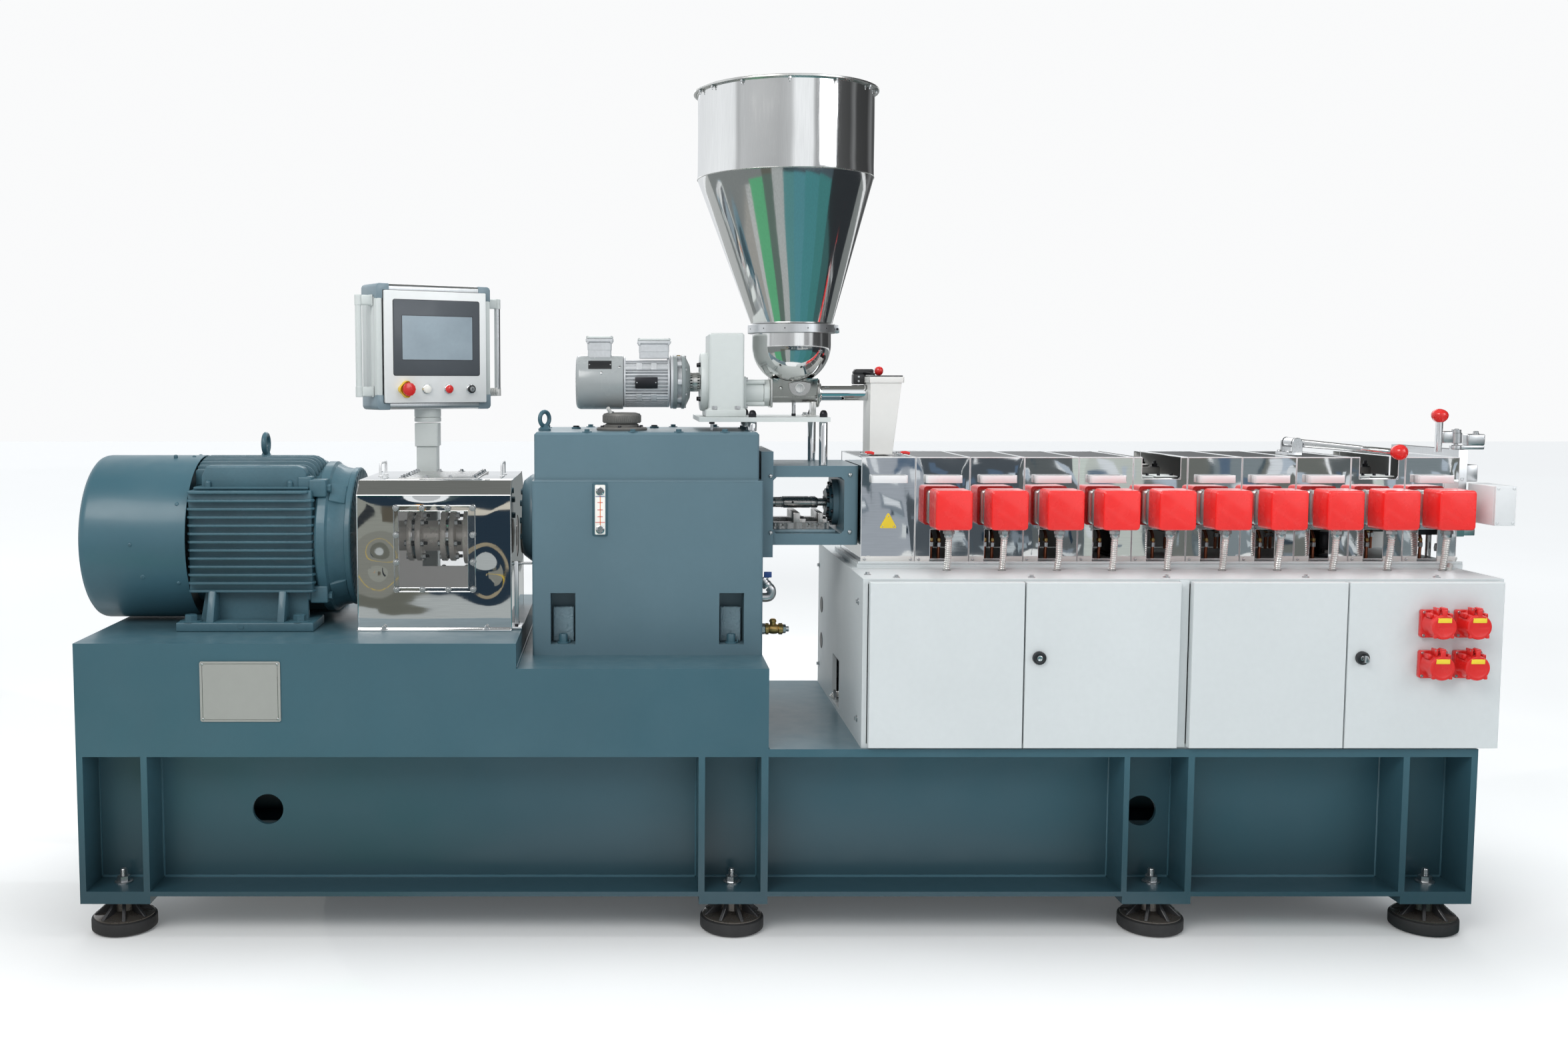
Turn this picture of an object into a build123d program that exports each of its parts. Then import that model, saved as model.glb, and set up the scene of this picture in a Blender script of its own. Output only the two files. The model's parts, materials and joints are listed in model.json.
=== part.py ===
from build123d import *
import math
import os

os.makedirs("parts", exist_ok=True)

# A twin-screw plastic extruder on one welded base: motor, coupling, gearbox,
# lantern, eleven heated barrel sections under steel covers, a side-by-side
# electrical cabinet, a volumetric feeder with a hopper, and an operator panel.
# Millimetres. X runs along the machine towards the die end, Y into the
# machine from the operator's side, Z up from the floor. Y = 0 is the screw line.

# The stations along X are measured from a line near the gearbox's right side.
# save() moves every part by MIDDLE_X, so that X = 0 is the machine's middle.

# ---------------------------------------------------------------- dimensions
MIDDLE_X = 39.0
BASE_X0, BASE_X1 = -1767.0, 1765.0      # welded base, end to end
BASE_Y = 420.0                          # half width of the base
FLANGE_Z0, FLANGE_Z1 = 108.0, 120.0     # bottom flange
TOP_Z0, TOP_Z1 = 468.0, 488.0           # low top plate
WEB_Y = 300.0                           # centre plane of each side web
BED_X1, BED_Z = -657.0, 757.0           # motor bed
LEDGE_X1, LEDGE_Z = -22.0, 693.0        # gearbox bed
FOOT_X = (-1681.0, -107.0, 978.0, 1687.0)
PADS = ((-1767.0, -1589.0), (-196.0, -22.0), (878.0, 1052.0), (1584.0, 1765.0))   # plates over the feet
FOOT_Y = 345.0
FOOT_R = 82.0

COWL_X0, COWL_X1, BELL_X0 = -1826.0, -1540.0, -1200.0   # motor's cowl, and where its end bell starts
MOTOR_Z = 984.0                         # motor and coupling axis
SCREW_Z = 1078.0                        # screw axis
SCREW_Y = 18.0                          # each screw off the centre plane

GUARD_X0, GUARD_X1 = -1088.0, -682.0    # coupling guard
GUARD_Y, GUARD_Z = 225.0, 1152.0

GEAR_X0, GEAR_X1 = -627.0, -22.0        # gearbox body
GEAR_Y = 238.0
GEAR_SPLIT_Z, GEAR_TOP_Z = 1152.0, 1279.0

LANT_X0, LANT_X1 = -22.0, 240.0         # lantern
LANT_Y = 150.0
LANT_Z0, LANT_Z1 = 975.0, 1187.0

CAB_X0, CAB_X1 = 212.0, 1815.0          # cabinet
CAB_Y = 410.0
CAB_Z0, CAB_Z1 = 488.0, 919.0
CAB_SHEET = 12.0
DOOR_Y0, DOOR_Y1 = -435.0, -413.0
DOORS = ((226.0, 611.0), (615.0, 1000.0), (1030.0, 1415.0), (1419.0, 1804.0))
DOOR_Z0, DOOR_Z1 = 494.0, 913.0
SOCKET_X, SOCKET_Z = (1626.0, 1712.0), (710.0, 812.0)

SECTIONS, PITCH, SEC_X0 = 11, 144.0, 242.0   # barrel sections
COVER_Y, COVER_Z0, COVER_Z1 = 178.0, 931.0, 1212.0
COVER_T = 3.0
TRAY_Z = 931.0                          # top of the tray the covers stand on
VENTS = (5, 9)                          # sections with a vent opening
RED_W, RED_H = 96.0, 104.0              # heater terminal boxes
RED_X, RED_Z = 464.0, 1080.0
RED_Y0, RED_Y1 = -295.0, -215.0

FEED_X0, FEED_X1 = -186.0, 163.0        # feeder plate
FEED_Y0, FEED_Y1 = -150.0, 200.0
FEED_Z0, FEED_Z1 = 1304.0, 1316.0
FEED_AXIS_Z = 1410.0
TUBE_Z = 1380.0
HOP_X, HOP_TOP_X = 74.0, 53.0           # hopper axis at its mouth and below
HOP_R = 239.0
HOP_TOP_Z = 2193.0
BOWL_R, BOWL_Z = 108.0, 1511.0            # bowl's radius and the centre of its round

HMI_X, HMI_Y = -964.0, 266.0            # operator panel's swivel axis
HMI_TURN = 33.0

HEAD_X0, HEAD_X1 = 1826.0, 1850.0
CLAMP_X, CLAMP_Y = 1828.0, -150.0       # pin of the clamp lever at the head
VENT_PLANE = Plane(origin=(1432, -60, 1246), x_dir=(0, 0, 1), z_dir=(0.815, -0.575, -0.075))


# ------------------------------------------------------------------- helpers
def block(x0, x1, y0, y1, z0, z1, mode=Mode.ADD):
    with Locations(((x0 + x1) / 2, (y0 + y1) / 2, (z0 + z1) / 2)):
        return Box(x1 - x0, y1 - y0, z1 - z0, mode=mode)


def rod_x(x0, x1, y, z, r, mode=Mode.ADD):
    with Locations(((x0 + x1) / 2, y, z)):
        return Cylinder(r, x1 - x0, rotation=(0, 90, 0), mode=mode)


def rod_y(x, y0, y1, z, r, mode=Mode.ADD):
    with Locations((x, (y0 + y1) / 2, z)):
        return Cylinder(r, y1 - y0, rotation=(90, 0, 0), mode=mode)


def rod_z(x, y, z0, z1, r, mode=Mode.ADD):
    with Locations((x, y, (z0 + z1) / 2)):
        return Cylinder(r, z1 - z0, mode=mode)


def save(builder, name):
    part = Pos(-MIDDLE_X, 0, 0) * builder.part
    part.label = name
    export_step(part, "parts/" + name + ".step")


# ---------------------------------------------------------------------- base
with BuildPart() as motor_bed:
    block(BASE_X0, BED_X1, -BASE_Y, BASE_Y, TOP_Z0, BED_Z)
save(motor_bed, "motor_bed")

with BuildPart() as gearbox_bed:
    block(BED_X1, LEDGE_X1, -BASE_Y, BASE_Y, TOP_Z0, LEDGE_Z)
save(gearbox_bed, "gearbox_bed")

with BuildPart() as base_top:
    block(LEDGE_X1, BASE_X1, -BASE_Y, BASE_Y, TOP_Z0, TOP_Z1)
save(base_top, "base_top")

with BuildPart() as base_webs:
    for s in (-1, 1):
        block(BASE_X0, BASE_X1, s * WEB_Y - 6, s * WEB_Y + 6, FLANGE_Z1, TOP_Z0)
    for x, z in ((-1314.0, 300.0), (960.0, 296.0)):
        rod_y(x, -BASE_Y, BASE_Y, z, 40.0, mode=Mode.SUBTRACT)
save(base_webs, "base_webs")

with BuildPart() as base_flanges:
    for s in (-1, 1):
        block(BASE_X0, BASE_X1, min(s * 180, s * BASE_Y), max(s * 180, s * BASE_Y),
              FLANGE_Z0, FLANGE_Z1)
        for x0, x1 in PADS:
            block(x0, x1, min(s * 260, s * BASE_Y), max(s * 260, s * BASE_Y), 88, FLANGE_Z0)
save(base_flanges, "base_flanges")

RIBS = ((-1767.0, -1751.0), (-1605.0, -1589.0), (-198.0, -182.0), (-40.0, -22.0),
        (875.0, 889.0), (1036.0, 1052.0), (1578.0, 1594.0), (1749.0, 1765.0))
with BuildPart() as base_ribs:
    for x0, x1 in RIBS:
        for s in (-1, 1):
            y0, y1 = sorted((s * (WEB_Y + 6), s * BASE_Y))
            block(x0, x1, y0, y1, FLANGE_Z1, TOP_Z0)
    for x in (-1597, -190, 882, 1586):
        block(x - 20, x + 20, -WEB_Y + 6, WEB_Y - 6, FLANGE_Z1, TOP_Z0)
save(base_ribs, "base_ribs")

with BuildPart() as foot_pads:
    for x in FOOT_X:
        for s in (-1, 1):
            rod_z(x, s * FOOT_Y, 0, 34, FOOT_R)
save(foot_pads, "foot_pads")

with BuildPart() as foot_caps:
    for x in FOOT_X:
        for s in (-1, 1):
            with Locations((x, s * FOOT_Y, 34)):
                Cone(72, 40, 34, align=(Align.CENTER, Align.CENTER, Align.MIN))
            rod_z(x, s * FOOT_Y, 68, 88, 16)
save(foot_caps, "foot_caps")

with BuildPart() as rating_plate:
    block(-1450, -1248, -BASE_Y - 2, -BASE_Y, 559, 712)
save(rating_plate, "rating_plate")

# --------------------------------------------------------------------- motor
with BuildPart() as motor_body:
    rod_x(COWL_X1, BELL_X0, 0, MOTOR_Z, 186)
    for i in range(13):
        z = 858 + 21.83 * i
        for s in (-1, 1):
            y0, y1 = sorted((s * 90, s * 214))
            block(COWL_X1 + 2, BELL_X0 - 4, y0, y1, z - 4, z + 4)
    for y in (-30, -6, 6, 30):
        block(COWL_X1 + 2, BELL_X0 - 4, y - 4, y + 4, MOTOR_Z + 120, MOTOR_Z + 216)
    block(-1508, -1229, -176, -70, MOTOR_Z + 112, MOTOR_Z + 204)
    for s in (-1, 1):
        y0, y1 = sorted((s * 110, s * 250))
        block(-1560, -1200, y0, y1, BED_Z, BED_Z + 24)
        for x in (-1474, -1288):
            y0, y1 = sorted((s * 110, s * 205))
            block(x - 8, x + 8, y0, y1, BED_Z + 24, BED_Z + 120)
    rod_z(-1376, 0, MOTOR_Z + 186, MOTOR_Z + 230, 24, mode=Mode.SUBTRACT)
    rod_z(-1376, 0, MOTOR_Z + 180, MOTOR_Z + 200, 20)
save(motor_body, "motor_body")

with BuildPart() as motor_ends:
    rod_x(COWL_X0, COWL_X1, 0, MOTOR_Z, 224)
    fillet(motor_ends.faces().sort_by(Axis.X)[0].edges(), 22)
    rod_x(BELL_X0, -1166, 0, MOTOR_Z, 216)
    with Locations((-1166, 0, MOTOR_Z)):
        Cone(208, 182, 26, rotation=(0, 90, 0), align=(Align.CENTER, Align.CENTER, Align.MIN))
    rod_x(-1140, -1122, 0, MOTOR_Z, 188)
    rod_x(-1122, -1112, 0, MOTOR_Z, 176)
save(motor_ends, "motor_ends")

with BuildPart() as base_bolts:
    with BuildSketch(Plane.XY.offset(FLANGE_Z1)):
        for x in FOOT_X:
            for s in (-1, 1):
                with Locations((x, s * (FOOT_Y + 30))):
                    RegularPolygon(19, 6)
    extrude(amount=16)
    for x in FOOT_X:
        for s in (-1, 1):
            rod_z(x, s * (FOOT_Y + 30), FLANGE_Z1 + 16, FLANGE_Z1 + 36, 10)
    with BuildSketch(Plane.XY.offset(BED_Z + 24)):
        for x in (-1528, -1241):
            for s in (-1, 1):
                with Locations((x, s * 222)):
                    RegularPolygon(16, 6)
    extrude(amount=14)
save(base_bolts, "base_bolts")

with BuildPart() as eye_bolts:
    rod_z(-1376, 0, MOTOR_Z + 200, MOTOR_Z + 232, 12)
    with Locations((-1376, 0, MOTOR_Z + 256)):
        Torus(26, 8, rotation=(0, 90, 0))
    rod_z(-600, -100, GEAR_TOP_Z, GEAR_TOP_Z + 14, 18)
    with Locations(Location((-600, -100, GEAR_TOP_Z + 32), (0, 0, 52))):
        Torus(19, 6, rotation=(90, 0, 0))
save(eye_bolts, "eye_bolts")

# ------------------------------------------------------- coupling and guard
with BuildPart() as main_coupling:
    rod_x(-1111, -682, 0, MOTOR_Z, 29)
    for x0, x1, r in ((-1060, -982, 42), (-982, -969, 70), (-969, -959, 60), (-959, -944, 70),
                      (-944, -890, 42), (-890, -875, 70), (-875, -866, 60), (-866, -852, 70),
                      (-852, -827, 44), (-827, -810, 78), (-810, -760, 50)):
        rod_x(x0, x1, 0, MOTOR_Z, r)
save(main_coupling, "main_coupling")

with BuildPart() as coupling_guard:
    with BuildSketch(Plane.YZ.offset(GUARD_X0)):
        with BuildLine():
            Polyline((-GUARD_Y, BED_Z), (-GUARD_Y, 1114), (-185, GUARD_Z), (185, GUARD_Z),
                     (GUARD_Y, 1114), (GUARD_Y, BED_Z), (GUARD_Y - 4, BED_Z),
                     (GUARD_Y - 4, 1112), (183, GUARD_Z - 4), (-183, GUARD_Z - 4),
                     (-GUARD_Y + 4, 1112), (-GUARD_Y + 4, BED_Z), close=True)
        make_face()
    extrude(amount=GUARD_X1 - GUARD_X0)
    block(-978, -796, -GUARD_Y - 5, GUARD_Y + 5, 870, 1073, mode=Mode.SUBTRACT)
    block(GUARD_X0, GUARD_X1, -GUARD_Y - 16, -GUARD_Y, BED_Z, BED_Z + 4)
    block(GUARD_X0, -1010, GUARD_Y, GUARD_Y + 16, BED_Z, BED_Z + 4)
    block(-926, GUARD_X1, GUARD_Y, GUARD_Y + 16, BED_Z, BED_Z + 4)
    block(-990, -775, -150, 150, GUARD_Z, GUARD_Z + 4)
save(coupling_guard, "coupling_guard")

with BuildPart() as guard_windows:
    for s in (-1, 1):
        y0, y1 = sorted((s * GUARD_Y, s * (GUARD_Y + 5)))
        block(-988, -777, y0, y1, 860, 1087)
save(guard_windows, "guard_windows")

# ------------------------------------------------------------------- gearbox
with BuildPart() as gearbox_body:
    block(GEAR_X0, GEAR_X1, -GEAR_Y, GEAR_Y, LEDGE_Z, GEAR_SPLIT_Z)
    fillet(gearbox_body.edges().filter_by(Axis.Z), 8)
    for x0, x1 in ((-579, -514), (-136, -71)):
        for s in (-1, 1):
            y0, y1 = sorted((s * (GEAR_Y - 70), s * (GEAR_Y + 1)))
            block(x0, x1, y0, y1, 722, 858, mode=Mode.SUBTRACT)
save(gearbox_body, "gearbox_body")

with BuildPart() as gearbox_lid:
    block(-621, -33, -230, 230, GEAR_SPLIT_Z, GEAR_TOP_Z)
    fillet(gearbox_lid.edges().filter_by(Axis.Z), 8)
    chamfer(gearbox_lid.faces().sort_by(Axis.Z)[-1].edges(), 6)
save(gearbox_lid, "gearbox_lid")

with BuildPart() as bearing_covers:
    rod_x(-662, GEAR_X0, 0, MOTOR_Z + 50, 120)
    with Locations((-662, 0, MOTOR_Z + 50)):
        Cone(120, 108, 14, rotation=(0, -90, 0), align=(Align.CENTER, Align.CENTER, Align.MIN))
    rod_x(186, 201.5, 0, SCREW_Z, 63.5)
    rod_x(172, 186, 0, SCREW_Z, 40)
    for s in (-1, 1):
        rod_x(171, 203, s * SCREW_Y, SCREW_Z, 15, mode=Mode.SUBTRACT)
save(bearing_covers, "bearing_covers")

with BuildPart() as gearbox_fittings:
    rod_z(-392, -60, GEAR_TOP_Z, GEAR_TOP_Z + 10, 62)
    rod_z(-392, -60, GEAR_TOP_Z + 10, GEAR_TOP_Z + 28, 38)
    rod_z(-392, -60, GEAR_TOP_Z + 28, GEAR_TOP_Z + 48, 49)
    block(-464, -431, -GEAR_Y - 12, -GEAR_Y, 1011, 1145)
    rod_x(GEAR_X1, 20, -120, 855, 14)
    rod_z(6, -120, 869, 900, 8)
    rod_x(GEAR_X1, 60, -120, 745, 16)
    block(-678, -666, -190, -176, BED_Z + 8, 936)
    block(-680, -662, -216, -150, BED_Z, BED_Z + 8)
save(gearbox_fittings, "gearbox_fittings")

# ------------------------------------------------------------------- lantern
with BuildPart() as lantern:
    block(LANT_X0, 10, -170, 170, 944, 1226)
    block(10, LANT_X1, -LANT_Y, LANT_Y, LANT_Z0, LANT_Z1)
    with BuildSketch(Plane.XZ.offset(-LANT_Y - 30)) as window:
        with Locations((107, 1081)):
            Rectangle(190, 152)
        chamfer(window.vertices(), 9)
    extrude(amount=2 * LANT_Y + 60, mode=Mode.SUBTRACT)
    rod_x(LANT_X0 - 1, 13, 0, SCREW_Z, 62, mode=Mode.SUBTRACT)
    rod_x(201, LANT_X1 + 1, 0, SCREW_Z, 60, mode=Mode.SUBTRACT)
    fillet(lantern.edges().filter_by(Axis.Z).group_by(Axis.X)[-1], 12)
save(lantern, "lantern")

with BuildPart() as screw_shaft_front:
    rod_x(-16, 226, -SCREW_Y, SCREW_Z, 9)
    rod_x(-16, 50, -SCREW_Y, SCREW_Z, 13)
    rod_x(56, 148, -SCREW_Y, SCREW_Z, 14.5)
save(screw_shaft_front, "screw_shaft_front")

with BuildPart() as screw_shaft_rear:
    rod_x(-16, 226, SCREW_Y, SCREW_Z, 9)
    rod_x(-16, 50, SCREW_Y, SCREW_Z, 13)
    rod_x(56, 148, SCREW_Y, SCREW_Z, 14.5)
save(screw_shaft_rear, "screw_shaft_rear")

# ------------------------------------------------------- barrel and covers
with BuildPart() as barrel:
    for i in range(SECTIONS):
        x0 = SEC_X0 + PITCH * i
        block(x0, x0 + 26, -75, 75, SCREW_Z - 75, SCREW_Z + 75)
        block(x0 + 26, x0 + PITCH - 26, -62, 62, SCREW_Z - 62, SCREW_Z + 62)
        block(x0 + PITCH - 26, x0 + PITCH, -75, 75, SCREW_Z - 75, SCREW_Z + 75)
    for i in VENTS:
        xc = SEC_X0 + PITCH * (i + 0.5)
        block(xc - 42, xc + 42, -58, 58, SCREW_Z + 62, SCREW_Z + 100)
    for s in (-1, 1):
        rod_x(SEC_X0 - 1, SEC_X0 + SECTIONS * PITCH + 1, s * SCREW_Y, SCREW_Z, 17.8,
              mode=Mode.SUBTRACT)
save(barrel, "barrel")

with BuildPart() as barrel_supports:
    for i in (1, 5, 9):
        x = SEC_X0 + PITCH * i
        block(x - 20, x + 20, -60, 60, TRAY_Z, SCREW_Z - 75)
    block(60, 86, -60, 60, 1005, 1027)
    block(132, 158, -60, 60, 1005, 1027)
save(barrel_supports, "barrel_supports")

with BuildPart() as barrel_covers:
    for i in range(SECTIONS):
        x0 = SEC_X0 + PITCH * i + 0.6
        x1 = x0 + PITCH - 1.2
        with BuildSketch(Plane.YZ.offset(x0)):
            with BuildLine():
                Polyline((-COVER_Y, COVER_Z0), (-COVER_Y, COVER_Z1), (COVER_Y, COVER_Z1),
                         (COVER_Y, COVER_Z0), (COVER_Y - COVER_T, COVER_Z0),
                         (COVER_Y - COVER_T, COVER_Z1 - COVER_T),
                         (-COVER_Y + COVER_T, COVER_Z1 - COVER_T),
                         (-COVER_Y + COVER_T, COVER_Z0), close=True)
            make_face()
        extrude(amount=x1 - x0)
        if i in VENTS:
            block(x0 + 22, x1 - 18, -COVER_Y - 1, COVER_Y + 1, 1153, COVER_Z1 + 1,
                  mode=Mode.SUBTRACT)
        if i > 0:
            block(x0 + 40, x0 + 92, -COVER_Y - 1, -COVER_Y + COVER_T + 1, COVER_Z0 + 10, 1020,
                  mode=Mode.SUBTRACT)
save(barrel_covers, "barrel_covers")

with BuildPart() as cover_handles:
    for i in (0, 1, 2, 3, 4, 6, 7, 8, 10):
        xc = SEC_X0 + PITCH * (i + 0.5)
        for s in (-1, 1):
            y0, y1 = sorted((s * (COVER_Y + 22), s * (COVER_Y + 26)))
            block(xc - 50, xc + 50, y0, y1, 1144, 1165)
            y0, y1 = sorted((s * COVER_Y, s * (COVER_Y + 22)))
            block(xc - 50, xc - 46, y0, y1, 1144, 1165)
            block(xc + 46, xc + 50, y0, y1, 1144, 1165)
    for x in (-1053, -721):
        block(x - 4, x + 4, -50, 50, GUARD_Z + 30, GUARD_Z + 38)
        block(x - 4, x + 4, -50, -42, GUARD_Z, GUARD_Z + 30)
        block(x - 4, x + 4, 42, 50, GUARD_Z, GUARD_Z + 30)
save(cover_handles, "cover_handles")

with BuildPart() as heater_bases:
    for i in range(10):
        x = RED_X + PITCH * i
        block(x - 42, x + 42, RED_Y1, -COVER_Y, RED_Z - 44, RED_Z + 46)
save(heater_bases, "heater_bases")

with BuildPart() as heater_boxes:
    for i in range(10):
        x = RED_X + PITCH * i
        block(x - RED_W / 2, x + RED_W / 2, RED_Y0, RED_Y1, RED_Z - RED_H / 2, RED_Z + RED_H / 2)
    fillet(heater_boxes.edges().filter_by(Axis.Y), 5.5)
    fillet(heater_boxes.faces().sort_by(Axis.Y).group_by(Axis.Y)[0].edges(), 4)
save(heater_boxes, "heater_boxes")

with BuildPart() as heater_conduits:
    for i in range(10):
        x = RED_X + PITCH * i - 5
        z = RED_Z - RED_H / 2
        rod_z(x, -255, z - 21, z, 13)
        with BuildLine():
            Spline((x, -255, z - 20), (x - 0.5, -251, 970), (x - 1, -243, CAB_Z1),
                   tangents=((0, 0, -1), (0, 0, -1)))
        with BuildSketch(Plane(origin=(x, -255, z - 20), z_dir=(0, 0, -1))):
            Circle(8.5)
        sweep()
save(heater_conduits, "heater_conduits")

# ------------------------------------------------------------------- cabinet
with BuildPart() as cabinet_shell:
    block(CAB_X0, CAB_X1, -CAB_Y, CAB_Y, CAB_Z0, CAB_Z1)
    block(CAB_X0 + CAB_SHEET, 1002, -CAB_Y - 1, CAB_Y - 3, CAB_Z0 + CAB_SHEET,
          CAB_Z1 - CAB_SHEET, mode=Mode.SUBTRACT)
    block(1028, CAB_X1 - CAB_SHEET, -CAB_Y - 1, CAB_Y - 3, CAB_Z0 + CAB_SHEET,
          CAB_Z1 - CAB_SHEET, mode=Mode.SUBTRACT)
    block(CAB_X0 + 18, 1832, -200, 200, CAB_Z1, TRAY_Z)
    block(CAB_X1 - 1, 1832, -200, 200, CAB_Z1 - 40, CAB_Z1)
    for z in (739, 630):
        rod_x(CAB_X0 - 1, CAB_X0 + CAB_SHEET + 1, 335, z, 23, mode=Mode.SUBTRACT)
    block(CAB_X0 - 1, CAB_X0 + CAB_SHEET + 1, -25, 100, 500, 636, mode=Mode.SUBTRACT)
    for x0, x1 in DOORS:
        block(x0, x1, CAB_Y, CAB_Y + 25, DOOR_Z0, DOOR_Z1)
    for x in (649, 1454):
        rod_y(x, CAB_Y + 25, CAB_Y + 45, 724, 14)
save(cabinet_shell, "cabinet_shell")

with BuildPart() as cabinet_door_1:
    block(DOORS[0][0], DOORS[0][1], DOOR_Y0, DOOR_Y1, DOOR_Z0, DOOR_Z1)
    fillet(cabinet_door_1.faces().sort_by(Axis.Y)[0].edges(), 2)
save(cabinet_door_1, "cabinet_door_1")

with BuildPart() as cabinet_door_2:
    block(DOORS[1][0], DOORS[1][1], DOOR_Y0, DOOR_Y1, DOOR_Z0, DOOR_Z1)
    fillet(cabinet_door_2.faces().sort_by(Axis.Y)[0].edges(), 2)
    rod_y(649, DOOR_Y0 - 8, DOOR_Y0, 724, 14)
save(cabinet_door_2, "cabinet_door_2")

with BuildPart() as cabinet_door_3:
    block(DOORS[2][0], DOORS[2][1], DOOR_Y0, DOOR_Y1, DOOR_Z0, DOOR_Z1)
    fillet(cabinet_door_3.faces().sort_by(Axis.Y)[0].edges(), 2)
save(cabinet_door_3, "cabinet_door_3")

with BuildPart() as cabinet_door_4:
    block(DOORS[3][0], DOORS[3][1], DOOR_Y0, DOOR_Y1, DOOR_Z0, DOOR_Z1)
    fillet(cabinet_door_4.faces().sort_by(Axis.Y)[0].edges(), 2)
    rod_y(1454, DOOR_Y0 - 8, DOOR_Y0, 724, 14)
save(cabinet_door_4, "cabinet_door_4")

with BuildPart() as power_sockets:
    for x in SOCKET_X:
        for z in SOCKET_Z:
            block(x - 35, x + 35, DOOR_Y0 - 14, DOOR_Y0, z - 35, z + 35)
            rod_y(x, DOOR_Y0 - 44, DOOR_Y0 - 14, z, 29)
            rod_y(x, DOOR_Y0 - 45, DOOR_Y0 - 8, z, 22, mode=Mode.SUBTRACT)
            for s in (-1, 1):
                x0, x1 = sorted((x + s * 7, x + s * 12))
                block(x0, x1, DOOR_Y0 - 46, DOOR_Y0 - 20, z + 20, z + 44)
            rod_x(x - 12, x + 12, DOOR_Y0 - 42, z + 40, 3)
save(power_sockets, "power_sockets")


def socket_lid(x, z):
    rod_y(x, DOOR_Y0 - 56, DOOR_Y0 - 48, z - 2, 31)
    block(x - 6, x + 6, DOOR_Y0 - 56, DOOR_Y0 - 50, z + 20, z + 42)
    block(x - 6, x + 6, DOOR_Y0 - 52, DOOR_Y0 - 42, z + 35, z + 45)
    rod_x(x - 6, x + 6, DOOR_Y0 - 42, z + 40, 6)
    rod_x(x - 7, x + 7, DOOR_Y0 - 42, z + 40, 3.06, mode=Mode.SUBTRACT)


with BuildPart() as socket_lid_1:
    socket_lid(SOCKET_X[0], SOCKET_Z[1])
save(socket_lid_1, "socket_lid_1")

with BuildPart() as socket_lid_2:
    socket_lid(SOCKET_X[1], SOCKET_Z[1])
save(socket_lid_2, "socket_lid_2")

with BuildPart() as socket_lid_3:
    socket_lid(SOCKET_X[0], SOCKET_Z[0])
save(socket_lid_3, "socket_lid_3")

with BuildPart() as socket_lid_4:
    socket_lid(SOCKET_X[1], SOCKET_Z[0])
save(socket_lid_4, "socket_lid_4")

# -------------------------------------------------------------------- feeder
with BuildPart() as feeder_plate:
    block(FEED_X0, FEED_X1, FEED_Y0, FEED_Y1, FEED_Z0, FEED_Z1)
save(feeder_plate, "feeder_plate")

with BuildPart() as feeder_posts:
    for y in (-130, 115):
        rod_z(147, y, LANT_Z1, FEED_Z0, 11.5)
        rod_z(-43, y, GEAR_TOP_Z, FEED_Z0, 11.5)
save(feeder_posts, "feeder_posts")

with BuildPart() as feeder_gear_case:
    block(-157, -62, -90, 90, FEED_Z1 + 18, 1542)
    fillet(feeder_gear_case.edges().filter_by(Axis.Z), 8)
    chamfer(feeder_gear_case.faces().sort_by(Axis.Z)[-1].edges(), 5)
    block(-165, -57, -96, 96, FEED_Z1, FEED_Z1 + 20)
    rod_x(-178, -157, 0, FEED_AXIS_Z, 80)
    rod_x(-206, -178, 0, FEED_AXIS_Z, 27)
    with Locations((-206, 0, FEED_AXIS_Z)):
        Cone(48, 72, 14, rotation=(0, -90, 0), align=(Align.CENTER, Align.CENTER, Align.MIN))
    for x0, x1, r in ((-228, -220, 74), (-236, -228, 62), (-244, -236, 74), (-252, -244, 62),
                      (-260, -252, 74)):
        rod_x(x0, x1, 0, FEED_AXIS_Z, r)
    rod_x(-62, -50, 0, TUBE_Z, 46)
    rod_x(-50, 0, 0, TUBE_Z, 37)
    rod_x(0, 14, 0, TUBE_Z, 40)
save(feeder_gear_case, "feeder_gear_case")

with BuildPart() as feeder_motor:
    rod_x(-388, -260, 0, FEED_AXIS_Z, 70)
    block(-344, -262, -40, 40, FEED_AXIS_Z + 50, 1514)
    block(-350, -261, -44, 44, 1514, 1529)
    rod_x(-518, -388, 0, FEED_AXIS_Z, 75)
    block(-487, -419, -36, 36, FEED_AXIS_Z + 50, 1519)
    block(-493, -413, -42, 42, 1519, 1535)
save(feeder_motor, "feeder_motor")

with BuildPart() as feeder_barrel:
    block(14, 20, -42, 42, TUBE_Z - 40, TUBE_Z + 42)
    with BuildSketch(Plane.YZ.offset(20)):
        with BuildLine():
            Polyline((-24, TUBE_Z), (-46, TUBE_Z + 40), (46, TUBE_Z + 40), (24, TUBE_Z), close=True)
        make_face()
    extrude(amount=122)
    rod_x(20, 142, 0, TUBE_Z, 27)
    rod_x(142, 150, 0, TUBE_Z, 40)
    rod_x(150, 157, 0, TUBE_Z, 30)
    rod_x(157, 283, 0, TUBE_Z, 21.5)
    rod_z(82, 0, FEED_Z1, TUBE_Z - 20, 6)
    block(128, 142, -20, 20, FEED_Z1, TUBE_Z - 20)
    block(108, 142, -28, 28, FEED_Z1, FEED_Z1 + 4)
    with Locations((HOP_X, 0, BOWL_Z)):
        Sphere(BOWL_R, mode=Mode.SUBTRACT)
save(feeder_barrel, "feeder_barrel")

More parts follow.
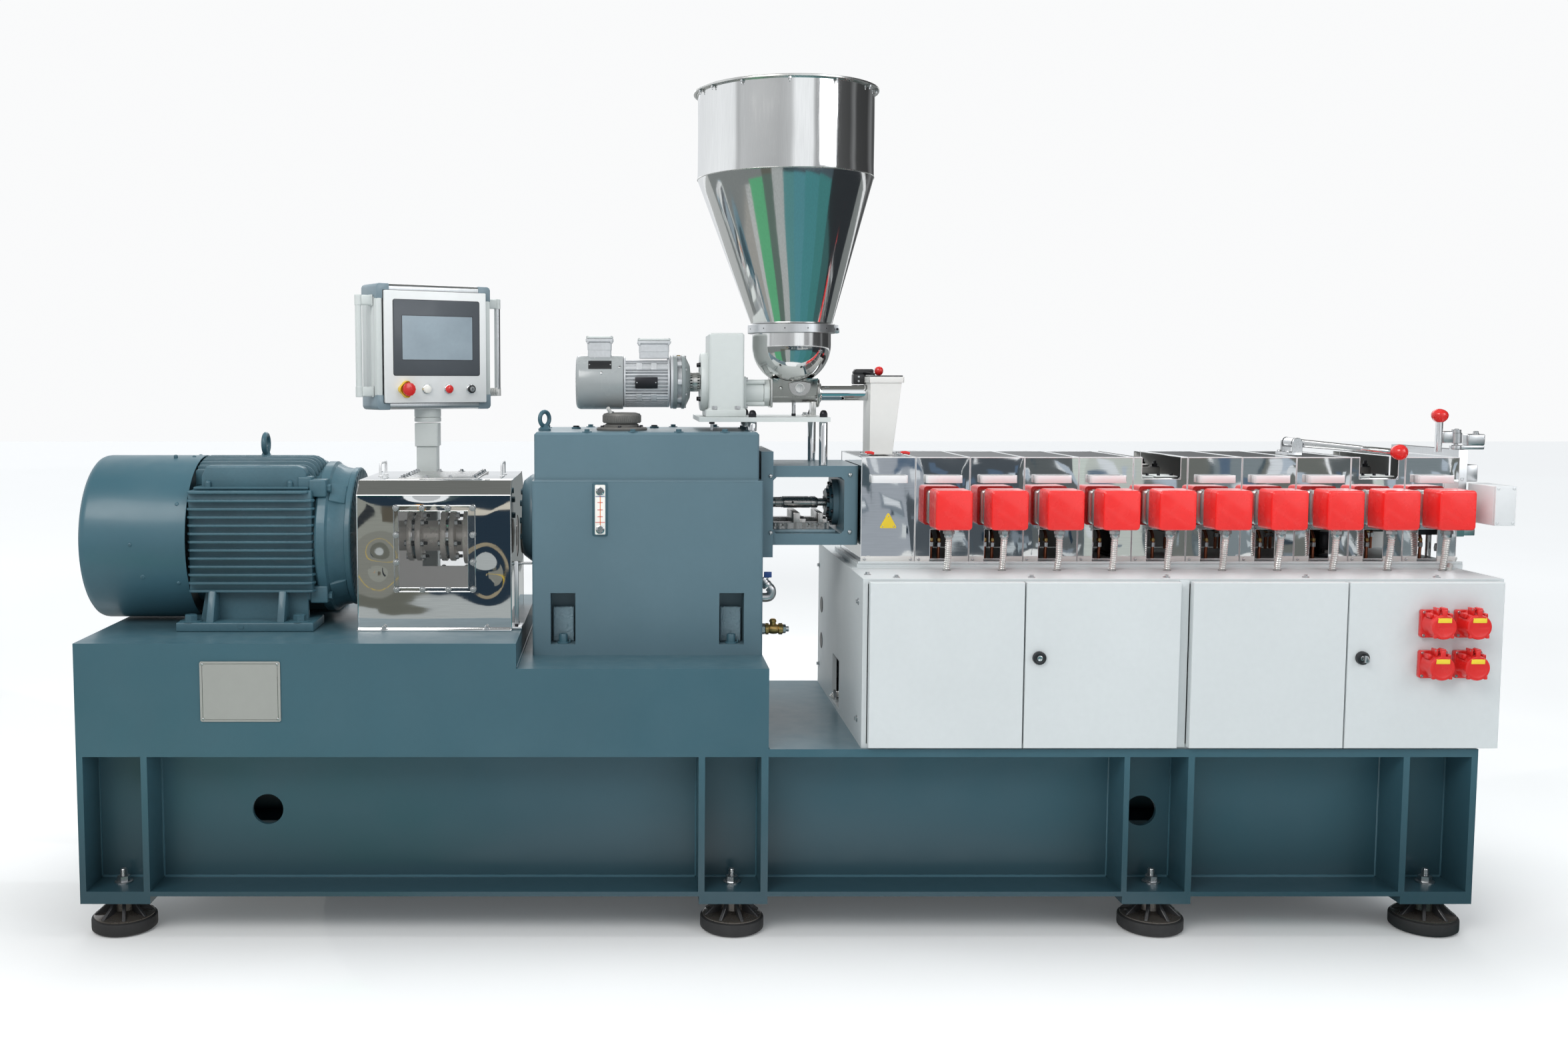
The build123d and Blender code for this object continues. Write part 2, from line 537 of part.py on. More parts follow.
with BuildPart() as feeder_bowl:
    with BuildSketch(Plane.XZ) as bowl_profile:
        with BuildLine():
            Line((HOP_X, BOWL_Z - BOWL_R), (HOP_X, BOWL_Z - BOWL_R + 3))
            RadiusArc((HOP_X, BOWL_Z - BOWL_R + 3), (HOP_X + BOWL_R - 3, BOWL_Z), -(BOWL_R - 3))
            Line((HOP_X + BOWL_R - 3, BOWL_Z), (HOP_X + BOWL_R - 3, 1542))
            Line((HOP_X + BOWL_R - 3, 1542), (HOP_X + BOWL_R, 1542))
            Line((HOP_X + BOWL_R, 1542), (HOP_X + BOWL_R, BOWL_Z))
            RadiusArc((HOP_X + BOWL_R, BOWL_Z), (HOP_X, BOWL_Z - BOWL_R), BOWL_R)
        make_face()
    revolve(axis=Axis((HOP_X, 0, 0), (0, 0, 1)))
save(feeder_bowl, "feeder_bowl")

with BuildPart() as hopper_clamp:
    rod_z(HOP_X, 0, 1542, 1567, 120)
    rod_z(HOP_X, 0, 1541, 1568, 106, mode=Mode.SUBTRACT)
    block(HOP_X + 117, HOP_X + 130, -16, 16, 1543, 1566)
save(hopper_clamp, "hopper_clamp")

with BuildPart() as hopper:
    with BuildSketch(Plane.XY.offset(1567)):
        with Locations((HOP_X, 0)):
            Circle(111)
    with BuildSketch(Plane.XY.offset(1960)):
        with Locations((HOP_TOP_X, 0)):
            Circle(HOP_R)
    loft()
    rod_z(HOP_TOP_X, 0, 1960, HOP_TOP_Z, HOP_R)
    with BuildSketch(Plane.XY.offset(1567)):
        with Locations((HOP_X, 0)):
            Circle(108)
    with BuildSketch(Plane.XY.offset(1960)):
        with Locations((HOP_TOP_X, 0)):
            Circle(HOP_R - 3)
    loft(mode=Mode.SUBTRACT)
    rod_z(HOP_TOP_X, 0, HOP_TOP_Z - 6, HOP_TOP_Z, HOP_R + 11)
    rod_z(HOP_TOP_X, 0, 1960, HOP_TOP_Z + 1, HOP_R - 3, mode=Mode.SUBTRACT)
save(hopper, "hopper")

with BuildPart() as feed_chute:
    with BuildSketch(Plane.XZ.offset(60)):
        with BuildLine():
            Polyline((283, COVER_Z1), (345, COVER_Z1), (369, 1414), (283, 1414), close=True)
        make_face()
    extrude(amount=-112)
    with BuildSketch(Plane.XZ.offset(57)):
        with BuildLine():
            Polyline((286, COVER_Z1 - 1), (342, COVER_Z1 - 1), (366, 1415), (286, 1415), close=True)
        make_face()
    extrude(amount=-106, mode=Mode.SUBTRACT)
    block(279, 374, -64, 56, 1408, 1424)
    block(286, 366, -57, 49, 1407, 1425, mode=Mode.SUBTRACT)
    block(282, 371, -61, 53, 1424, 1428)
    block(248, 283, 12, 52, 1403, 1440)
    block(248, 306, 16, 48, 1428, 1446)
    rod_z(314, -10, 1428, 1434, 4)
    with Locations((314, -10, 1440)):
        Sphere(12)
save(feed_chute, "feed_chute")

# ------------------------------------------------------------ operator panel
HMI_PLANE = Plane(origin=(HMI_X, HMI_Y, 0),
                  x_dir=(math.cos(math.radians(HMI_TURN)), math.sin(math.radians(HMI_TURN)), 0),
                  z_dir=(0, 0, 1))

with BuildPart() as panel_post:
    block(HMI_X - 30, HMI_X + 30, HMI_Y - 30, HMI_Y + 30, BED_Z, 1222)
    block(HMI_X - 34, HMI_X + 34, HMI_Y - 36, HMI_Y + 36, 1222, 1290)
save(panel_post, "panel_post")

with BuildPart(HMI_PLANE) as panel_box:
    with Locations((0, 0, 1311.5)):
        Cylinder(39, 37)
    with Locations((0, 0, 1510)):
        Box(364, 108, 360)
save(panel_box, "panel_box")

with BuildPart(HMI_PLANE) as panel_door:
    with Locations((0, -60, 1510)):
        Box(322, 12, 320)
save(panel_door, "panel_door")

with BuildPart(HMI_PLANE) as panel_buttons:
    for dx, r, h in ((-98, 25, 28), (-33, 15, 12), (37, 15, 12), (109, 15, 14)):
        with Locations((dx, -66 - h / 2, 1392)):
            Cylinder(r, h, rotation=(90, 0, 0))
save(panel_buttons, "panel_buttons")

with BuildPart(HMI_PLANE) as panel_handles:
    for s in (-1, 1):
        with Locations((s * 222, -20, 1512)):
            Cylinder(10.5, 290)
        for z in (1382, 1642):
            with Locations((s * 203, -20, z)):
                Box(42, 26, 32)
save(panel_handles, "panel_handles")

# ------------------------------------------------------------------ die end
with BuildPart() as head_plate:
    block(HEAD_X0, HEAD_X1, -170, 170, 999, 1231)
    rod_x(HEAD_X0 - 1, HEAD_X1 + 1, 0, SCREW_Z, 30, mode=Mode.SUBTRACT)
    block(HEAD_X1, 1884, -168, -60, 1146, 1190)
    block(HEAD_X1, 1884, -168, -60, 1002, 1036)
    for i in range(8):
        a = math.radians(22.5 + 45 * i)
        rod_x(HEAD_X0 - 1, HEAD_X1 + 1, 52 * math.cos(a), SCREW_Z + 52 * math.sin(a), 5,
              mode=Mode.SUBTRACT)
save(head_plate, "head_plate")

with BuildPart() as head_terminal_box:
    block(HEAD_X1, 1904, -301, -176, 1041, 1144)
    block(HEAD_X1, HEAD_X1 + 12, -176, -140, 1060, 1120)
save(head_terminal_box, "head_terminal_box")

with BuildPart() as lever_blocks:
    rod_z(CLAMP_X, CLAMP_Y, 1231, 1242, 15)
    rod_z(CLAMP_X, CLAMP_Y, 1242, 1286, 6)
    block(CLAMP_X + 4, 1898, CLAMP_Y - 12, CLAMP_Y + 12, 1231, 1242)
    block(1852, 1898, CLAMP_Y - 14, CLAMP_Y + 14, 1242, 1272)
    rod_z(1880, CLAMP_Y, 1272, 1280, 8)
    for s in (-1, 1):
        y0, y1 = sorted((-60 + s * 31, -60 + s * 37))
        block(1418, 1446, y0, y1, COVER_Z1 + 8, 1244)
        rod_y(1432, y0, y1, 1246, 14)
    block(1404, 1446, -97, -23, COVER_Z1, COVER_Z1 + 8)
    rod_y(1432, -97, -23, 1246, 5)
save(lever_blocks, "lever_blocks")

with BuildPart() as clamp_lever:
    rod_z(CLAMP_X, CLAMP_Y, 1247, 1284, 14)
    block(1790, CLAMP_X, CLAMP_Y - 10, CLAMP_Y + 10, 1248, 1280)
    rod_z(CLAMP_X, CLAMP_Y, 1240, 1290, 6.1, mode=Mode.SUBTRACT)
    rod_z(1782, CLAMP_Y, 1224, 1306, 9)
    with Locations((1782, CLAMP_Y, 1318)):
        Sphere(21)
save(clamp_lever, "clamp_lever")

with BuildPart() as vent_lever:
    rod_y(1432, -84, -36, 1246, 13)
    with BuildSketch(VENT_PLANE.offset(8)):
        Rectangle(18, 24)
    extrude(amount=170)
    rod_y(1432, -90, -30, 1246, 5.06, mode=Mode.SUBTRACT)
    with BuildSketch(VENT_PLANE.offset(178)):
        Circle(8)
    extrude(amount=70)
    with Locations(VENT_PLANE.offset(262).location):
        Sphere(22)
save(vent_lever, "vent_lever")
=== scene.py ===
import json
import math
import random

import bmesh
import bpy
from mathutils import Matrix, Vector


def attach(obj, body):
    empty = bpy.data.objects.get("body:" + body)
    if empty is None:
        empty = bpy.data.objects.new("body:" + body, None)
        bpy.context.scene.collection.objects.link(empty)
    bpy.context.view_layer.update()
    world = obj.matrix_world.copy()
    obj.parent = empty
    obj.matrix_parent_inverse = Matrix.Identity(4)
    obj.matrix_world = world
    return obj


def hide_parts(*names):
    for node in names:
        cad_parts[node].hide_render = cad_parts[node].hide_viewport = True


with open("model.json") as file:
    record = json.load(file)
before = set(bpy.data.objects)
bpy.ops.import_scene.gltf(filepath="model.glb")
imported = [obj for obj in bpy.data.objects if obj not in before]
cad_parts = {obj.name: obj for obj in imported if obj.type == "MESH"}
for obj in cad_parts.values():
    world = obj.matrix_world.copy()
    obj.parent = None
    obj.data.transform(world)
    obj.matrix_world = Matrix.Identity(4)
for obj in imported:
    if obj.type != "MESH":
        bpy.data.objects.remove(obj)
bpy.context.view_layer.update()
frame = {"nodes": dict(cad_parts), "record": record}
rng = random.Random(7)
MM = 0.001
SHIFT = 39.0      # stations along X are measured as in part.py, 39 mm off the machine's middle
NODE_BODY = {n: b for b, names in frame["record"]["behaviour"]["bodies"].items() for n in names}

# ---------------------------------------------------------------- materials


def shader(name):
    m = bpy.data.materials.new(name)
    m.use_nodes = True
    t = m.node_tree
    t.nodes.clear()
    out = t.nodes.new("ShaderNodeOutputMaterial")
    p = t.nodes.new("ShaderNodeBsdfPrincipled")
    t.links.new(p.outputs["BSDF"], out.inputs["Surface"])
    return m, t, p


def noise(t, scale, detail=4.0, stretch=(1, 1, 1), distortion=0.0, rough=0.5):
    tc = t.nodes.new("ShaderNodeTexCoord")
    mp = t.nodes.new("ShaderNodeMapping")
    mp.inputs["Scale"].default_value = stretch
    n = t.nodes.new("ShaderNodeTexNoise")
    n.inputs["Scale"].default_value = scale
    n.inputs["Detail"].default_value = detail
    n.inputs["Roughness"].default_value = rough
    n.inputs["Distortion"].default_value = distortion
    t.links.new(tc.outputs["Object"], mp.inputs["Vector"])
    t.links.new(mp.outputs["Vector"], n.inputs["Vector"])
    return n.outputs["Fac"]


def ramp(t, fac, stops):
    r = t.nodes.new("ShaderNodeValToRGB")
    e = r.color_ramp.elements
    e[0].position, e[0].color = stops[0][0], stops[0][1]
    e[1].position, e[1].color = stops[-1][0], stops[-1][1]
    for p, c in stops[1:-1]:
        k = e.new(p)
        k.color = c
    t.links.new(fac, r.inputs["Fac"])
    return r.outputs["Color"]


def spread(t, fac, lo, hi, f0=0.3, f1=0.7):
    m = t.nodes.new("ShaderNodeMapRange")
    m.inputs["From Min"].default_value = f0
    m.inputs["From Max"].default_value = f1
    m.inputs["To Min"].default_value = lo
    m.inputs["To Max"].default_value = hi
    t.links.new(fac, m.inputs["Value"])
    return m.outputs["Result"]


def mixc(t, fac, a, b, blend="MIX"):
    m = t.nodes.new("ShaderNodeMix")
    m.data_type = "RGBA"
    m.blend_type = blend
    for s, v in ((0, fac), (6, a), (7, b)):
        if isinstance(v, (int, float, tuple)):
            m.inputs[s].default_value = v
        else:
            t.links.new(v, m.inputs[s])
    return m.outputs[2]


def bump(t, p, height, strength, distance, chain=None):
    b = t.nodes.new("ShaderNodeBump")
    b.inputs["Strength"].default_value = strength
    b.inputs["Distance"].default_value = distance
    t.links.new(height, b.inputs["Height"])
    if chain is not None:
        t.links.new(chain, b.inputs["Normal"])
    t.links.new(b.outputs["Normal"], p.inputs["Normal"])
    return b.outputs["Normal"]


def upward(t, lo=0.75, hi=0.98):
    g = t.nodes.new("ShaderNodeNewGeometry")
    s = t.nodes.new("ShaderNodeSeparateXYZ")
    t.links.new(g.outputs["Normal"], s.inputs["Vector"])
    return spread(t, s.outputs["Z"], 0.0, 1.0, lo, hi)


def c4(c, k=1.0):
    return (c[0] * k, c[1] * k, c[2] * k, 1.0)


def paint(name, colour, rough=0.38, peel=0.10, coat=0.0, dust=0.12, vary=0.06, grain=700.0, dust_colour=None):
    """Sprayed paint: cloudy colour, orange peel, and a little settled dust on upward faces."""
    m, t, p = shader(name)
    cloud = noise(t, 2.2, 5.0)
    fine = noise(t, 60.0, 3.0)
    base = ramp(t, cloud, [(0.30, c4(colour, 1 - vary)), (0.70, c4(colour, 1 + vary))])
    base = mixc(t, spread(t, fine, 0.0, 0.08), base, c4(colour, 0.72))
    if dust:
        specks = noise(t, 26.0, 6.0)
        amount = t.nodes.new("ShaderNodeMath")
        amount.operation = "MULTIPLY"
        t.links.new(upward(t), amount.inputs[0])
        t.links.new(spread(t, specks, dust * 0.3, dust), amount.inputs[1])
        dc = dust_colour or (0.62, 0.62, 0.58)
        base = mixc(t, amount.outputs[0], base, c4(dc))
    t.links.new(base, p.inputs["Base Color"])
    t.links.new(spread(t, noise(t, 9.0, 4.0), rough - 0.05, rough + 0.07), p.inputs["Roughness"])
    p.inputs["Coat Weight"].default_value = coat
    p.inputs["Coat Roughness"].default_value = 0.12
    first = bump(t, p, noise(t, grain, 2.0), peel, 0.0006)
    bump(t, p, noise(t, 14.0, 2.0), 0.05, 0.004, first)
    return m


def metal(name, colour, lo, hi, streak=None, wave=0.0, bumpy=0.05, tint=0.05, aniso=0.0, scratch=400.0):
    """Bare metal: streaked roughness along the grain, slight waves in sheet, small colour changes."""
    m, t, p = shader(name)
    p.inputs["Metallic"].default_value = 1.0
    st = streak or (1, 1, 1)
    grain = noise(t, scratch, 4.0, st)
    cloud = noise(t, 3.0, 4.0)
    base = ramp(t, cloud, [(0.3, c4(colour, 1 - tint)), (0.7, c4(colour, min(1.0 / max(colour), 1 + tint)))])
    base = mixc(t, spread(t, grain, 0.0, 0.16), base, c4(colour, 0.62))
    t.links.new(base, p.inputs["Base Color"])
    both = t.nodes.new("ShaderNodeMath")
    both.operation = "ADD"
    t.links.new(spread(t, grain, 0.0, (hi - lo) * 0.6), both.inputs[0])
    t.links.new(spread(t, noise(t, 5.0, 5.0), lo, lo + (hi - lo) * 0.4), both.inputs[1])
    t.links.new(both.outputs[0], p.inputs["Roughness"])
    p.inputs["Anisotropic"].default_value = aniso
    normal = bump(t, p, grain, bumpy, 0.0003)
    if wave:
        bump(t, p, noise(t, 4.5, 1.5), wave, 0.012, normal)
    return m


def plastic(name, colour, rough=0.3, coat=0.3, vary=0.05, grain=500.0, bumpy=0.03, sub=0.0):
    m, t, p = shader(name)
    base = ramp(t, noise(t, 6.0, 4.0), [(0.3, c4(colour, 1 - vary)), (0.7, c4(colour, 1 + vary))])
    base = mixc(t, spread(t, noise(t, 90.0, 4.0), 0.0, 0.10), base, c4(colour, 0.7))
    t.links.new(base, p.inputs["Base Color"])
    t.links.new(spread(t, noise(t, 20.0, 4.0), rough - 0.04, rough + 0.06), p.inputs["Roughness"])
    p.inputs["Coat Weight"].default_value = coat
    p.inputs["Coat Roughness"].default_value = 0.08
    p.inputs["Subsurface Weight"].default_value = sub
    first = bump(t, p, noise(t, grain, 3.0), bumpy, 0.0004)
    bump(t, p, noise(t, 12.0, 1.5), 0.04, 0.003, first)
    return m


def cast(name, colour, rough=0.5, lumps=0.35, metallic=0.0, coat=0.1):
    """Painted or bare casting: sand-cast grain under the finish."""
    m, t, p = shader(name)
    base = ramp(t, noise(t, 8.0, 5.0), [(0.3, c4(colour, 0.9)), (0.7, c4(colour, 1.1))])
    base = mixc(t, spread(t, noise(t, 130.0, 4.0), 0.0, 0.2), base, c4(colour, 0.6))
    t.links.new(base, p.inputs["Base Color"])
    p.inputs["Metallic"].default_value = metallic
    t.links.new(spread(t, noise(t, 40.0, 4.0), rough - 0.06, rough + 0.12), p.inputs["Roughness"])
    p.inputs["Coat Weight"].default_value = coat
    first = bump(t, p, noise(t, 260.0, 5.0, rough=0.65), lumps, 0.0012)
    bump(t, p, noise(t, 45.0, 3.0), 0.12, 0.003, first)
    return m


def clear(name):
    m, t, p = shader(name)
    t.links.new(ramp(t, noise(t, 5.0, 3.0), [(0.3, (0.10, 0.11, 0.11, 1)), (0.7, (0.16, 0.17, 0.17, 1))]),
                p.inputs["Base Color"])
    p.inputs["Alpha"].default_value = 0.07
    p.inputs["IOR"].default_value = 1.49
    t.links.new(spread(t, noise(t, 30.0, 5.0), 0.0, 0.06), p.inputs["Roughness"])
    bump(t, p, noise(t, 7.0, 1.5), 0.02, 0.002)
    return m


TEAL = paint("teal_paint", (0.042, 0.112, 0.146), rough=0.36, peel=0.07, coat=0.12, dust=0.05)
TEAL_CAST = cast("teal_cast", (0.050, 0.124, 0.160), rough=0.40, lumps=0.14, coat=0.2)
TEAL_BASE_SHADED_LOW = paint("teal_base_painted_shade", (0.042, 0.112, 0.146), rough=0.36, peel=0.07, coat=0.12, dust=0.05)
# Painted shade: the base paint is mixed towards a darker teal below 0.46 m, fully dark at 0.16 m, standing in for the
# shade low down on the base.
t = TEAL_BASE_SHADED_LOW.node_tree
p = [n for n in t.nodes if n.type == "BSDF_PRINCIPLED"][0]
under = p.inputs["Base Color"].links[0].from_socket
where = t.nodes.new("ShaderNodeTexCoord")
split = t.nodes.new("ShaderNodeSeparateXYZ")
t.links.new(where.outputs["Object"], split.inputs["Vector"])
painted_shade_low = t.nodes.new("ShaderNodeMapRange")
painted_shade_low.inputs["From Min"].default_value = 0.46
painted_shade_low.inputs["From Max"].default_value = 0.16
t.links.new(split.outputs["Z"], painted_shade_low.inputs["Value"])
t.links.new(mixc(t, painted_shade_low.outputs["Result"], under, (0.022, 0.062, 0.082, 1)), p.inputs["Base Color"])
# Painted shade: a dark teal for the vent slots in the motor's end shield, standing in for the shade inside them.
TEAL_SLOT_SHADE = paint("teal_slot_painted_shade", (0.030, 0.070, 0.090), rough=0.45, peel=0.07, dust=0.03)
TEAL_ROUGH = cast("teal_rough_cast", (0.20, 0.30, 0.35), rough=0.50, lumps=0.9, coat=0.2)
# Painted light: a lighter copy of the teal paint, standing in for the stronger light on the gearbox and lantern, and
# lifting the shaded bearing cover and lantern disc.
TEAL_PAINTED_LIGHT = paint("teal_painted_light", (0.096, 0.170, 0.208), rough=0.36, peel=0.07, coat=0.12, dust=0.05)
FOOT_IRON = cast("foot_iron", (0.105, 0.092, 0.080), rough=0.26, lumps=0.3, metallic=0.6, coat=0.5)
CAP_METAL = cast("breather_cap", (0.185, 0.180, 0.170), rough=0.50, lumps=0.5, metallic=0.3, coat=0.0)
# Painted light: coupling steel lighter than the bare steel, with a faint glow set below, to light the inside of the
# guard.
COUPLING_STEEL_GLOWING = cast("coupling_steel_painted_glow", (0.62, 0.57, 0.52), rough=0.28, lumps=0.08, metallic=0.35, coat=0.2)
CHUTE_SHEET = paint("blasted_sheet", (0.74, 0.74, 0.72), rough=0.46, peel=0.30, dust=0.02, vary=0.03)
CABINET = paint("cabinet_paint", (0.62, 0.66, 0.67), rough=0.40, peel=0.16, coat=0.05, dust=0.05, vary=0.025,
                grain=950.0, dust_colour=(0.5, 0.5, 0.48))
CABINET_IN = paint("cabinet_inside", (0.42, 0.45, 0.46), rough=0.5, peel=0.1, dust=0.03, vary=0.04)
FEEDER = paint("feeder_paint", (0.60, 0.64, 0.63), rough=0.42, peel=0.16, coat=0.05, dust=0.05, vary=0.03)
MIRROR = metal("mirror_steel", (0.84, 0.85, 0.85), 0.008, 0.040, streak=(0.04, 1, 1), wave=0.07, bumpy=0.004, tint=0.03)
MIRROR_V = metal("polished_steel_upright", (0.80, 0.80, 0.79), 0.04, 0.14, streak=(1, 1, 0.04), wave=0.12, bumpy=0.015)
STAINLESS = metal("brushed_stainless", (0.68, 0.68, 0.66), 0.22, 0.36, streak=(1, 1, 0.02), wave=0.06, bumpy=0.05)
STAINLESS_X = metal("brushed_stainless_along", (0.66, 0.66, 0.65), 0.22, 0.36, streak=(0.02, 1, 1), wave=0.04, bumpy=0.05)
DARK = metal("machined_steel", (0.23, 0.22, 0.21), 0.25, 0.42, streak=(1, 1, 1), bumpy=0.08)
BLACKENED = metal("black_oxide", (0.045, 0.045, 0.05), 0.28, 0.46, bumpy=0.12)
ZINC = metal("zinc_plate", (0.62, 0.63, 0.64), 0.22, 0.38, bumpy=0.08, scratch=250.0)
BRASS = metal("brass", (0.55, 0.37, 0.14), 0.25, 0.42, bumpy=0.08)
COPPER = metal("copper", (0.45, 0.16, 0.09), 0.25, 0.42, bumpy=0.08)
CHROME = metal("chrome", (0.82, 0.83, 0.84), 0.04, 0.12, bumpy=0.02)
ALU = metal("cast_aluminium", (0.66, 0.67, 0.68), 0.24, 0.40, bumpy=0.22, scratch=180.0)
ALU_SATIN = metal("satin_aluminium", (0.70, 0.71, 0.72), 0.26, 0.38, streak=(1, 1, 0.03), bumpy=0.05)
RED = plastic("red_lacquer", (0.86, 0.022, 0.020), rough=0.26, coat=0.5)
RED_PLASTIC = plastic("red_plastic", (0.66, 0.018, 0.016), rough=0.24, coat=0.5, sub=0.03)
YELLOW = plastic("yellow_plastic", (0.80, 0.52, 0.02), rough=0.32, coat=0.2)
YELLOW_TAG = plastic("yellow_tag", (0.80, 0.60, 0.03), rough=0.42, coat=0.1)
BLACK = plastic("black_plastic", (0.016, 0.017, 0.019), rough=0.38, coat=0.1, vary=0.15)
RUBBER = cast("black_rubber", (0.022, 0.022, 0.023), rough=0.62, lumps=0.3, coat=0.0)
BLACK_CAST = cast("black_casting", (0.020, 0.020, 0.022), rough=0.42, lumps=0.7, coat=0.25)
GREY_PLASTIC = plastic("blue_grey_plastic", (0.20, 0.27, 0.31), rough=0.36, coat=0.1)
BEZEL = plastic("bezel_grey", (0.072, 0.082, 0.095), rough=0.40, coat=0.1)
SCREEN = plastic("screen_glass", (0.30, 0.37, 0.42), rough=0.14, coat=1.0, vary=0.12, bumpy=0.0)
WHITE_PLATE = paint("panel_white", (0.80, 0.82, 0.82), rough=0.36, peel=0.08, dust=0.02, vary=0.02)
CREAM = plastic("level_strip", (0.86, 0.85, 0.80), rough=0.35, coat=0.3)
BLUE = plastic("blue_handle", (0.02, 0.08, 0.30), rough=0.35, coat=0.2)
ORANGE = plastic("orange_mark", (0.75, 0.22, 0.03), rough=0.35)
PLATE = paint("plate_aluminium", (0.31, 0.32, 0.30), rough=0.36, peel=0.05, dust=0.02, vary=0.05)
GALVANISED = cast("flexible_conduit", (0.66, 0.66, 0.64), rough=0.28, lumps=0.05, metallic=0.35, coat=0.2)
# Pale satin paint: the head's terminal box in its own colour, and on the polished covers' edges and rims a painted
# highlight standing in for the glint along the sheet edges.
PALE_PAINT_AND_EDGE_HIGHLIGHT = paint("pale_paint_and_seam_highlight", (0.70, 0.72, 0.73), rough=0.34, peel=0.04, dust=0.0, vary=0.03)
HANDLE = paint("handle_satin", (0.78, 0.79, 0.80), rough=0.22, peel=0.03, coat=0.4, dust=0.0, vary=0.03)
TROUGH = metal("trough_steel", (0.40, 0.40, 0.39), 0.12, 0.26, bumpy=0.05)
SHAFT = metal("turned_shaft", (0.46, 0.45, 0.44), 0.22, 0.36, bumpy=0.06)
# Painted light: the guard's inner sheet gets a lighter paint than it has and a faint glow, and the coupling a fainter
# glow, so the inside of the closed guard reads lit.
GUARD_IN_GLOWING = paint("guard_inside_painted_glow", (0.78, 0.76, 0.75), rough=0.36, peel=0.06, coat=0.1, dust=0.02, vary=0.05)
for m, strength in ((GUARD_IN_GLOWING, 0.25), (COUPLING_STEEL_GLOWING, 0.05)):
    p = [n for n in m.node_tree.nodes if n.type == "BSDF_PRINCIPLED"][0]
    p.inputs["Emission Color"].default_value = (0.50, 0.49, 0.48, 1)
    p.inputs["Emission Strength"].default_value = strength
CLEAR = clear("clear_pane")
DARK_SHEET = paint("dark_inside", (0.030, 0.030, 0.032), rough=0.6, peel=0.05, dust=0.02)

# ------------------------------------------------------------- mesh helpers


def turn(direction):
    """A rotation that takes local Z to the direction."""
    return Vector((0, 0, 1)).rotation_difference(Vector(direction)).to_matrix().to_4x4()


def at(x, y, z, direction=(0, 0, 1), roll=0.0):
    return Matrix.Translation((x, y, z)) @ turn(direction) @ Matrix.Rotation(roll, 4, "Z")


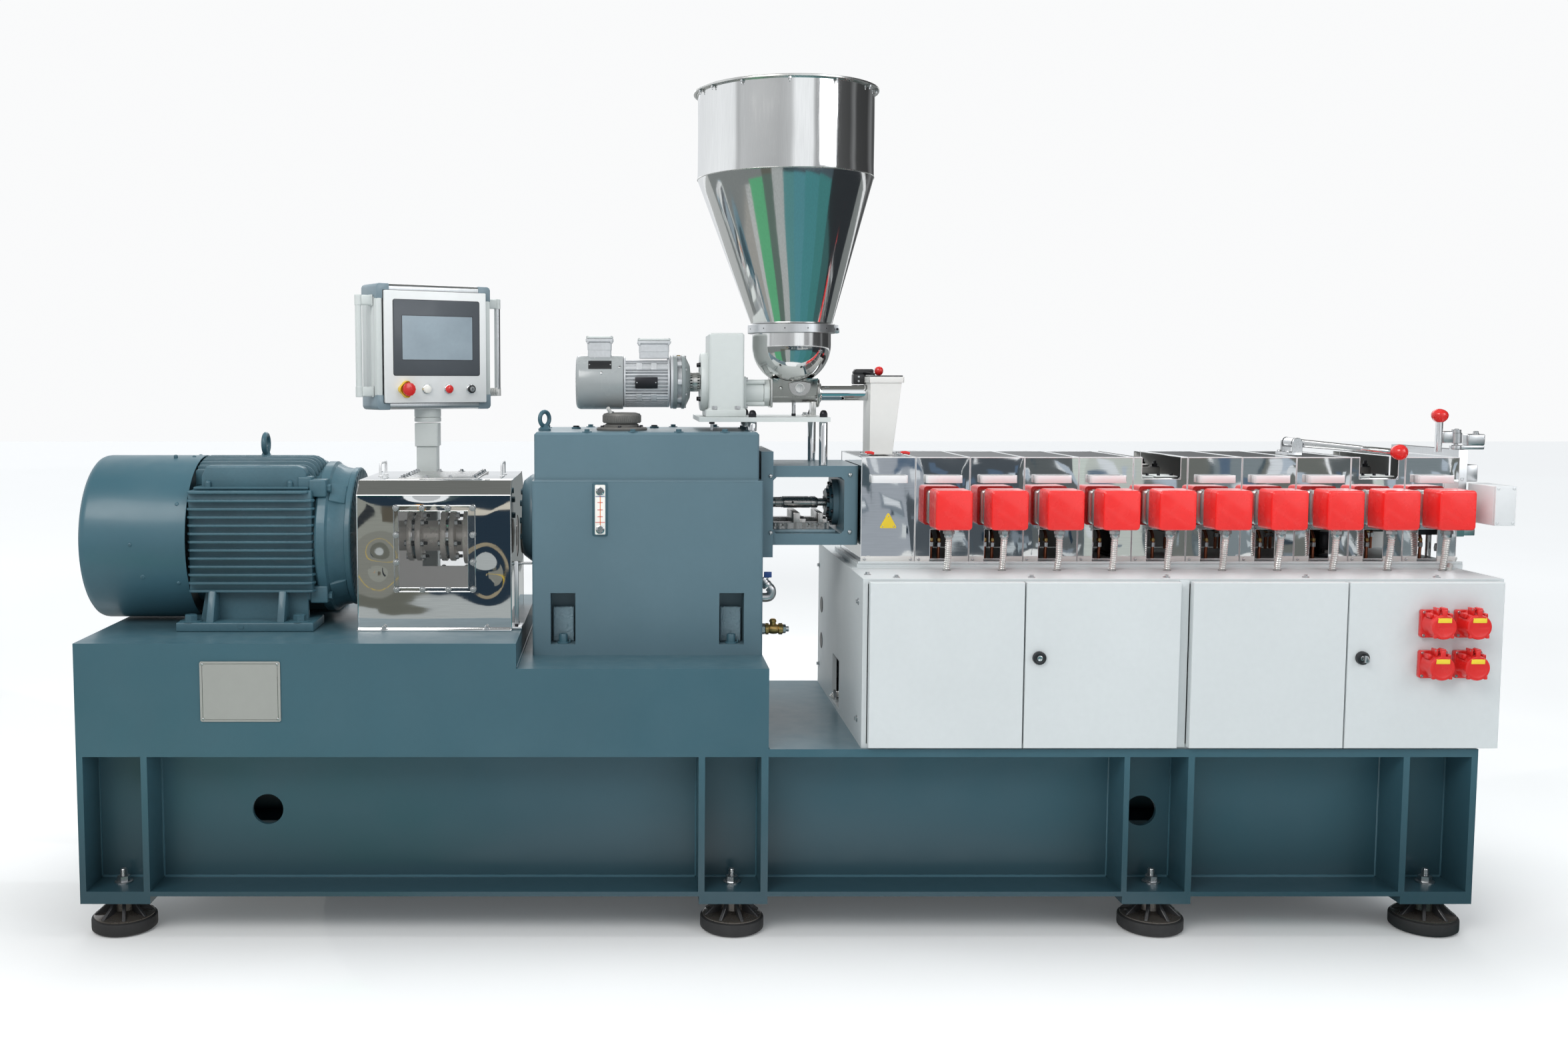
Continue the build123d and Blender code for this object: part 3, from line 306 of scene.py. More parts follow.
class Piece:
    """Collects closed shapes, in millimetres in the row frame, into one mesh object."""

    def __init__(self, name, body, slot, mats):
        self.name, self.body, self.slot = name, body, slot
        self.mats = list(mats)
        self.v, self.f, self.m = [], [], []

    def mat(self, material):
        if material is None:
            return 0
        if material not in self.mats:
            self.mats.append(material)
        return self.mats.index(material)

    def add(self, verts, faces, material=None, M=None):
        o = len(self.v)
        k = self.mat(material)
        if M is not None:
            verts = [M @ Vector(v) for v in verts]
        self.v.extend((v[0], v[1], v[2]) for v in verts)
        for f in faces:
            self.f.append([i + o for i in f])
            self.m.append(k)
        return self

    def bm(self, b, material=None, M=None):
        b.verts.index_update()
        self.add([tuple(v.co) for v in b.verts], [[v.index for v in f.verts] for f in b.faces], material, M)
        b.free()
        return self

    def block(self, x0, x1, y0, y1, z0, z1, b=1.5, material=None, M=None, seg=2):
        """A box with rounded edges."""
        g = bmesh.new()
        bmesh.ops.create_cube(g, size=1.0)
        sx, sy, sz = abs(x1 - x0), abs(y1 - y0), abs(z1 - z0)
        for v in g.verts:
            v.co = Vector(((x0 + x1) / 2 + v.co.x * sx, (y0 + y1) / 2 + v.co.y * sy, (z0 + z1) / 2 + v.co.z * sz))
        b = min(b, sx * 0.45, sy * 0.45, sz * 0.45)
        if b > 0:
            bmesh.ops.bevel(g, geom=list(g.edges), offset=b, segments=seg, profile=0.5, affect="EDGES")
        return self.bm(g, material, M)

    def prism(self, poly, d0, d1, plane="xz", b=1.0, material=None, M=None, seg=1):
        """A flat polygon given a thickness between d0 and d1 along the plane's normal."""
        g = bmesh.new()

        def pt(a, c, d):
            return {"xz": (a, d, c), "xy": (a, c, d), "yz": (d, a, c)}[plane]

        lo = [g.verts.new(pt(a, c, d0)) for a, c in poly]
        hi = [g.verts.new(pt(a, c, d1)) for a, c in poly]
        g.faces.new(lo)
        g.faces.new(hi[::-1])
        n = len(poly)
        for i in range(n):
            g.faces.new((lo[i], hi[i], hi[(i + 1) % n], lo[(i + 1) % n]))
        bmesh.ops.recalc_face_normals(g, faces=g.faces)
        if b > 0:
            edges = [e for e in g.edges if len(e.link_faces) == 2 and e.calc_face_angle(0) > math.radians(25)]
            bmesh.ops.bevel(g, geom=edges, offset=b, segments=seg, profile=0.5, affect="EDGES")
        return self.bm(g, material, M)

    def lathe(self, profile, M, n=40, material=None, ends=True):
        """Turns (radius, height) pairs about the local Z axis."""
        verts, faces, rings = [], [], []
        for r, h in profile:
            if r < 1e-6:
                rings.append([len(verts)])
                verts.append((0, 0, h))
            else:
                rings.append(list(range(len(verts), len(verts) + n)))
                for i in range(n):
                    a = 2 * math.pi * i / n
                    verts.append((r * math.cos(a), r * math.sin(a), h))
        for a, c in zip(rings, rings[1:]):
            if len(a) == 1 and len(c) == 1:
                continue
            for i in range(n):
                j = (i + 1) % n
                if len(a) == 1:
                    faces.append((a[0], c[i], c[j]))
                elif len(c) == 1:
                    faces.append((a[i], c[0], a[j]))
                else:
                    faces.append((a[i], c[i], c[j], a[j]))
        if ends:
            if len(rings[0]) > 1:
                faces.append(tuple(rings[0]))
            if len(rings[-1]) > 1:
                faces.append(tuple(reversed(rings[-1])))
        return self.add(verts, faces, material, M)

    def ring(self, profile, M, n=40, material=None):
        """Turns a closed loop of (radius, height) pairs, for hollow round shapes."""
        return self.lathe(list(profile) + [profile[0]], M, n, material, ends=False)

    def rod(self, a, c, r, n=20, material=None, b=0.6):
        """A round bar from a to c with eased ends."""
        a, c = Vector(a), Vector(c)
        length = (c - a).length
        b = min(b, r * 0.5, length * 0.3)
        M = Matrix.Translation(a) @ turn(c - a)
        return self.lathe([(r - b, 0), (r, b), (r, length - b), (r - b, length)], M, n, material)

    def ball(self, x, y, z, r, n=28, material=None, flat=1.0, direction=(0, 0, 1)):
        k = max(8, n // 2)
        prof = [(r * math.sin(math.pi * i / k), -r * flat * math.cos(math.pi * i / k)) for i in range(k + 1)]
        prof[0], prof[-1] = (0, prof[0][1]), (0, prof[-1][1])
        return self.lathe(prof, at(x, y, z, direction), n, material)

    def hexa(self, M, af, h, material=None):
        """A hexagon head or nut with chamfered corners, its base at local Z = 0."""
        r = af / math.sqrt(3)
        c = r * 0.12
        return self.lathe([(r, 0), (r, h - c * 0.6), (r - c, h)], M, 6, material)

    def bolt(self, x, y, z, direction, af=18, h=9, washer=True, stud=0.0, material=None, roll=0.0):
        if washer:
            self.lathe([(af * 0.98, 0), (af * 0.98, 1.6), (af * 0.9, 2.2)], at(x, y, z, direction), 24, material)
        M = at(x, y, z, direction, roll) @ Matrix.Translation((0, 0, 2 if washer else 0))
        self.hexa(M, af, h, material)
        if stud:
            r = af * 0.31
            prof = []
            turns = max(3, int(stud / 1.6))
            for i in range(turns):
                h0 = h + stud * i / turns
                prof += [(r, h0), (r * 0.88, h0 + stud * 0.5 / turns)]
            prof += [(r * 0.8, h + stud)]
            self.lathe(prof, M, 14, material)
        return self

    def cap(self, x, y, z, direction, r=6, h=6, material=None, n=20):
        """A round-headed screw with a round recess."""
        M = at(x, y, z, direction)
        self.lathe([(r, 0), (r, h * 0.8), (r * 0.86, h), (r * 0.55, h)], M, n, material, ends=False)
        self.lathe([(r * 0.55, h), (r * 0.5, h * 0.45), (0, h * 0.4)], M, n, material, ends=False)
        return self

    def dome(self, x, y, z, direction, r=6, h=3.5, material=None, n=18):
        """A button-headed screw or rivet."""
        M = at(x, y, z, direction)
        return self.lathe([(r, 0), (r, h * 0.2), (r * 0.88, h * 0.62), (r * 0.6, h * 0.92), (r * 0.3, h),
                           (r * 0.26, h * 0.7), (0, h * 0.68)], M, n, material, ends=False)

    def tube(self, points, r, n=12, material=None, ribs=None, smooth_to=0, closed=False):
        """A tube through points; r may be a function of the distance along it."""
        pts = [Vector(p) for p in points]
        if smooth_to:
            pts = smooth_line(pts, smooth_to, closed)
        total = [0.0]
        for a, c in zip(pts, pts[1:]):
            total.append(total[-1] + (c - a).length)
        if ribs:
            pitch, depth = ribs
            steps = int(total[-1] / pitch * 2)
            pts, total = resample(pts, total, steps)
        radius = r if callable(r) else (lambda s: r)
        verts, faces = [], []
        up = None
        count = len(pts)
        for i, p in enumerate(pts):
            if closed:
                d = (pts[(i + 1) % count] - pts[i - 1]).normalized()
            else:
                d = (pts[min(i + 1, count - 1)] - pts[max(i - 1, 0)]).normalized()
            if up is None:
                up = d.orthogonal().normalized()
            up = (up - d * up.dot(d)).normalized()
            side = d.cross(up)
            rr = radius(total[i])
            if ribs and i % 2:
                rr -= ribs[1]
            for j in range(n):
                a = 2 * math.pi * j / n
                verts.append(p + up * (rr * math.cos(a)) + side * (rr * math.sin(a)))
        last = count if closed else count - 1
        for i in range(last):
            for j in range(n):
                k = (j + 1) % n
                i2 = (i + 1) % count
                faces.append((i * n + j, i * n + k, i2 * n + k, i2 * n + j))
        if not closed:
            faces.append(tuple(reversed(range(n))))
            faces.append(tuple(range((count - 1) * n, count * n)))
        return self.add(verts, faces, material)

    def torus(self, M, R, r, n=36, k=12, material=None):
        verts, faces = [], []
        for i in range(n):
            a = 2 * math.pi * i / n
            for j in range(k):
                c = 2 * math.pi * j / k
                verts.append(((R + r * math.cos(c)) * math.cos(a), (R + r * math.cos(c)) * math.sin(a), r * math.sin(c)))
        for i in range(n):
            for j in range(k):
                i2, j2 = (i + 1) % n, (j + 1) % k
                faces.append((i * k + j, i2 * k + j, i2 * k + j2, i * k + j2))
        return self.add(verts, faces, material, M)

    def done(self, replaces=(), angle=34.0):
        me = bpy.data.meshes.new(self.name)
        me.from_pydata([((x - SHIFT) * MM, y * MM, z * MM) for x, y, z in self.v], [], self.f)
        for mat in self.mats:
            me.materials.append(mat)
        me.polygons.foreach_set("material_index", self.m)
        g = bmesh.new()
        g.from_mesh(me)
        bmesh.ops.recalc_face_normals(g, faces=g.faces)
        g.to_mesh(me)
        g.free()
        me.polygons.foreach_set("use_smooth", [True] * len(me.polygons))
        me.set_sharp_from_angle(angle=math.radians(angle))
        me.validate()
        me.update()
        o = bpy.data.objects.new(self.name, me)
        bpy.context.scene.collection.objects.link(o)
        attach(o, self.body)
        if replaces:
            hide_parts(*replaces)
        return o


def smooth_line(pts, steps, closed=False):
    out = []
    n = len(pts)
    spans = n if closed else n - 1
    for i in range(spans):
        if closed:
            p = [pts[(i + k - 1) % n] for k in range(4)]
        else:
            p = [pts[max(i - 1, 0)], pts[i], pts[i + 1], pts[min(i + 2, n - 1)]]
        for s in range(steps):
            t = s / steps
            out.append(0.5 * ((2 * p[1]) + (p[2] - p[0]) * t + (2 * p[0] - 5 * p[1] + 4 * p[2] - p[3]) * t * t
                              + (3 * p[1] - p[0] - 3 * p[2] + p[3]) * t ** 3))
    if not closed:
        out.append(pts[-1].copy())
    return out


def resample(pts, total, steps):
    out, dist = [], []
    length = total[-1]
    k = 0
    for i in range(steps + 1):
        s = length * i / steps
        while k < len(pts) - 2 and total[k + 1] < s:
            k += 1
        f = (s - total[k]) / max(total[k + 1] - total[k], 1e-9)
        out.append(pts[k].lerp(pts[k + 1], min(max(f, 0), 1)))
        dist.append(s)
    return out, dist


def arc(cx, cy, r, a0, a1, n):
    return [(cx + r * math.cos(math.radians(a0 + (a1 - a0) * i / n)),
             cy + r * math.sin(math.radians(a0 + (a1 - a0) * i / n))) for i in range(n + 1)]


def round_rect(x0, x1, y0, y1, r, n=5):
    return (arc(x1 - r, y1 - r, r, 0, 90, n) + arc(x0 + r, y1 - r, r, 90, 180, n)
            + arc(x0 + r, y0 + r, r, 180, 270, n) + arc(x1 - r, y0 + r, r, 270, 360, n))


def dress(node, material, bevel=0.0, slot=None):
    """Gives a carried-over CAD node its material and eased edges."""
    o = frame["nodes"][node]
    o.data.materials.clear()
    o.data.materials.append(material)
    if bevel:
        mod = o.modifiers.new("eased", "BEVEL")
        mod.width = bevel * MM
        mod.segments = 2
        mod.limit_method = "ANGLE"
        mod.angle_limit = math.radians(40)
        mod.use_clamp_overlap = True
        mod.harden_normals = False
    return o

# ------------------------------------------------------------ base and feet
BED_Z, TOP_Z1, TOP_Z0, FLANGE_Z0, FLANGE_Z1 = 757.0, 488.0, 468.0, 108.0, 120.0
FOOT_X = (-1681.0, -107.0, 978.0, 1687.0)
# the base's nodes take the teal paint with painted shade towards the bottom
for name in ("motor_bed", "gearbox_bed", "base_top", "base_webs", "base_flanges", "base_ribs"):
    dress(name, TEAL_BASE_SHADED_LOW, 2.0)

welds = Piece("base_welds", "frame", "teal_paint", [TEAL])


def bead(a, c, r=4.0):
    a, c = Vector(a), Vector(c)
    steps = max(6, int((c - a).length / 16))
    pts = [a.lerp(c, i / steps) for i in range(steps + 1)]
    pts = [p + Vector((rng.uniform(-0.4, 0.4), rng.uniform(-0.4, 0.4), rng.uniform(-0.4, 0.4))) for p in pts]
    welds.tube(pts, r, n=7)


RIBS = ((-1767, -1751), (-1605, -1589), (-198, -182), (-40, -22), (875, 889), (1036, 1052), (1578, 1594), (1749, 1765))
for x0, x1 in RIBS:
    for y in (-306, 306):
        for x in (x0, x1):
            if -1760 < x < 1758:
                bead((x, y, FLANGE_Z1 + 3), (x, y, TOP_Z0 - 3), 3.5)
for (x0, x1) in zip([r[1] for r in RIBS], [r[0] for r in RIBS][1:]):
    for s in (-1, 1):
        bead((x0 + 3, s * 306, FLANGE_Z1 + 1), (x1 - 3, s * 306, FLANGE_Z1 + 1), 4.0)
        bead((x0 + 3, s * 306, TOP_Z0 - 1), (x1 - 3, s * 306, TOP_Z0 - 1), 3.5)
bead((-657, -416, 693.5), (-657, 416, 693.5), 3.5)
bead((-22, -416, 488.5), (-22, 416, 488.5), 3.5)
welds.done()

feet = Piece("feet", "frame", "black_rubber", [RUBBER, BLACK_CAST, ZINC])
for x in FOOT_X:
    for y in (-345, 345):
        feet.lathe([(66, 0), (76, 1.5), (81.5, 6), (82, 9), (82, 30), (81, 33), (75, 36), (40, 37)],
                   at(x, y, 0), 56, RUBBER)
        feet.lathe([(76, 36), (76, 38.5), (73, 41), (40, 47), (31, 52), (30, 84), (27, 88)], at(x, y, 0), 48, FOOT_IRON)
        for i in range(8):
            a = 2 * math.pi * i / 8 + 0.3
            M = Matrix.Translation((x, y, 0)) @ Matrix.Rotation(a, 4, "Z")
            feet.prism([(26, 36), (74, 36), (74, 42), (46, 66), (36, 84), (26, 84)], -4.5, 4.5, "xz", 1.6, BLACK_CAST, M)
        feet.rod((x, y, 84), (x, y, 107.5), 11, 18, ZINC)
        feet.lathe([(26, 0), (26, 3), (24, 4)], at(x, y, 103.5), 28, ZINC)
        feet.hexa(at(x, y, 90, roll=0.3), 32, 12, ZINC)
feet.done(["foot_pads", "foot_caps"])

bolts = Piece("base_bolts_seen", "frame", "zinc_steel", [ZINC])
for x in FOOT_X:
    for y in (-345, 345):
        bolts.lathe([(23, 0), (23, 3), (21.5, 3.8)], at(x, y, 120), 28)
        bolts.hexa(at(x, y, 123.6, roll=rng.uniform(0, 1)), 29, 14)
        r, prof = 9.2, []
        for i in range(9):
            prof += [(r, i * 2), (r * 0.86, 1 + i * 2)]
        prof += [(r * 0.8, 18.5)]
        bolts.lathe(prof, at(x, y, 137), 18)
for x in (-1528, -1241):
    for s in (-1, 1):
        bolts.bolt(x, s * 222, 781, (0, 0, 1), 30, 16, roll=rng.uniform(0, 1), material=TEAL_CAST)
bolts.done(["base_bolts"])

plate = Piece("bare_plate", "frame", "bare_aluminium", [PLATE])
plate.prism(round_rect(-1450, -1248, 559, 712, 5), -423.4, -420.2, "xz", 0.5, PLATE)
for (x0, x1, z0, z1) in ((-1444, -1254, 564, 565), (-1444, -1254, 706, 707), (-1444, -1443, 565, 706), (-1255, -1254, 565, 706)):
    plate.block(x0, x1, -423.7, -423.2, z0, z1, 0.1, DARK)
for x in (-1443, -1255):
    for z in (566, 705):
        plate.dome(x, -423.2, z, (0, -1, 0), 3.6, 2.2, ZINC)
plate.done(["rating_plate"])

# -------------------------------------------------------------------- motor
MZ = 984.0
motor = Piece("motor_casting", "frame", "teal_paint", [TEAL_CAST])
motor.lathe([(150, 0), (186, 0), (187, 40), (187, 300), (190, 340)], at(-1540, 0, MZ, (1, 0, 0)), 72)
for s in (-1, 1):
    motor.block(-1538, -1212, s * 150 - 44, s * 150 + 44, 852, 1124, 3.0)


def fin(z, y_tip, x0, x1, root, s, thick=7.0):
    y0 = root
    poly = [(x0, s * y0), (x0, s * (y_tip - 8)), (x0 + 8, s * y_tip), (x1 - 18, s * y_tip), (x1 - 6, s * (y_tip - 7)),
            (x1, s * (y_tip - 22)), (x1, s * y0)]
    g_lo = thick / 2
    motor.prism(poly, z - g_lo, z + g_lo, "xy", 1.6, TEAL_CAST, seg=2)


for i in range(13):
    z = 858 + 21.83 * i
    dz = abs(z - MZ)
    for s in (-1, 1):
        fin(z, 214 if 0 < i < 12 else 209, -1538, -1204 if i < 12 else -1216, 186, s, 6.4)
for k, y in enumerate((-114, -94, -74, -54, -34, -12, 12, 34, 54, 74, 94, 114)):
    zt = MZ + math.sqrt(224 ** 2 - y * y)
    right = -1200 - abs(y) * 0.12
    poly = [(-1538, MZ + 150), (-1538, zt - 6), (-1532, zt), (right - 46, zt)] + \
        [(right - 46 + 40 * math.sin(math.radians(a)), zt - 40 + 40 * math.cos(math.radians(a))) for a in (20, 40, 60, 80)] + \
        [(right, MZ + 150)]
    motor.prism(poly, y - 3.2, y + 3.2, "xz", 1.4, TEAL_CAST, seg=2)
for s in (-1, 1):
    y0, y1 = (-160, -118) if s < 0 else (118, 160)
    motor.prism([(-1508, 1112), (-1229, 1112), (-1229, 1166), (-1237, 1182), (-1254, 1188), (-1494, 1188), (-1508, 1160)],
                s * 148 - 22, s * 148 + 22, "xz", 4.0, TEAL_CAST, seg=3)
    motor.prism([(-1526, 1126), (-1222, 1126), (-1222, 1133), (-1526, 1133)], s * 148 - 36, s * 148 + 36, "xz", 2.0, TEAL_CAST)
    for x in (-1489, -1272):
        motor.rod((x, s * 173, 1130), (x, s * 173, 1143), 7.5, 16)
        motor.ball(x, s * 173, 1143, 7.5, 16)
motor.lathe([(22, 0), (22, 8), (19, 12)], at(-1376, 0, MZ + 198), 28)
for s in (-1, 1):
    y0, y1 = (-250, -110) if s < 0 else (110, 250)
    motor.block(-1560, -1200, y0, y1, BED_Z + 0.2, BED_Z + 24, 3.0, seg=3)
    motor.prism(round_rect(-1398, -1382, 765, 777, 5), s * 250.6 - 0.6, s * 250.6 + 0.6, "xz", 0.3)
    motor.prism([(-1515, BED_Z + 22), (-1228, BED_Z + 22), (-1228, 862), (-1500, 862)], s * 168 - 8, s * 168 + 8, "xz", 2.0)
    for x in (-1474, -1288):
        poly = [(s * 120, BED_Z + 22), (s * 243, BED_Z + 22), (s * 222, 832), (s * 212, 860), (s * 120, 860)]
        motor.prism(poly, x - 10, x + 10, "yz", 3.0, seg=2)
# end shield with its four lugs, the bell tapering to a round flange
motor.lathe([(150, 0), (203, 0), (207, 5), (207, 26), (200, 32), (160, 32)], at(-1204, 0, MZ, (1, 0, 0)), 72)
for sy in (-1, 1):
    for sz in (-1, 1):
        y, z = sy * 152, MZ + sz * 142
        motor.block(-1222, -1176, y - 26, y + 26, z - 20, z + 26, 4.0, seg=3)
        motor.block(-1252, -1214, y - 22, y + 22, z - 14, z + 34, 5.0, seg=3)
        motor.bolt(-1176, y + sy * 6, z + sz * 2, (1, 0, 0), 20, 10, washer=False)
bell = [(150, 0), (200, 0), (197, 6), (191, 18), (188, 34), (187, 42), (190, 44), (190, 56), (187, 59), (176, 60)]
motor.lathe(bell, at(-1172, 0, MZ, (1, 0, 0)), 84)
for a in (48, 132, 228, 312):
    M = Matrix.Translation((0, 0, MZ)) @ Matrix.Rotation(math.radians(a), 4, "X")
    motor.prism([(-1172, 150), (-1172, 203), (-1140, 192), (-1130, 188), (-1130, 150)], -30, 30, "xz", 3.0, TEAL_CAST, M, seg=2)
# 48 dark teal bars on the end shield's face stand for its vent slots: painted shade
for i in range(48):
    a = 2 * math.pi * i / 48
    M = Matrix.Translation((0, 0, MZ)) @ Matrix.Rotation(a, 4, "X")
    motor.block(-1113.5, -1111.2, -3.4, 3.4, 150, 183, 0.8, TEAL_SLOT_SHADE, M, seg=1)
cowl_at = at(-1826, 0, MZ, (1, 0, 0))
motor.lathe([(0, 7), (40, 7), (44, 4), (150, 4), (153, 6), (190, 6), (196, 2), (204, 0.5), (214, 3), (220, 8), (223, 15),
             (224, 24), (224, 284), (223.5, 286), (221, 286), (220.5, 278), (220, 248), (180, 246)], cowl_at, 96, TEAL)
for ring_r in (62, 86, 110, 134, 170):
    motor.torus(at(-1822, 0, MZ, (1, 0, 0)), ring_r, 2.4, 64, 8, TEAL)
for i in range(16):
    a = 2 * math.pi * i / 16
    M = Matrix.Translation((0, 0, MZ)) @ Matrix.Rotation(a, 4, "X")
    motor.block(-1824.5, -1819, -3, 3, 46, 148, 1.0, TEAL, M)
for a in (8, 62, 118, 172, 188, 242, 298, 352, 90):
    y, z = -math.cos(math.radians(a - 90)) * 223.5, math.sin(math.radians(a - 90)) * 223.5
    d = (0, y / 223.5, z / 223.5)
    motor.dome(-1566 if a != 90 else -1684, y, MZ + z, d, 5.5, 3.2, TEAL_CAST)
motor.cap(-1612, -math.sin(math.radians(12)) * 223.5, MZ + math.cos(math.radians(12)) * 223.5,
          (0, -math.sin(math.radians(12)), math.cos(math.radians(12))), 5.5, 8, TEAL_CAST)
motor.dome(-1658, -205, MZ - 88, (0, -0.92, -0.39), 7, 2.2, TEAL_CAST)
motor.done(["motor_body", "motor_ends"])

eyes = Piece("lifting_eyes", "frame", "zinc_steel", [TEAL_CAST])
eyes.lathe([(20, 0), (20, 6), (14, 10), (10, 18), (9, 34)], at(-1376, 0, 1197 + 0.5), 28)
eyes.torus(at(-1376, 0, 1240, (1, 0, 0)), 25, 7.4, 44, 14)
eyes.lathe([(17, 0), (17, 5), (12, 9), (8, 16)], at(-600, -100, 1279.3), 26)
eyes.torus(at(-600, -100, 1311, (-math.sin(math.radians(52)), math.cos(math.radians(52)), 0)), 19, 5.8, 40, 12)
eyes.done(["eye_bolts"])

# ----------------------------------------------------------------- coupling
# coupling parts in the lightened, glowing steel: painted light
cp = Piece("coupling_parts", "coupling", "dark_steel", [COUPLING_STEEL_GLOWING, BLACKENED, ZINC])
cx = at(0, 0, MZ, (1, 0, 0))
cp.lathe([(28, -1110.5), (29, -1108.5), (29, -1062), (40, -1060), (42, -1057), (42, -984), (50, -982), (69, -981.5), (70, -980),
          (70, -970.5), (69, -969), (30, -969)], cx, 72)
cp.lathe([(30, -959), (69, -959), (70, -957.5), (70, -946), (69, -944.5), (48, -944), (42, -938), (42, -896), (48, -890.5),
          (69, -890), (70, -888.5), (70, -876.5), (69, -875), (30, -875)], cx, 72)
cp.lathe([(30, -866), (69, -866), (70, -864.5), (70, -853.5), (69, -852), (50, -852), (44, -848), (44, -828), (77, -827),
          (78, -825), (78, -812), (77, -810), (50, -809), (50, -762), (48, -760), (29, -759), (29, -684), (28, -682.5)], cx, 72)
for x0, x1 in ((-969, -959), (-875, -866)):
    for k in range(4):
        w = (x1 - x0) / 4
        cp.lathe([(40, x0 + k * w + 0.2), (59 - (k % 2) * 1.5, x0 + k * w + 0.2), (59 - (k % 2) * 1.5, x0 + (k + 1) * w - 0.2),
                  (40, x0 + (k + 1) * w - 0.2)], cx, 48, CHROME)
for xa, xb, sgn in ((-944, -982, 1), (-852, -890, 1)):
    for i in range(6):
        a = 2 * math.pi * (i + 0.25) / 6
        y, z = 57 * math.cos(a), MZ + 57 * math.sin(a)
        cp.bolt(xa, y, z, (1, 0, 0), 15, 9, washer=False, material=ZINC)
        cp.rod((xa + 8, y, z), (xa + 19, y, z), 4.6, 12, BLACKENED)
        cp.bolt(xb, y, z, (-1, 0, 0), 14, 7, washer=False, material=ZINC)
        cp.rod((xb + 12, y, z), (xb + 24, y, z), 7.5, 14, BLACKENED)
cp.done(["main_coupling"])

# -------------------------------------------------------------------- guard
GX0, GX1 = -1088.0, -682.0
guard = Piece("guard_sheet", "frame", "mirror_steel", [MIRROR])


def sheet_frame(piece, x0, x1, z0, z1, hx0, hx1, hz0, hz1, y0, y1, material=None, b=0.4):
    """A flat sheet facing Y with a rectangular hole."""
    g = bmesh.new()
    out = [(x0, z0), (x1, z0), (x1, z1), (x0, z1)]
    hole = [(hx0, hz0), (hx1, hz0), (hx1, hz1), (hx0, hz1)]
    rings = []
    for pts, y in ((out, y0), (hole, y0), (out, y1), (hole, y1)):
        rings.append([g.verts.new((x, y, z)) for x, z in pts])
    o0, h0, o1, h1 = rings
    for i in range(4):
        j = (i + 1) % 4
        g.faces.new((o0[i], o0[j], h0[j], h0[i]))
        g.faces.new((o1[i], h1[i], h1[j], o1[j]))
        g.faces.new((o0[i], o1[i], o1[j], o0[j]))
        g.faces.new((h0[i], h0[j], h1[j], h1[i]))
    piece.bm(g, material)


def wavy_sheet(piece, x0, x1, z0, z1, y, n, m, hole, depth, seed, material=None, thick=1.5):
    """A thin sheet facing Y with a rectangular hole and the shallow buckles of hand-bent polished sheet."""
    hx0, hx1, hz0, hz1 = hole
    xs = sorted({x0 + (x1 - x0) * i / n for i in range(n + 1)} | {hx0, hx1})
    zs = sorted({z0 + (z1 - z0) * i / m for i in range(m + 1)} | {hz0, hz1})
    r = random.Random(seed)
    waves = [(r.uniform(0.6, 2.2), r.uniform(0.6, 2.2), r.uniform(0, 6.28), r.uniform(0.4, 1.0)) for _ in range(5)]

    def off(x, z):
        u, w = (x - x0) / (x1 - x0), (z - z0) / (z1 - z0)
        edge = min(1, 6 * u, 6 * (1 - u), 6 * w, 6 * (1 - w))
        dents = 2.2 * math.exp(-((u - 0.10) ** 2 / 0.012 + (w - 0.50) ** 2 / 0.016)) \
            + 2.4 * math.exp(-((u - 0.86) ** 2 / 0.014 + (w - 0.42) ** 2 / 0.018)) \
            - 1.4 * math.exp(-((u - 0.45) ** 2 / 0.020 + (w - 0.97) ** 2 / 0.006))
        return depth * edge * sum(k * math.sin(a * 3.1 * u + c * 3.1 * w + ph) for a, c, ph, k in waves) / 3 + dents * edge

    for side in (0, 1):
        verts, index, faces = [], {}, []
        for i, x in enumerate(xs):
            for k, z in enumerate(zs):
                index[i, k] = len(verts)
                verts.append((x, y + off(x, z) + (thick if side else 0) * (1 if y < 0 else -1), z))
        for i in range(len(xs) - 1):
            for k in range(len(zs) - 1):
                cxm, czm = (xs[i] + xs[i + 1]) / 2, (zs[k] + zs[k + 1]) / 2
                if hx0 < cxm < hx1 and hz0 < czm < hz1:
                    continue
                q = (index[i, k], index[i + 1, k], index[i + 1, k + 1], index[i, k + 1])
                faces.append(q if (side == 0) == (y < 0) else q[::-1])
        # the inner side takes the guard's inside paint, lightened and glowing: painted light
        piece.add(verts, faces, GUARD_IN_GLOWING if side else material)


hole = (-978.0, -796.0, 870.0, 1073.0)
for s in (-1, 1):
    wavy_sheet(guard, GX0, GX1, BED_Z + 3, 1114, s * 223.0, 60, 52, hole, 0.9, 5 + s)
    guard.prism([(s * 224.6, 1114), (s * 185, 1151), (s * 183.5, 1150), (s * 223, 1113)], GX0, GX1, "yz", 0.0)
    guard.block(GX0, GX1, s * 232 - 8, s * 232 + 8, BED_Z + 0.3, BED_Z + 3.5, 0.8)
    guard.tube([(GX0 + 1, s * 224.4, 758), (GX0 + 1, s * 224.4, 1114), (GX0 + 1, s * 185, 1151)], 1.6, 8, CHROME)
    guard.tube([(GX1 - 1, s * 224.4, 758), (GX1 - 1, s * 224.4, 1114), (GX1 - 1, s * 185, 1151)], 1.6, 8, CHROME)
    guard.tube([(GX0 + 1, s * 224.3, 1114), (GX1 - 1, s * 224.3, 1114)], 1.5, 8, CHROME)
    guard.tube([(GX0 + 1, s * 224.8, 762), (GX1 - 1, s * 224.8, 762)], 2.6, 8, CHROME)
guard.block(GX0, GX1, -185, 185, 1149, 1151.6, 0.6)
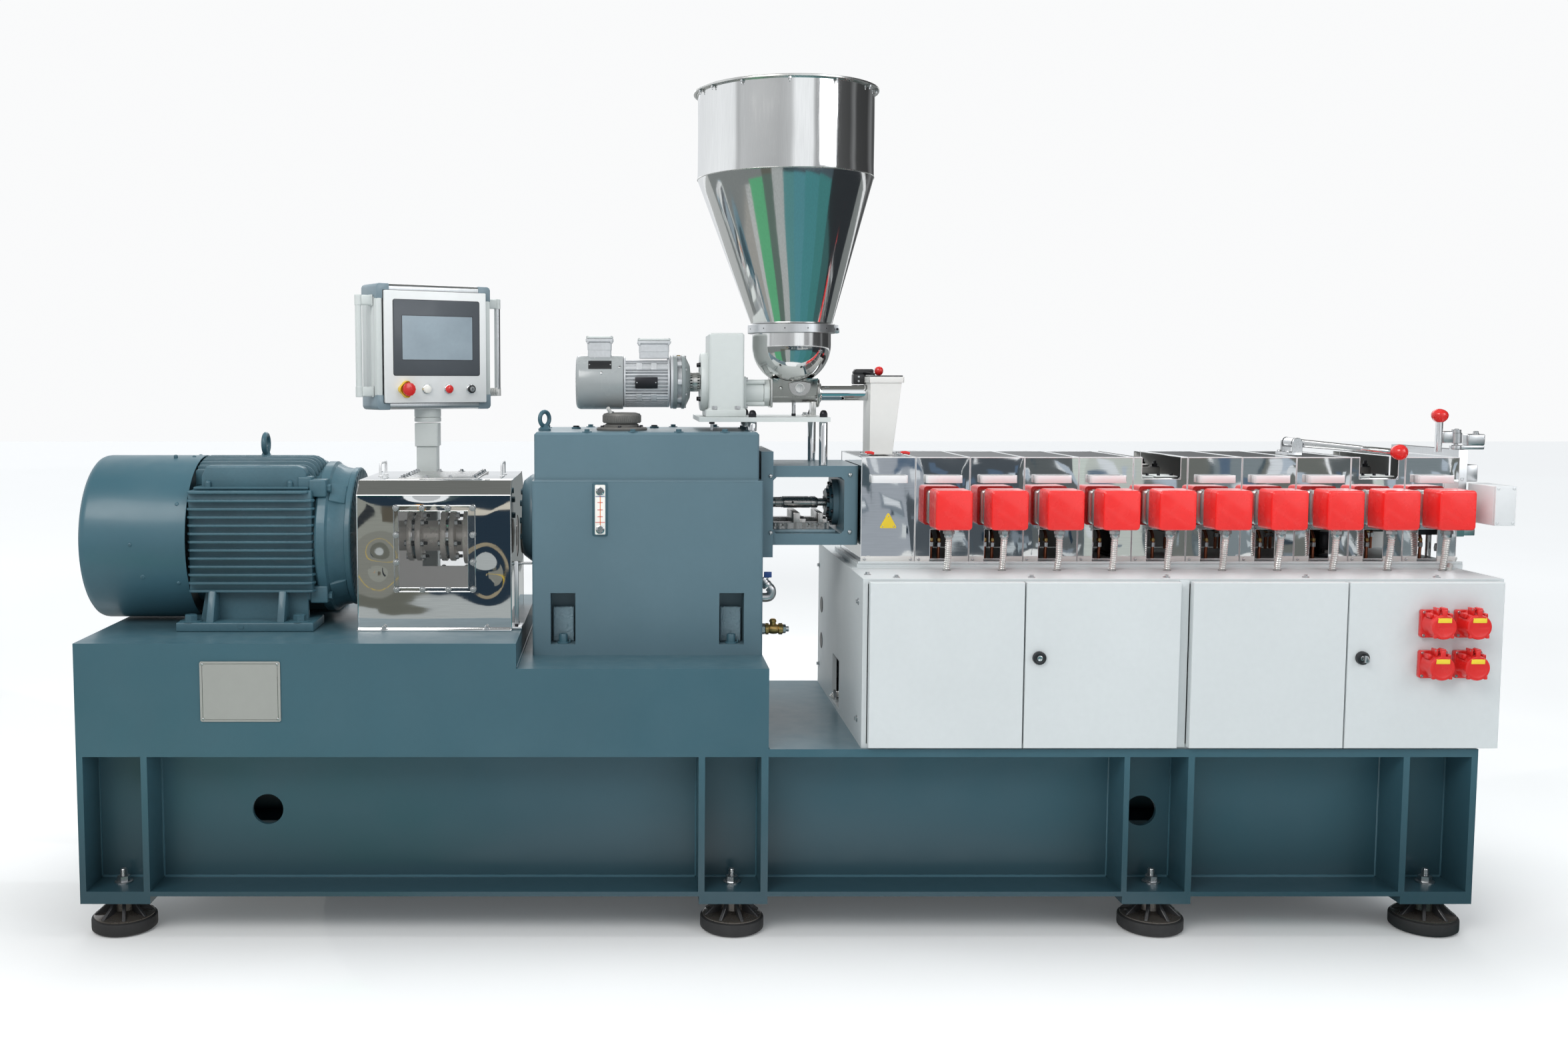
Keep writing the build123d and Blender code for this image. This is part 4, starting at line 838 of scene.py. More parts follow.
for x in (GX0, GX1 - 2):
    poly = [(-224, BED_Z), (-224, 1114), (-184.5, 1150), (184.5, 1150), (224, 1114), (224, BED_Z)]
    g = bmesh.new()
    hub = [(0 + 58 * math.cos(math.radians(a)), MZ + 58 * math.sin(math.radians(a))) for a in range(0, 360, 10)]
    for d in (x, x + 2):
        o = [g.verts.new((d, y, z)) for y, z in poly]
        h = [g.verts.new((d, y, z)) for y, z in hub]
        eo = [g.edges.new((o[i], o[(i + 1) % 6])) for i in range(6)]
        eh = [g.edges.new((h[i], h[(i + 1) % 36])) for i in range(36)]
        bmesh.ops.triangle_fill(g, edges=eo + eh, use_beauty=True)
    guard.bm(g, MIRROR)
guard.block(-990, -775, -150, 150, 1151.4, 1154.4, 0.6, STAINLESS_X)
for i in range(4):
    for y in (-138, 138):
        guard.bolt(-978 + i * 63.5, y, 1154.2, (0, 0, 1), 9.5, 5, material=ZINC, roll=rng.uniform(0, 1))
for y in (-92, -46, 0, 46, 92):
    for x in (-978, -787.5):
        guard.bolt(x, y, 1154.2, (0, 0, 1), 9.5, 5, material=ZINC, roll=rng.uniform(0, 1))
for s in (-1, 1):
    for x in (-984, -916, -848, -783):
        for z in (866, 1081):
            guard.bolt(x, s * 228.6, z, (0, s, 0), 8.5, 4.5, material=ZINC, roll=rng.uniform(0, 1))
    for z in (938, 1010):
        for x in (-984, -783):
            guard.bolt(x, s * 228.6, z, (0, s, 0), 8.5, 4.5, material=ZINC, roll=rng.uniform(0, 1))
    for a, c in (((-990, 860), (-990, 1087)), ((-777, 860), (-777, 1087)), ((-990, 860), (-777, 860)), ((-990, 1087), (-777, 1087))):
        guard.tube([(a[0], s * 228.2, a[1]), (c[0], s * 228.2, c[1])], 0.8, 8, CHROME)
    for a, c in (((-978, 870), (-978, 1073)), ((-796, 870), (-796, 1073)), ((-978, 870), (-796, 870)), ((-978, 1073), (-796, 1073))):
        guard.tube([(a[0], s * 224.8, a[1]), (c[0], s * 224.8, c[1])], 0.9, 8, CHROME)
    for x in (-1018, -748):
        guard.bolt(x, s * 232, BED_Z + 3.4, (0, 0, 1), 10, 6, material=ZINC, roll=0.4)
        guard.rod((x, s * 226, 768), (x, s * 236, 768), 3.5, 12, ZINC)
guard.done(["coupling_guard"])

pane = Piece("guard_panes", "frame", "clear_pane", [CLEAR])
for s in (-1, 1):
    pane.block(-989.5, -777.5, s * 227 - 1.2, s * 227 + 1.2, 860.5, 1086.5, 0.5)
pane.done(["guard_windows"])

handles = Piece("bar_handles", "frame", "chrome", [HANDLE])
for x in (-1053, -721):
    handles.tube([(x, -46, 1152), (x, -46, 1180), (x, -42, 1186), (x, -36, 1188), (x, 36, 1188), (x, 42, 1186), (x, 46, 1180),
                  (x, 46, 1152)], 3.6, 14, smooth_to=4)
    for y in (-46, 46):
        handles.lathe([(7, 0), (7, 2), (4, 3.4)], at(x, y, 1151.8), 18)
SEC_X0, PITCH = 242.0, 144.0
for i in (0, 1, 2, 3, 4, 6, 7, 8, 10):
    xc = SEC_X0 + PITCH * (i + 0.5)
    for s in (-1, 1):
        y1 = s * 178
        path = [(xc - 48, y1 + s * 1), (xc - 48, y1 + s * 18), (xc - 45, y1 + s * 23), (xc - 40, y1 + s * 24),
                (xc + 40, y1 + s * 24), (xc + 45, y1 + s * 23), (xc + 48, y1 + s * 18), (xc + 48, y1 + s * 1)]
        t = 2.0
        inner = [(xc + 44.5, y1 + s * 1), (xc + 44.5, y1 + s * 17), (xc + 42, y1 + s * 20), (xc + 39, y1 + s * 20.5),
                 (xc - 39, y1 + s * 20.5), (xc - 42, y1 + s * 20), (xc - 44.5, y1 + s * 17), (xc - 44.5, y1 + s * 1)]
        handles.prism(path + inner, 1144.5, 1164.5, "xy", 0.7, HANDLE, seg=2)
handles.done(["cover_handles"])
# ------------------------------------------------------------------ gearbox
# gearbox body and lid take the lighter teal copy: painted light
dress("gearbox_body", TEAL_PAINTED_LIGHT, 3.0)
dress("gearbox_lid", TEAL_PAINTED_LIGHT, 1.2)
GEAR_X0, GEAR_X1, GEAR_Y, SPLIT, LID_Z = -627.0, -22.0, 238.0, 1152.0, 1279.0

gb = Piece("gearbox_details", "frame", "teal_paint", [TEAL_PAINTED_LIGHT, TEAL_CAST, TEAL_ROUGH, ZINC])
for s in (-1, 1):
    gb.tube([(GEAR_X0 + 8, s * 231.5, SPLIT + 1), (GEAR_X1 - 14, s * 231.5, SPLIT + 1)], 3.2, 8, TEAL_PAINTED_LIGHT)
    gb.tube([(GEAR_X0 + 6, s * 236.5, SPLIT - 1), (GEAR_X1 - 6, s * 236.5, SPLIT - 1)], 2.2, 8, TEAL_PAINTED_LIGHT)
for x in (-483, -363, -243, -122):
    gb.bolt(x, -214, LID_Z, (0, 0, 1), 13, 6, material=TEAL_CAST, roll=rng.uniform(0, 1))
    gb.bolt(x, 214, LID_Z, (0, 0, 1), 13, 6, material=TEAL_CAST, roll=rng.uniform(0, 1))
for y in (-110, 0, 110):
    gb.bolt(-604, y + 25, LID_Z, (0, 0, 1), 13, 6, material=TEAL_CAST, roll=rng.uniform(0, 1))
    gb.bolt(-50, y, LID_Z, (0, 0, 1), 13, 6, material=TEAL_CAST, roll=rng.uniform(0, 1))


def rough_block(piece, x0, x1, z0, z1, y_front, y_back, s, seed):
    """A cast lump at the back of a pocket, with a grainy front."""
    from mathutils import noise as field
    n, m = 22, 30
    verts, faces = [], []
    for i in range(n + 1):
        for k in range(m + 1):
            x, z = x0 + (x1 - x0) * i / n, z0 + (z1 - z0) * k / m
            e = min(i, n - i, k, m - k)
            d = field.noise(Vector((x * 0.35 + seed, 0, z * 0.35))) * 1.7 + field.noise(Vector((x * 0.9, seed, z * 0.9))) * 1.0
            y = y_front - d * (1 if s < 0 else -1) + (0 if e > 0 else (3 if s < 0 else -3))
            verts.append((x, y, z + (field.noise(Vector((x * 0.4, 3, seed))) * 2 if k == m else 0)))
    for i in range(n):
        for k in range(m):
            a = i * (m + 1) + k
            faces.append((a, a + m + 1, a + m + 2, a + 1))
    piece.add(verts, faces, TEAL_ROUGH)
    piece.block(x0 + 1, x1 - 1, min(y_front + (3 if s < 0 else -3), y_back), max(y_front + (3 if s < 0 else -3), y_back),
                z0, z1 - 1, 2.0, TEAL_ROUGH)


for x0, x1 in ((-576, -517), (-133, -74)):
    for s in (-1, 1):
        rough_block(gb, x0 + 2, x1 - 2, 722.5, 815, s * 196, s * 169, s, x0 * 0.1 + s)
        xc = (x0 + x1) / 2
        gb.lathe([(16, 0), (16, 3), (15, 4)], at(xc, s * 217, 722.2), 28, TEAL_CAST)
        gb.cap(xc, s * 217, 726, (0, 0, 1), 11.5, 21, TEAL_CAST, 28)
        gb.block(xc + 15, xc + 19, s * 217 - 3, s * 217 + 3, 722.4, 733, 0.8, TEAL_CAST)
gb.done()

# input side bearing housing, in the lighter teal copy that paints light into its shade
cov = Piece("bearing_housings", "frame", "teal_paint", [TEAL_PAINTED_LIGHT, TEAL_CAST, DARK, TEAL_SLOT_SHADE])
left = at(0, 0, MZ + 50, (-1, 0, 0))
cov.lathe([(60, 627), (120, 627), (120.5, 629), (120.5, 640), (118, 644), (104, 662), (101, 663), (60, 663)], left, 84, TEAL_PAINTED_LIGHT)
for i in range(10):
    a = 2 * math.pi * i / 10
    cov.bolt(-663, 78 * math.cos(a), MZ + 50 + 78 * math.sin(a), (-1, 0, 0), 14, 7, washer=False, material=TEAL_CAST)
cov.lathe([(30, 0), (50, 0), (50, 4), (46, 8), (30, 9)], at(-663, 0, MZ, (-1, 0, 0)), 48, DARK)
SZ, SY = 1078.0, 18.0


def twin_plate(piece, x0, x1, r_out, material, bores=15.2, n=64):
    """A round plate with two bores for the screws' shafts."""
    g = bmesh.new()
    for k, x in enumerate((x0, x1)):
        edges = []
        loops = [(0, 0, r_out, n), (-SY, 0, bores, 28), (SY, 0, bores, 28)]
        for cy, cz, r, m in loops:
            vs = [g.verts.new((x, cy + r * math.cos(2 * math.pi * i / m), SZ + cz + r * math.sin(2 * math.pi * i / m)))
                  for i in range(m)]
            edges += [g.edges.new((vs[i], vs[(i + 1) % m])) for i in range(m)]
        bmesh.ops.triangle_fill(g, edges=edges, use_beauty=True)
    g.verts.ensure_lookup_table()
    total = n + 56
    start = 0
    for m in (n, 28, 28):
        for i in range(m):
            j = (i + 1) % m
            g.faces.new((g.verts[start + i], g.verts[start + j], g.verts[total + start + j], g.verts[total + start + i]))
        start += m
    piece.bm(g, material)


# the lantern disc in the lighter teal copy: painted light in the lantern's shade
twin_plate(cov, 186.5, 201.5, 63.5, TEAL_PAINTED_LIGHT)
twin_plate(cov, 178, 186.5, 47, TEAL_CAST)
twin_plate(cov, 171.5, 178, 38, TEAL_CAST)
for i in range(8):
    a = 2 * math.pi * (i + 0.5) / 8
    cov.cap(186.5, 55 * math.cos(a), SZ + 55 * math.sin(a), (-1, 0, 0), 4.6, 6, BLACKENED)
for y, z in ((-41, 8), (-38, -16), (-34, 24), (-26, -34), (41, 8), (38, -16), (34, 24), (26, -34)):
    cov.bolt(178, y, SZ + z, (-1, 0, 0), 10, 7, washer=False, material=BLACKENED)
cov.done(["bearing_covers"])

fit = Piece("gearbox_fittings_seen", "frame", "zinc_steel", [ALU, CREAM, ZINC, BRASS, BLUE, BLACK, RED_PLASTIC, ORANGE, STAINLESS])
# oil gauge: surround, clear strip with marks, two nuts
fit.prism(round_rect(-469, -428, 1007, 1149, 6), -239.4, -237.5, "xz", 0.8, TEAL, seg=2)
fit.prism(round_rect(-464.5, -432.5, 1011, 1145, 4), -243.0, -239.0, "xz", 0.8, TEAL_CAST, seg=2)
fit.prism(round_rect(-462, -435, 1013, 1143, 3), -247.0, -242.0, "xz", 1.0, CREAM, seg=2)
fit.block(-449.3, -447.2, -247.6, -246.6, 1034, 1116, 0.2, ORANGE)
for z, mat, w in ((1113, BLUE, 12.6), (1097, RED_PLASTIC, 7), (1078, RED_PLASTIC, 7), (1060, RED_PLASTIC, 7), (1045, RED_PLASTIC, 12.6)):
    fit.block(-448.5 - w, -448.5 + w, -247.8, -246.6, z - 0.8, z + 0.8, 0.2, mat)
for z in (1026, 1127):
    fit.lathe([(11.5, 0), (11.5, 1.5), (10.5, 2)], at(-448.5, -247, z, (0, -1, 0)), 24, CHROME)
    fit.lathe([(9.5, 1.5), (10, 3), (9.5, 7.5), (7.5, 9), (4, 9)], at(-448.5, -247, z, (0, -1, 0)), 30, CHROME)
# breather on the lid
bx, by = -392, -60
fit.lathe([(0, 0), (68, 0), (69, 2), (69, 5), (66, 8), (50, 10)], at(bx, by, LID_Z + 0.3), 64, CAP_METAL)
fit.lathe([(46, 8), (46, 16), (42, 18), (42, 22)], at(bx, by, LID_Z), 56, CAP_METAL)
prof = [(40, 20), (50, 21), (51.5, 24), (51.5, 42), (49, 46), (38, 49), (0, 50)]
fit.lathe(prof, at(bx, by, LID_Z - 1), 72, CAP_METAL)
for i in range(60):
    a = 2 * math.pi * i / 60
    M = Matrix.Translation((bx, by, LID_Z)) @ Matrix.Rotation(a, 4, "Z")
    fit.block(50.4, 52.6, -1.1, 1.1, 22.5, 41, 0.5, CAP_METAL, M, seg=1)
for i in range(6):
    a = 2 * math.pi * (i + 0.4) / 6
    fit.cap(bx + 58 * math.cos(a), by + 58 * math.sin(a), LID_Z + 7.5, (0, 0, 1), 4.8, 6, BLACKENED)
fit.tube([(bx - 28, by - 24, LID_Z + 44), (bx - 34, by - 30, LID_Z + 54), (bx - 38, by - 34, LID_Z + 62)], 5.5, 12, GALVANISED,
         ribs=(3.0, 0.9))
fit.hexa(at(bx - 27, by - 23, LID_Z + 42, (-0.4, -0.35, 0.85)), 16, 7, ZINC)
# two plugs on the lid
for x, y in ((-520, 60), (-300, 120)):
    fit.lathe([(13, 0), (13, 4), (12, 5)], at(x, y, LID_Z), 28, TEAL_CAST)
    fit.cap(x, y, LID_Z + 4, (0, 0, 1), 9, 5, BLACKENED, 24)
# elbow with ball valve and a brass valve, on the right side
fit.tube([(-22, -120, 829), (0, -120, 829), (9, -120, 833), (13, -120, 842), (11, -120, 852), (5, -119, 858)], 12.5, 20, ALU, smooth_to=4)
fit.lathe([(15, 0), (16, 2), (16, 7), (15, 9)], at(-22, -120, 829, (1, 0, 0)), 32, ALU)
fit.lathe([(13, 0), (14, 2), (14, 10), (12, 12), (12, 18), (14, 20), (14, 26), (12, 28)], at(3, -119, 858, (-0.55, 0.1, 0.83)), 28, ZINC)
fit.ball(-6, -117.5, 872, 12, 24, ZINC)
fit.rod((-2, -122, 876), (1, -126, 890), 3.6, 14, ZINC)
fit.hexa(at(-1, -124, 883, (0.2, -0.25, 0.95)), 10, 4, ZINC)
fit.block(-9, 12, -131, -127, 884, 900, 2.5, BLUE, seg=3)
fit.tube([(-22, -120, 743), (-12, -120, 743)], 13, 24, ZINC)
fit.hexa(at(-14, -120, 743, (1, 0, 0)), 26, 10, ZINC)
fit.lathe([(12, 0), (14, 1), (14, 8), (11.5, 9.5), (13.5, 16), (14, 22), (13.5, 30), (11.5, 35), (14, 36), (14, 46), (12.5, 48)],
          at(-4, -120, 743, (1, 0, 0)), 30, BRASS)
fit.hexa(at(-3, -120, 743, (1, 0, 0)), 27, 9, BRASS)
fit.hexa(at(33, -120, 743, (1, 0, 0)), 27, 10, BRASS)
fit.hexa(at(44, -120, 743, (1, 0, 0)), 21, 8, ZINC)
fit.rod((50, -120, 743), (60, -120, 743), 7.5, 18, ZINC)
fit.lathe([(7, 0), (8, 1), (8, 8), (9.5, 9), (10, 12), (8, 16), (5, 18)], at(17, -120, 753, (0, 0, 1)), 24, BRASS)
# sensor bracket between guard and gearbox
fit.block(-677.5, -666.5, -188, -178, BED_Z + 8, 936, 1.6, ALU_SATIN)
fit.block(-686, -656, -218, -150, BED_Z + 0.3, BED_Z + 8, 1.6, ALU_SATIN)
for y in (-208, -160):
    fit.cap(-671, y, BED_Z + 8, (0, 0, 1), 4.5, 6, BLACKENED)
fit.rod((-684, -183, 930), (-630, -183, 930), 3.2, 16, ZINC)
fit.hexa(at(-667, -183, 930, (1, 0, 0)), 10, 5, ZINC)
fit.hexa(at(-683, -183, 930, (1, 0, 0)), 10, 5, ZINC)
fit.done(["gearbox_fittings"])

# ------------------------------------------------------------------ lantern
# the lantern in the lighter teal copy: painted light
dress("lantern", TEAL_PAINTED_LIGHT, 1.6)
lan = Piece("lantern_details", "frame", "teal_paint", [TEAL, TEAL_ROUGH, ZINC, DARK])
for s in (-1, 1):
    for x, z in ((3, 1161), (217, 1163), (217, 1010), (4, 1010)):
        y = s * (170 if x < 10 else 150)
        lan.dome(x, y, z, (0, s, 0), 5.6, 4.2, ZINC, 22)
lan.block(14, 184, -120, 120, 1005.3, 1012, 1.5, TEAL_ROUGH)
for s in (-1, 1):
    pts = []
    for x in range(20, 171, 2):
        w = 1.6 * math.cos((x - 25) / 23.5 * 2 * math.pi)
        pts.append((x, s * 96 - s * w))
    pts += [(170, s * 62), (20, s * 62)]
    lan.prism(pts, 1012, 1030, "xy", 0.8, SHAFT)
    for x in list(range(27, 66, 13)) + list(range(112, 152, 13)):
        lan.lathe([(4.6, 0), (4.2, -5), (0, -5.2)], at(x, s * 97.6, 1024, (0, s, 0)), 16, BLACK, ends=False)
        lan.torus(at(x, s * 97.6, 1024, (0, s, 0)), 4.8, 0.8, 16, 6, SHAFT)
lan.done()

shaft = None
for name, body, y in (("screw_shaft_front", "screw_front", -SY), ("screw_shaft_rear", "screw_rear", SY)):
    shaft = Piece(name + "_seen", body, "dark_steel", [SHAFT, DARK, STAINLESS])
    sx = at(0, y, SZ, (1, 0, 0))
    shaft.lathe([(8.4, 49), (9, 50), (9, 225), (8.4, 226)], sx, 40, SHAFT)
    shaft.lathe([(9, -15.5), (12.6, -15), (12.6, 30), (9, 31)], sx, 36, SHAFT)
    for i in range(14):
        a = 2 * math.pi * i / 14
        M = Matrix.Translation((0, y, SZ)) @ Matrix.Rotation(a, 4, "X")
        shaft.block(31, 53, -1.3, 1.3, 8, 12.6, 0.5, SHAFT, M, seg=1)
    shaft.lathe([(8, 31), (11, 31.5), (11, 52), (8, 53)], sx, 36, SHAFT)
    shaft.lathe([(9, 53), (13.6, 53), (14.5, 55), (14.5, 126), (13.6, 126.6), (13.6, 130), (14.5, 130.6), (14.5, 145),
                 (13, 147.5), (9, 148)], sx, 48, SHAFT)
    shaft.torus(at(50, y, SZ, (1, 0, 0)), 12.8, 1.2, 36, 8, ZINC)
    shaft.cap(78, y - 14.2, SZ + 2, (0, -1, 0), 3.2, 0.9, BLACKENED, 14)
    shaft.done([name])

# blocks that hold the lantern's cover and barrel feet are in the barrel's supports
sup = Piece("barrel_supports_seen", "frame", "dark_steel", [DARK, BLACKENED, STAINLESS])
for i in (1, 5, 9):
    x = SEC_X0 + PITCH * i
    sup.block(x - 20, x + 20, -60, 60, 931.3, 941, 2, BLACKENED)
    sup.block(x - 14, x + 14, -48, 48, 941, SZ - 82, 2, BLACKENED)
    sup.block(x - 20, x + 20, -60, 60, SZ - 84, SZ - 75.2, 2, BLACKENED)
    for y in (-54, 54):
        sup.bolt(x, y, 941, (0, 0, 1), 15, 8)
for x0, x1 in ((73, 107), (140, 166)):
    sup.block(x0, x0 + (x1 - x0) * 0.55, -92, 60, 1012.3, 1056, 2.0, SHAFT)
    sup.block(x0 + (x1 - x0) * 0.5, x1, -92, 60, 1012.3, 1040, 2.0, SHAFT)
    sup.cap(x0 + (x1 - x0) * 0.78, -70, 1040, (0, 0, 1), 4.5, 5, BLACKENED)
    sup.cap(x0 + (x1 - x0) * 0.78, 40, 1040, (0, 0, 1), 4.5, 5, BLACKENED)
sup.done(["barrel_supports"])
# ---------------------------------------------------------- barrel and covers
dress("barrel", DARK, 1.2)
COVER_Y, COVER_Z0, COVER_Z1, VENTS = 178.0, 931.0, 1212.0, (5, 9)

bd = Piece("barrel_details", "frame", "dark_steel", [DARK, BLACKENED, ZINC, COPPER, FEEDER, STAINLESS])
for i in range(1, 11):
    x = SEC_X0 + PITCH * i
    for s in (-1, 1):
        for z in (SZ - 52, SZ, SZ + 52):
            bd.bolt(x + 26, s * 68, z, (1, 0, 0), 11, 7, washer=False, material=BLACKENED)
            bd.bolt(x - 26, s * 68, z, (-1, 0, 0), 11, 7, washer=False, material=BLACKENED)
for i in VENTS:
    xc = SEC_X0 + PITCH * (i + 0.5)
    for dx in (-32, 32):
        for y in (-46, 46):
            bd.bolt(xc + dx, y, SZ + 100, (0, 0, 1), 13, 8, material=BLACKENED, stud=8)
    bd.lathe([(20, 0), (30, 0), (32, 2), (32, 5), (30, 6), (22, 6)], at(xc, 0, SZ + 100), 40, STAINLESS)
    for s in (-1, 1):
        bd.block(xc - 68, xc - 12, s * 120 - 42, s * 120 + 42, 1156, 1160, 1.2, FEEDER)
        bd.block(xc - 6, xc + 52, s * 120 - 42, s * 120 + 42, 1157, 1161, 1.2, FEEDER)
        for dx in (-56, -24, 6, 40):
            bd.cap(xc + dx, s * 146, 1161, (0, 0, 1), 4, 6, BLACKENED)
        bd.block(xc - 64, xc + 50, s * 120 - 40, s * 120 + 40, 1138, 1155.5, 2, STAINLESS)
for i in range(1, 11):
    x0 = SEC_X0 + PITCH * i
    for s in (-1, 1):
        for dx, h in ((56, 1006), (74, 1014)):
            x, y = x0 + dx, s * (118 + (dx - 56) * 0.6)
            bd.tube([(x, y, 934), (x, y, 960), (x + 2, y, 980), (x + 1, y - s * 10, h - 8), (x, y - s * 26, h)], 4.2, 12, COPPER,
                    smooth_to=4)
            bd.hexa(at(x + 0.5, y - s * 2, 968, (0.02, 0, 1)), 14, 12, ZINC)
            bd.hexa(at(x + 0.5, y - s * 2, 983, (0.02, 0, 1)), 12, 8, BRASS)
        bd.block(x0 + 34, x0 + 110, s * 132 - 4, s * 132 + 4, 1024, 1058, 1.5, BLACKENED)
        bd.block(x0 + 20, x0 + 124, s * 70 - 4, s * 70 + 4, SZ - 60, SZ + 60, 2.0, BLACKENED)
bd.done()


def sheet(piece, x0, x1, z0, z1, y, hole, notch, seed, s, material=None, depth=0.35, thick=1.2):
    """One cover's front or back sheet: a window near the bottom, perhaps a notch at the top, and shallow buckles."""
    xs = sorted({x0 + (x1 - x0) * i / 16 for i in range(17)} | set(hole[:2] if hole else ()) | set(notch[:2] if notch else ()))
    zs = sorted({z0 + (z1 - z0) * i / 16 for i in range(17)} | set(hole[2:] if hole else ()) | ({notch[2]} if notch else set()))
    r = random.Random(seed)
    waves = [(r.uniform(0.5, 1.6), r.uniform(0.5, 2.0), r.uniform(0, 6.28), r.uniform(0.4, 1.0)) for _ in range(5)]
    lean = r.uniform(-0.25, 0.25)

    def off(x, z):
        u, w = (x - x0) / (x1 - x0), (z - z0) / (z1 - z0)
        edge = min(1, 7 * u, 7 * (1 - u), 7 * w, 7 * (1 - w))
        return depth * edge * (sum(k * math.sin(a * 3.1 * u + c * 3.1 * w + ph) for a, c, ph, k in waves) / 2.5 + lean * (u - 0.5))

    def gone(cx, cz):
        if hole and hole[0] < cx < hole[1] and hole[2] < cz < hole[3]:
            return True
        return bool(notch and notch[0] < cx < notch[1] and cz > notch[2])

    for inner in (0, 1):
        verts, index, faces = [], {}, []
        for i, x in enumerate(xs):
            for k, z in enumerate(zs):
                index[i, k] = len(verts)
                verts.append((x, y + off(x, z) - s * inner * thick, z))
        for i in range(len(xs) - 1):
            for k in range(len(zs) - 1):
                if gone((xs[i] + xs[i + 1]) / 2, (zs[k] + zs[k + 1]) / 2):
                    continue
                q = (index[i, k], index[i + 1, k], index[i + 1, k + 1], index[i, k + 1])
                faces.append(q)
        piece.add(verts, faces, CHUTE_SHEET if inner and s > 0 else material)
    # pale strips round the window and the notch: painted highlight of the cut edges
    rim = []
    if hole:
        rim = [(hole[0], hole[2]), (hole[0], hole[3]), (hole[1], hole[3]), (hole[1], hole[2])]
        for a, c in zip(rim, rim[1:] + rim[:1]):
            piece.block(min(a[0], c[0]) - 0.5, max(a[0], c[0]) + 0.5, y - 0.9, y + 0.9, min(a[1], c[1]) - 0.5,
                        max(a[1], c[1]) + 0.5, 0.3, PALE_PAINT_AND_EDGE_HIGHLIGHT, seg=1)
    if notch:
        for a, c in (((notch[0], notch[2]), (notch[1], notch[2])), ((notch[0], notch[2]), (notch[0], z1)),
                     ((notch[1], notch[2]), (notch[1], z1))):
            piece.block(min(a[0], c[0]) - 0.6, max(a[0], c[0]) + 0.6, y - 1.0, y + 1.0, min(a[1], c[1]) - 0.6,
                        max(a[1], c[1]) + 0.6, 0.3, PALE_PAINT_AND_EDGE_HIGHLIGHT, seg=1)
        for (cx, sg) in ((notch[0], 1), (notch[1], -1)):
            pts = [(cx, notch[2]), (cx + sg * 12, notch[2])]
            pts += [(cx + sg * (12 - 12 * math.sin(math.radians(a))), notch[2] + 12 - 12 * math.cos(math.radians(a)))
                    for a in (15, 30, 45, 60, 75)] + [(cx, notch[2] + 12)]
            piece.prism(pts, y - 0.6, y + 0.6, "xz", 0.1, material)


covers = Piece("cover_sheets", "frame", "mirror_steel", [MIRROR, PALE_PAINT_AND_EDGE_HIGHLIGHT, CHUTE_SHEET])
for i in range(11):
    x0 = SEC_X0 + PITCH * i + 0.6
    x1 = x0 + PITCH - 1.2
    hole = (x0 + 40, x0 + 92, 941, 1020) if i > 0 else None
    notch = (x0 + 22, x1 - 18, 1153) if i in VENTS else None
    sheet(covers, x0, x1, COVER_Z0 + 0.5, COVER_Z1 - 0.8, -177.2, hole, notch, 11 + i, -1)
    sheet(covers, x0, x1, COVER_Z0 + 0.5, COVER_Z1 - 0.8, 177.2, None, notch, 41 + i, 1)
    spans = [(x0, x1)] if i not in VENTS else [(x0, x0 + 22), (x1 - 18, x1)]
    for a, c in spans:
        n = 8 if c - a > 60 else 2
        verts, faces = [], []
        r = random.Random(90 + i)
        ph = r.uniform(0, 6)
        for u in range(n + 1):
            for w in range(17):
                x, y = a + (c - a) * u / n, -177.2 + 354.4 * w / 16
                e = min(1, 6 * u / n, 6 * (1 - u / n), w / 2, (16 - w) / 2)
                verts.append((x, y, 1211.0 - 0.5 * e * (1 + math.sin(y * 0.02 + ph))))
        for u in range(n):
            for w in range(16):
                k = u * 17 + w
                faces.append((k, k + 17, k + 18, k + 1))
        covers.add(verts, faces, MIRROR)
        # pale strips along the top edges: painted highlight of the sheet edges
        for y in (-177.0, 177.0):
            covers.tube([(a, y, 1210.6), (c, y, 1210.6)], 1.4, 8, PALE_PAINT_AND_EDGE_HIGHLIGHT)
    # pale strips along the side edges and across the top: painted highlight of the sheet edges
    for x in (x0 + 0.7, x1 - 0.7):
        for y in (-177.1, 177.1):
            covers.tube([(x, y, COVER_Z0 + 1), (x, y, 1210.5)], 0.9, 8, PALE_PAINT_AND_EDGE_HIGHLIGHT)
        covers.tube([(x, -177, 1211.1), (x, 177, 1211.1)], 0.8, 8, PALE_PAINT_AND_EDGE_HIGHLIGHT)
    covers.block(x0 + 1, x0 + (39 if i else x1 - x0 - 1), -179.2, -177.6, COVER_Z0 + 0.4, COVER_Z0 + 17, 0.5, CHUTE_SHEET)
    if i:
        covers.block(x0 + 93, x1 - 1, -179.2, -177.6, COVER_Z0 + 0.4, COVER_Z0 + 17, 0.5, CHUTE_SHEET)
    for x in ((x0 + 10,) if i else (x0 + 10, x1 - 10)):
        covers.dome(x, -179.1, COVER_Z0 + 9, (0, -1, 0), 4, 2.6, ZINC)
g = bmesh.new()
for x in (243.4, 244.6):
    poly = [(-177, 932), (-177, 1210), (177, 1210), (177, 932)]
    hub = [(76 * math.cos(math.radians(a)), SZ + 76 * math.sin(math.radians(a))) for a in range(0, 360, 10)]
    o = [g.verts.new((x, y, z)) for y, z in poly]
    h = [g.verts.new((x, y, z)) for y, z in hub]
    eo = [g.edges.new((o[k], o[(k + 1) % 4])) for k in range(4)]
    eh = [g.edges.new((h[k], h[(k + 1) % 36])) for k in range(36)]
    bmesh.ops.triangle_fill(g, edges=eo + eh, use_beauty=True)
covers.bm(g, MIRROR)
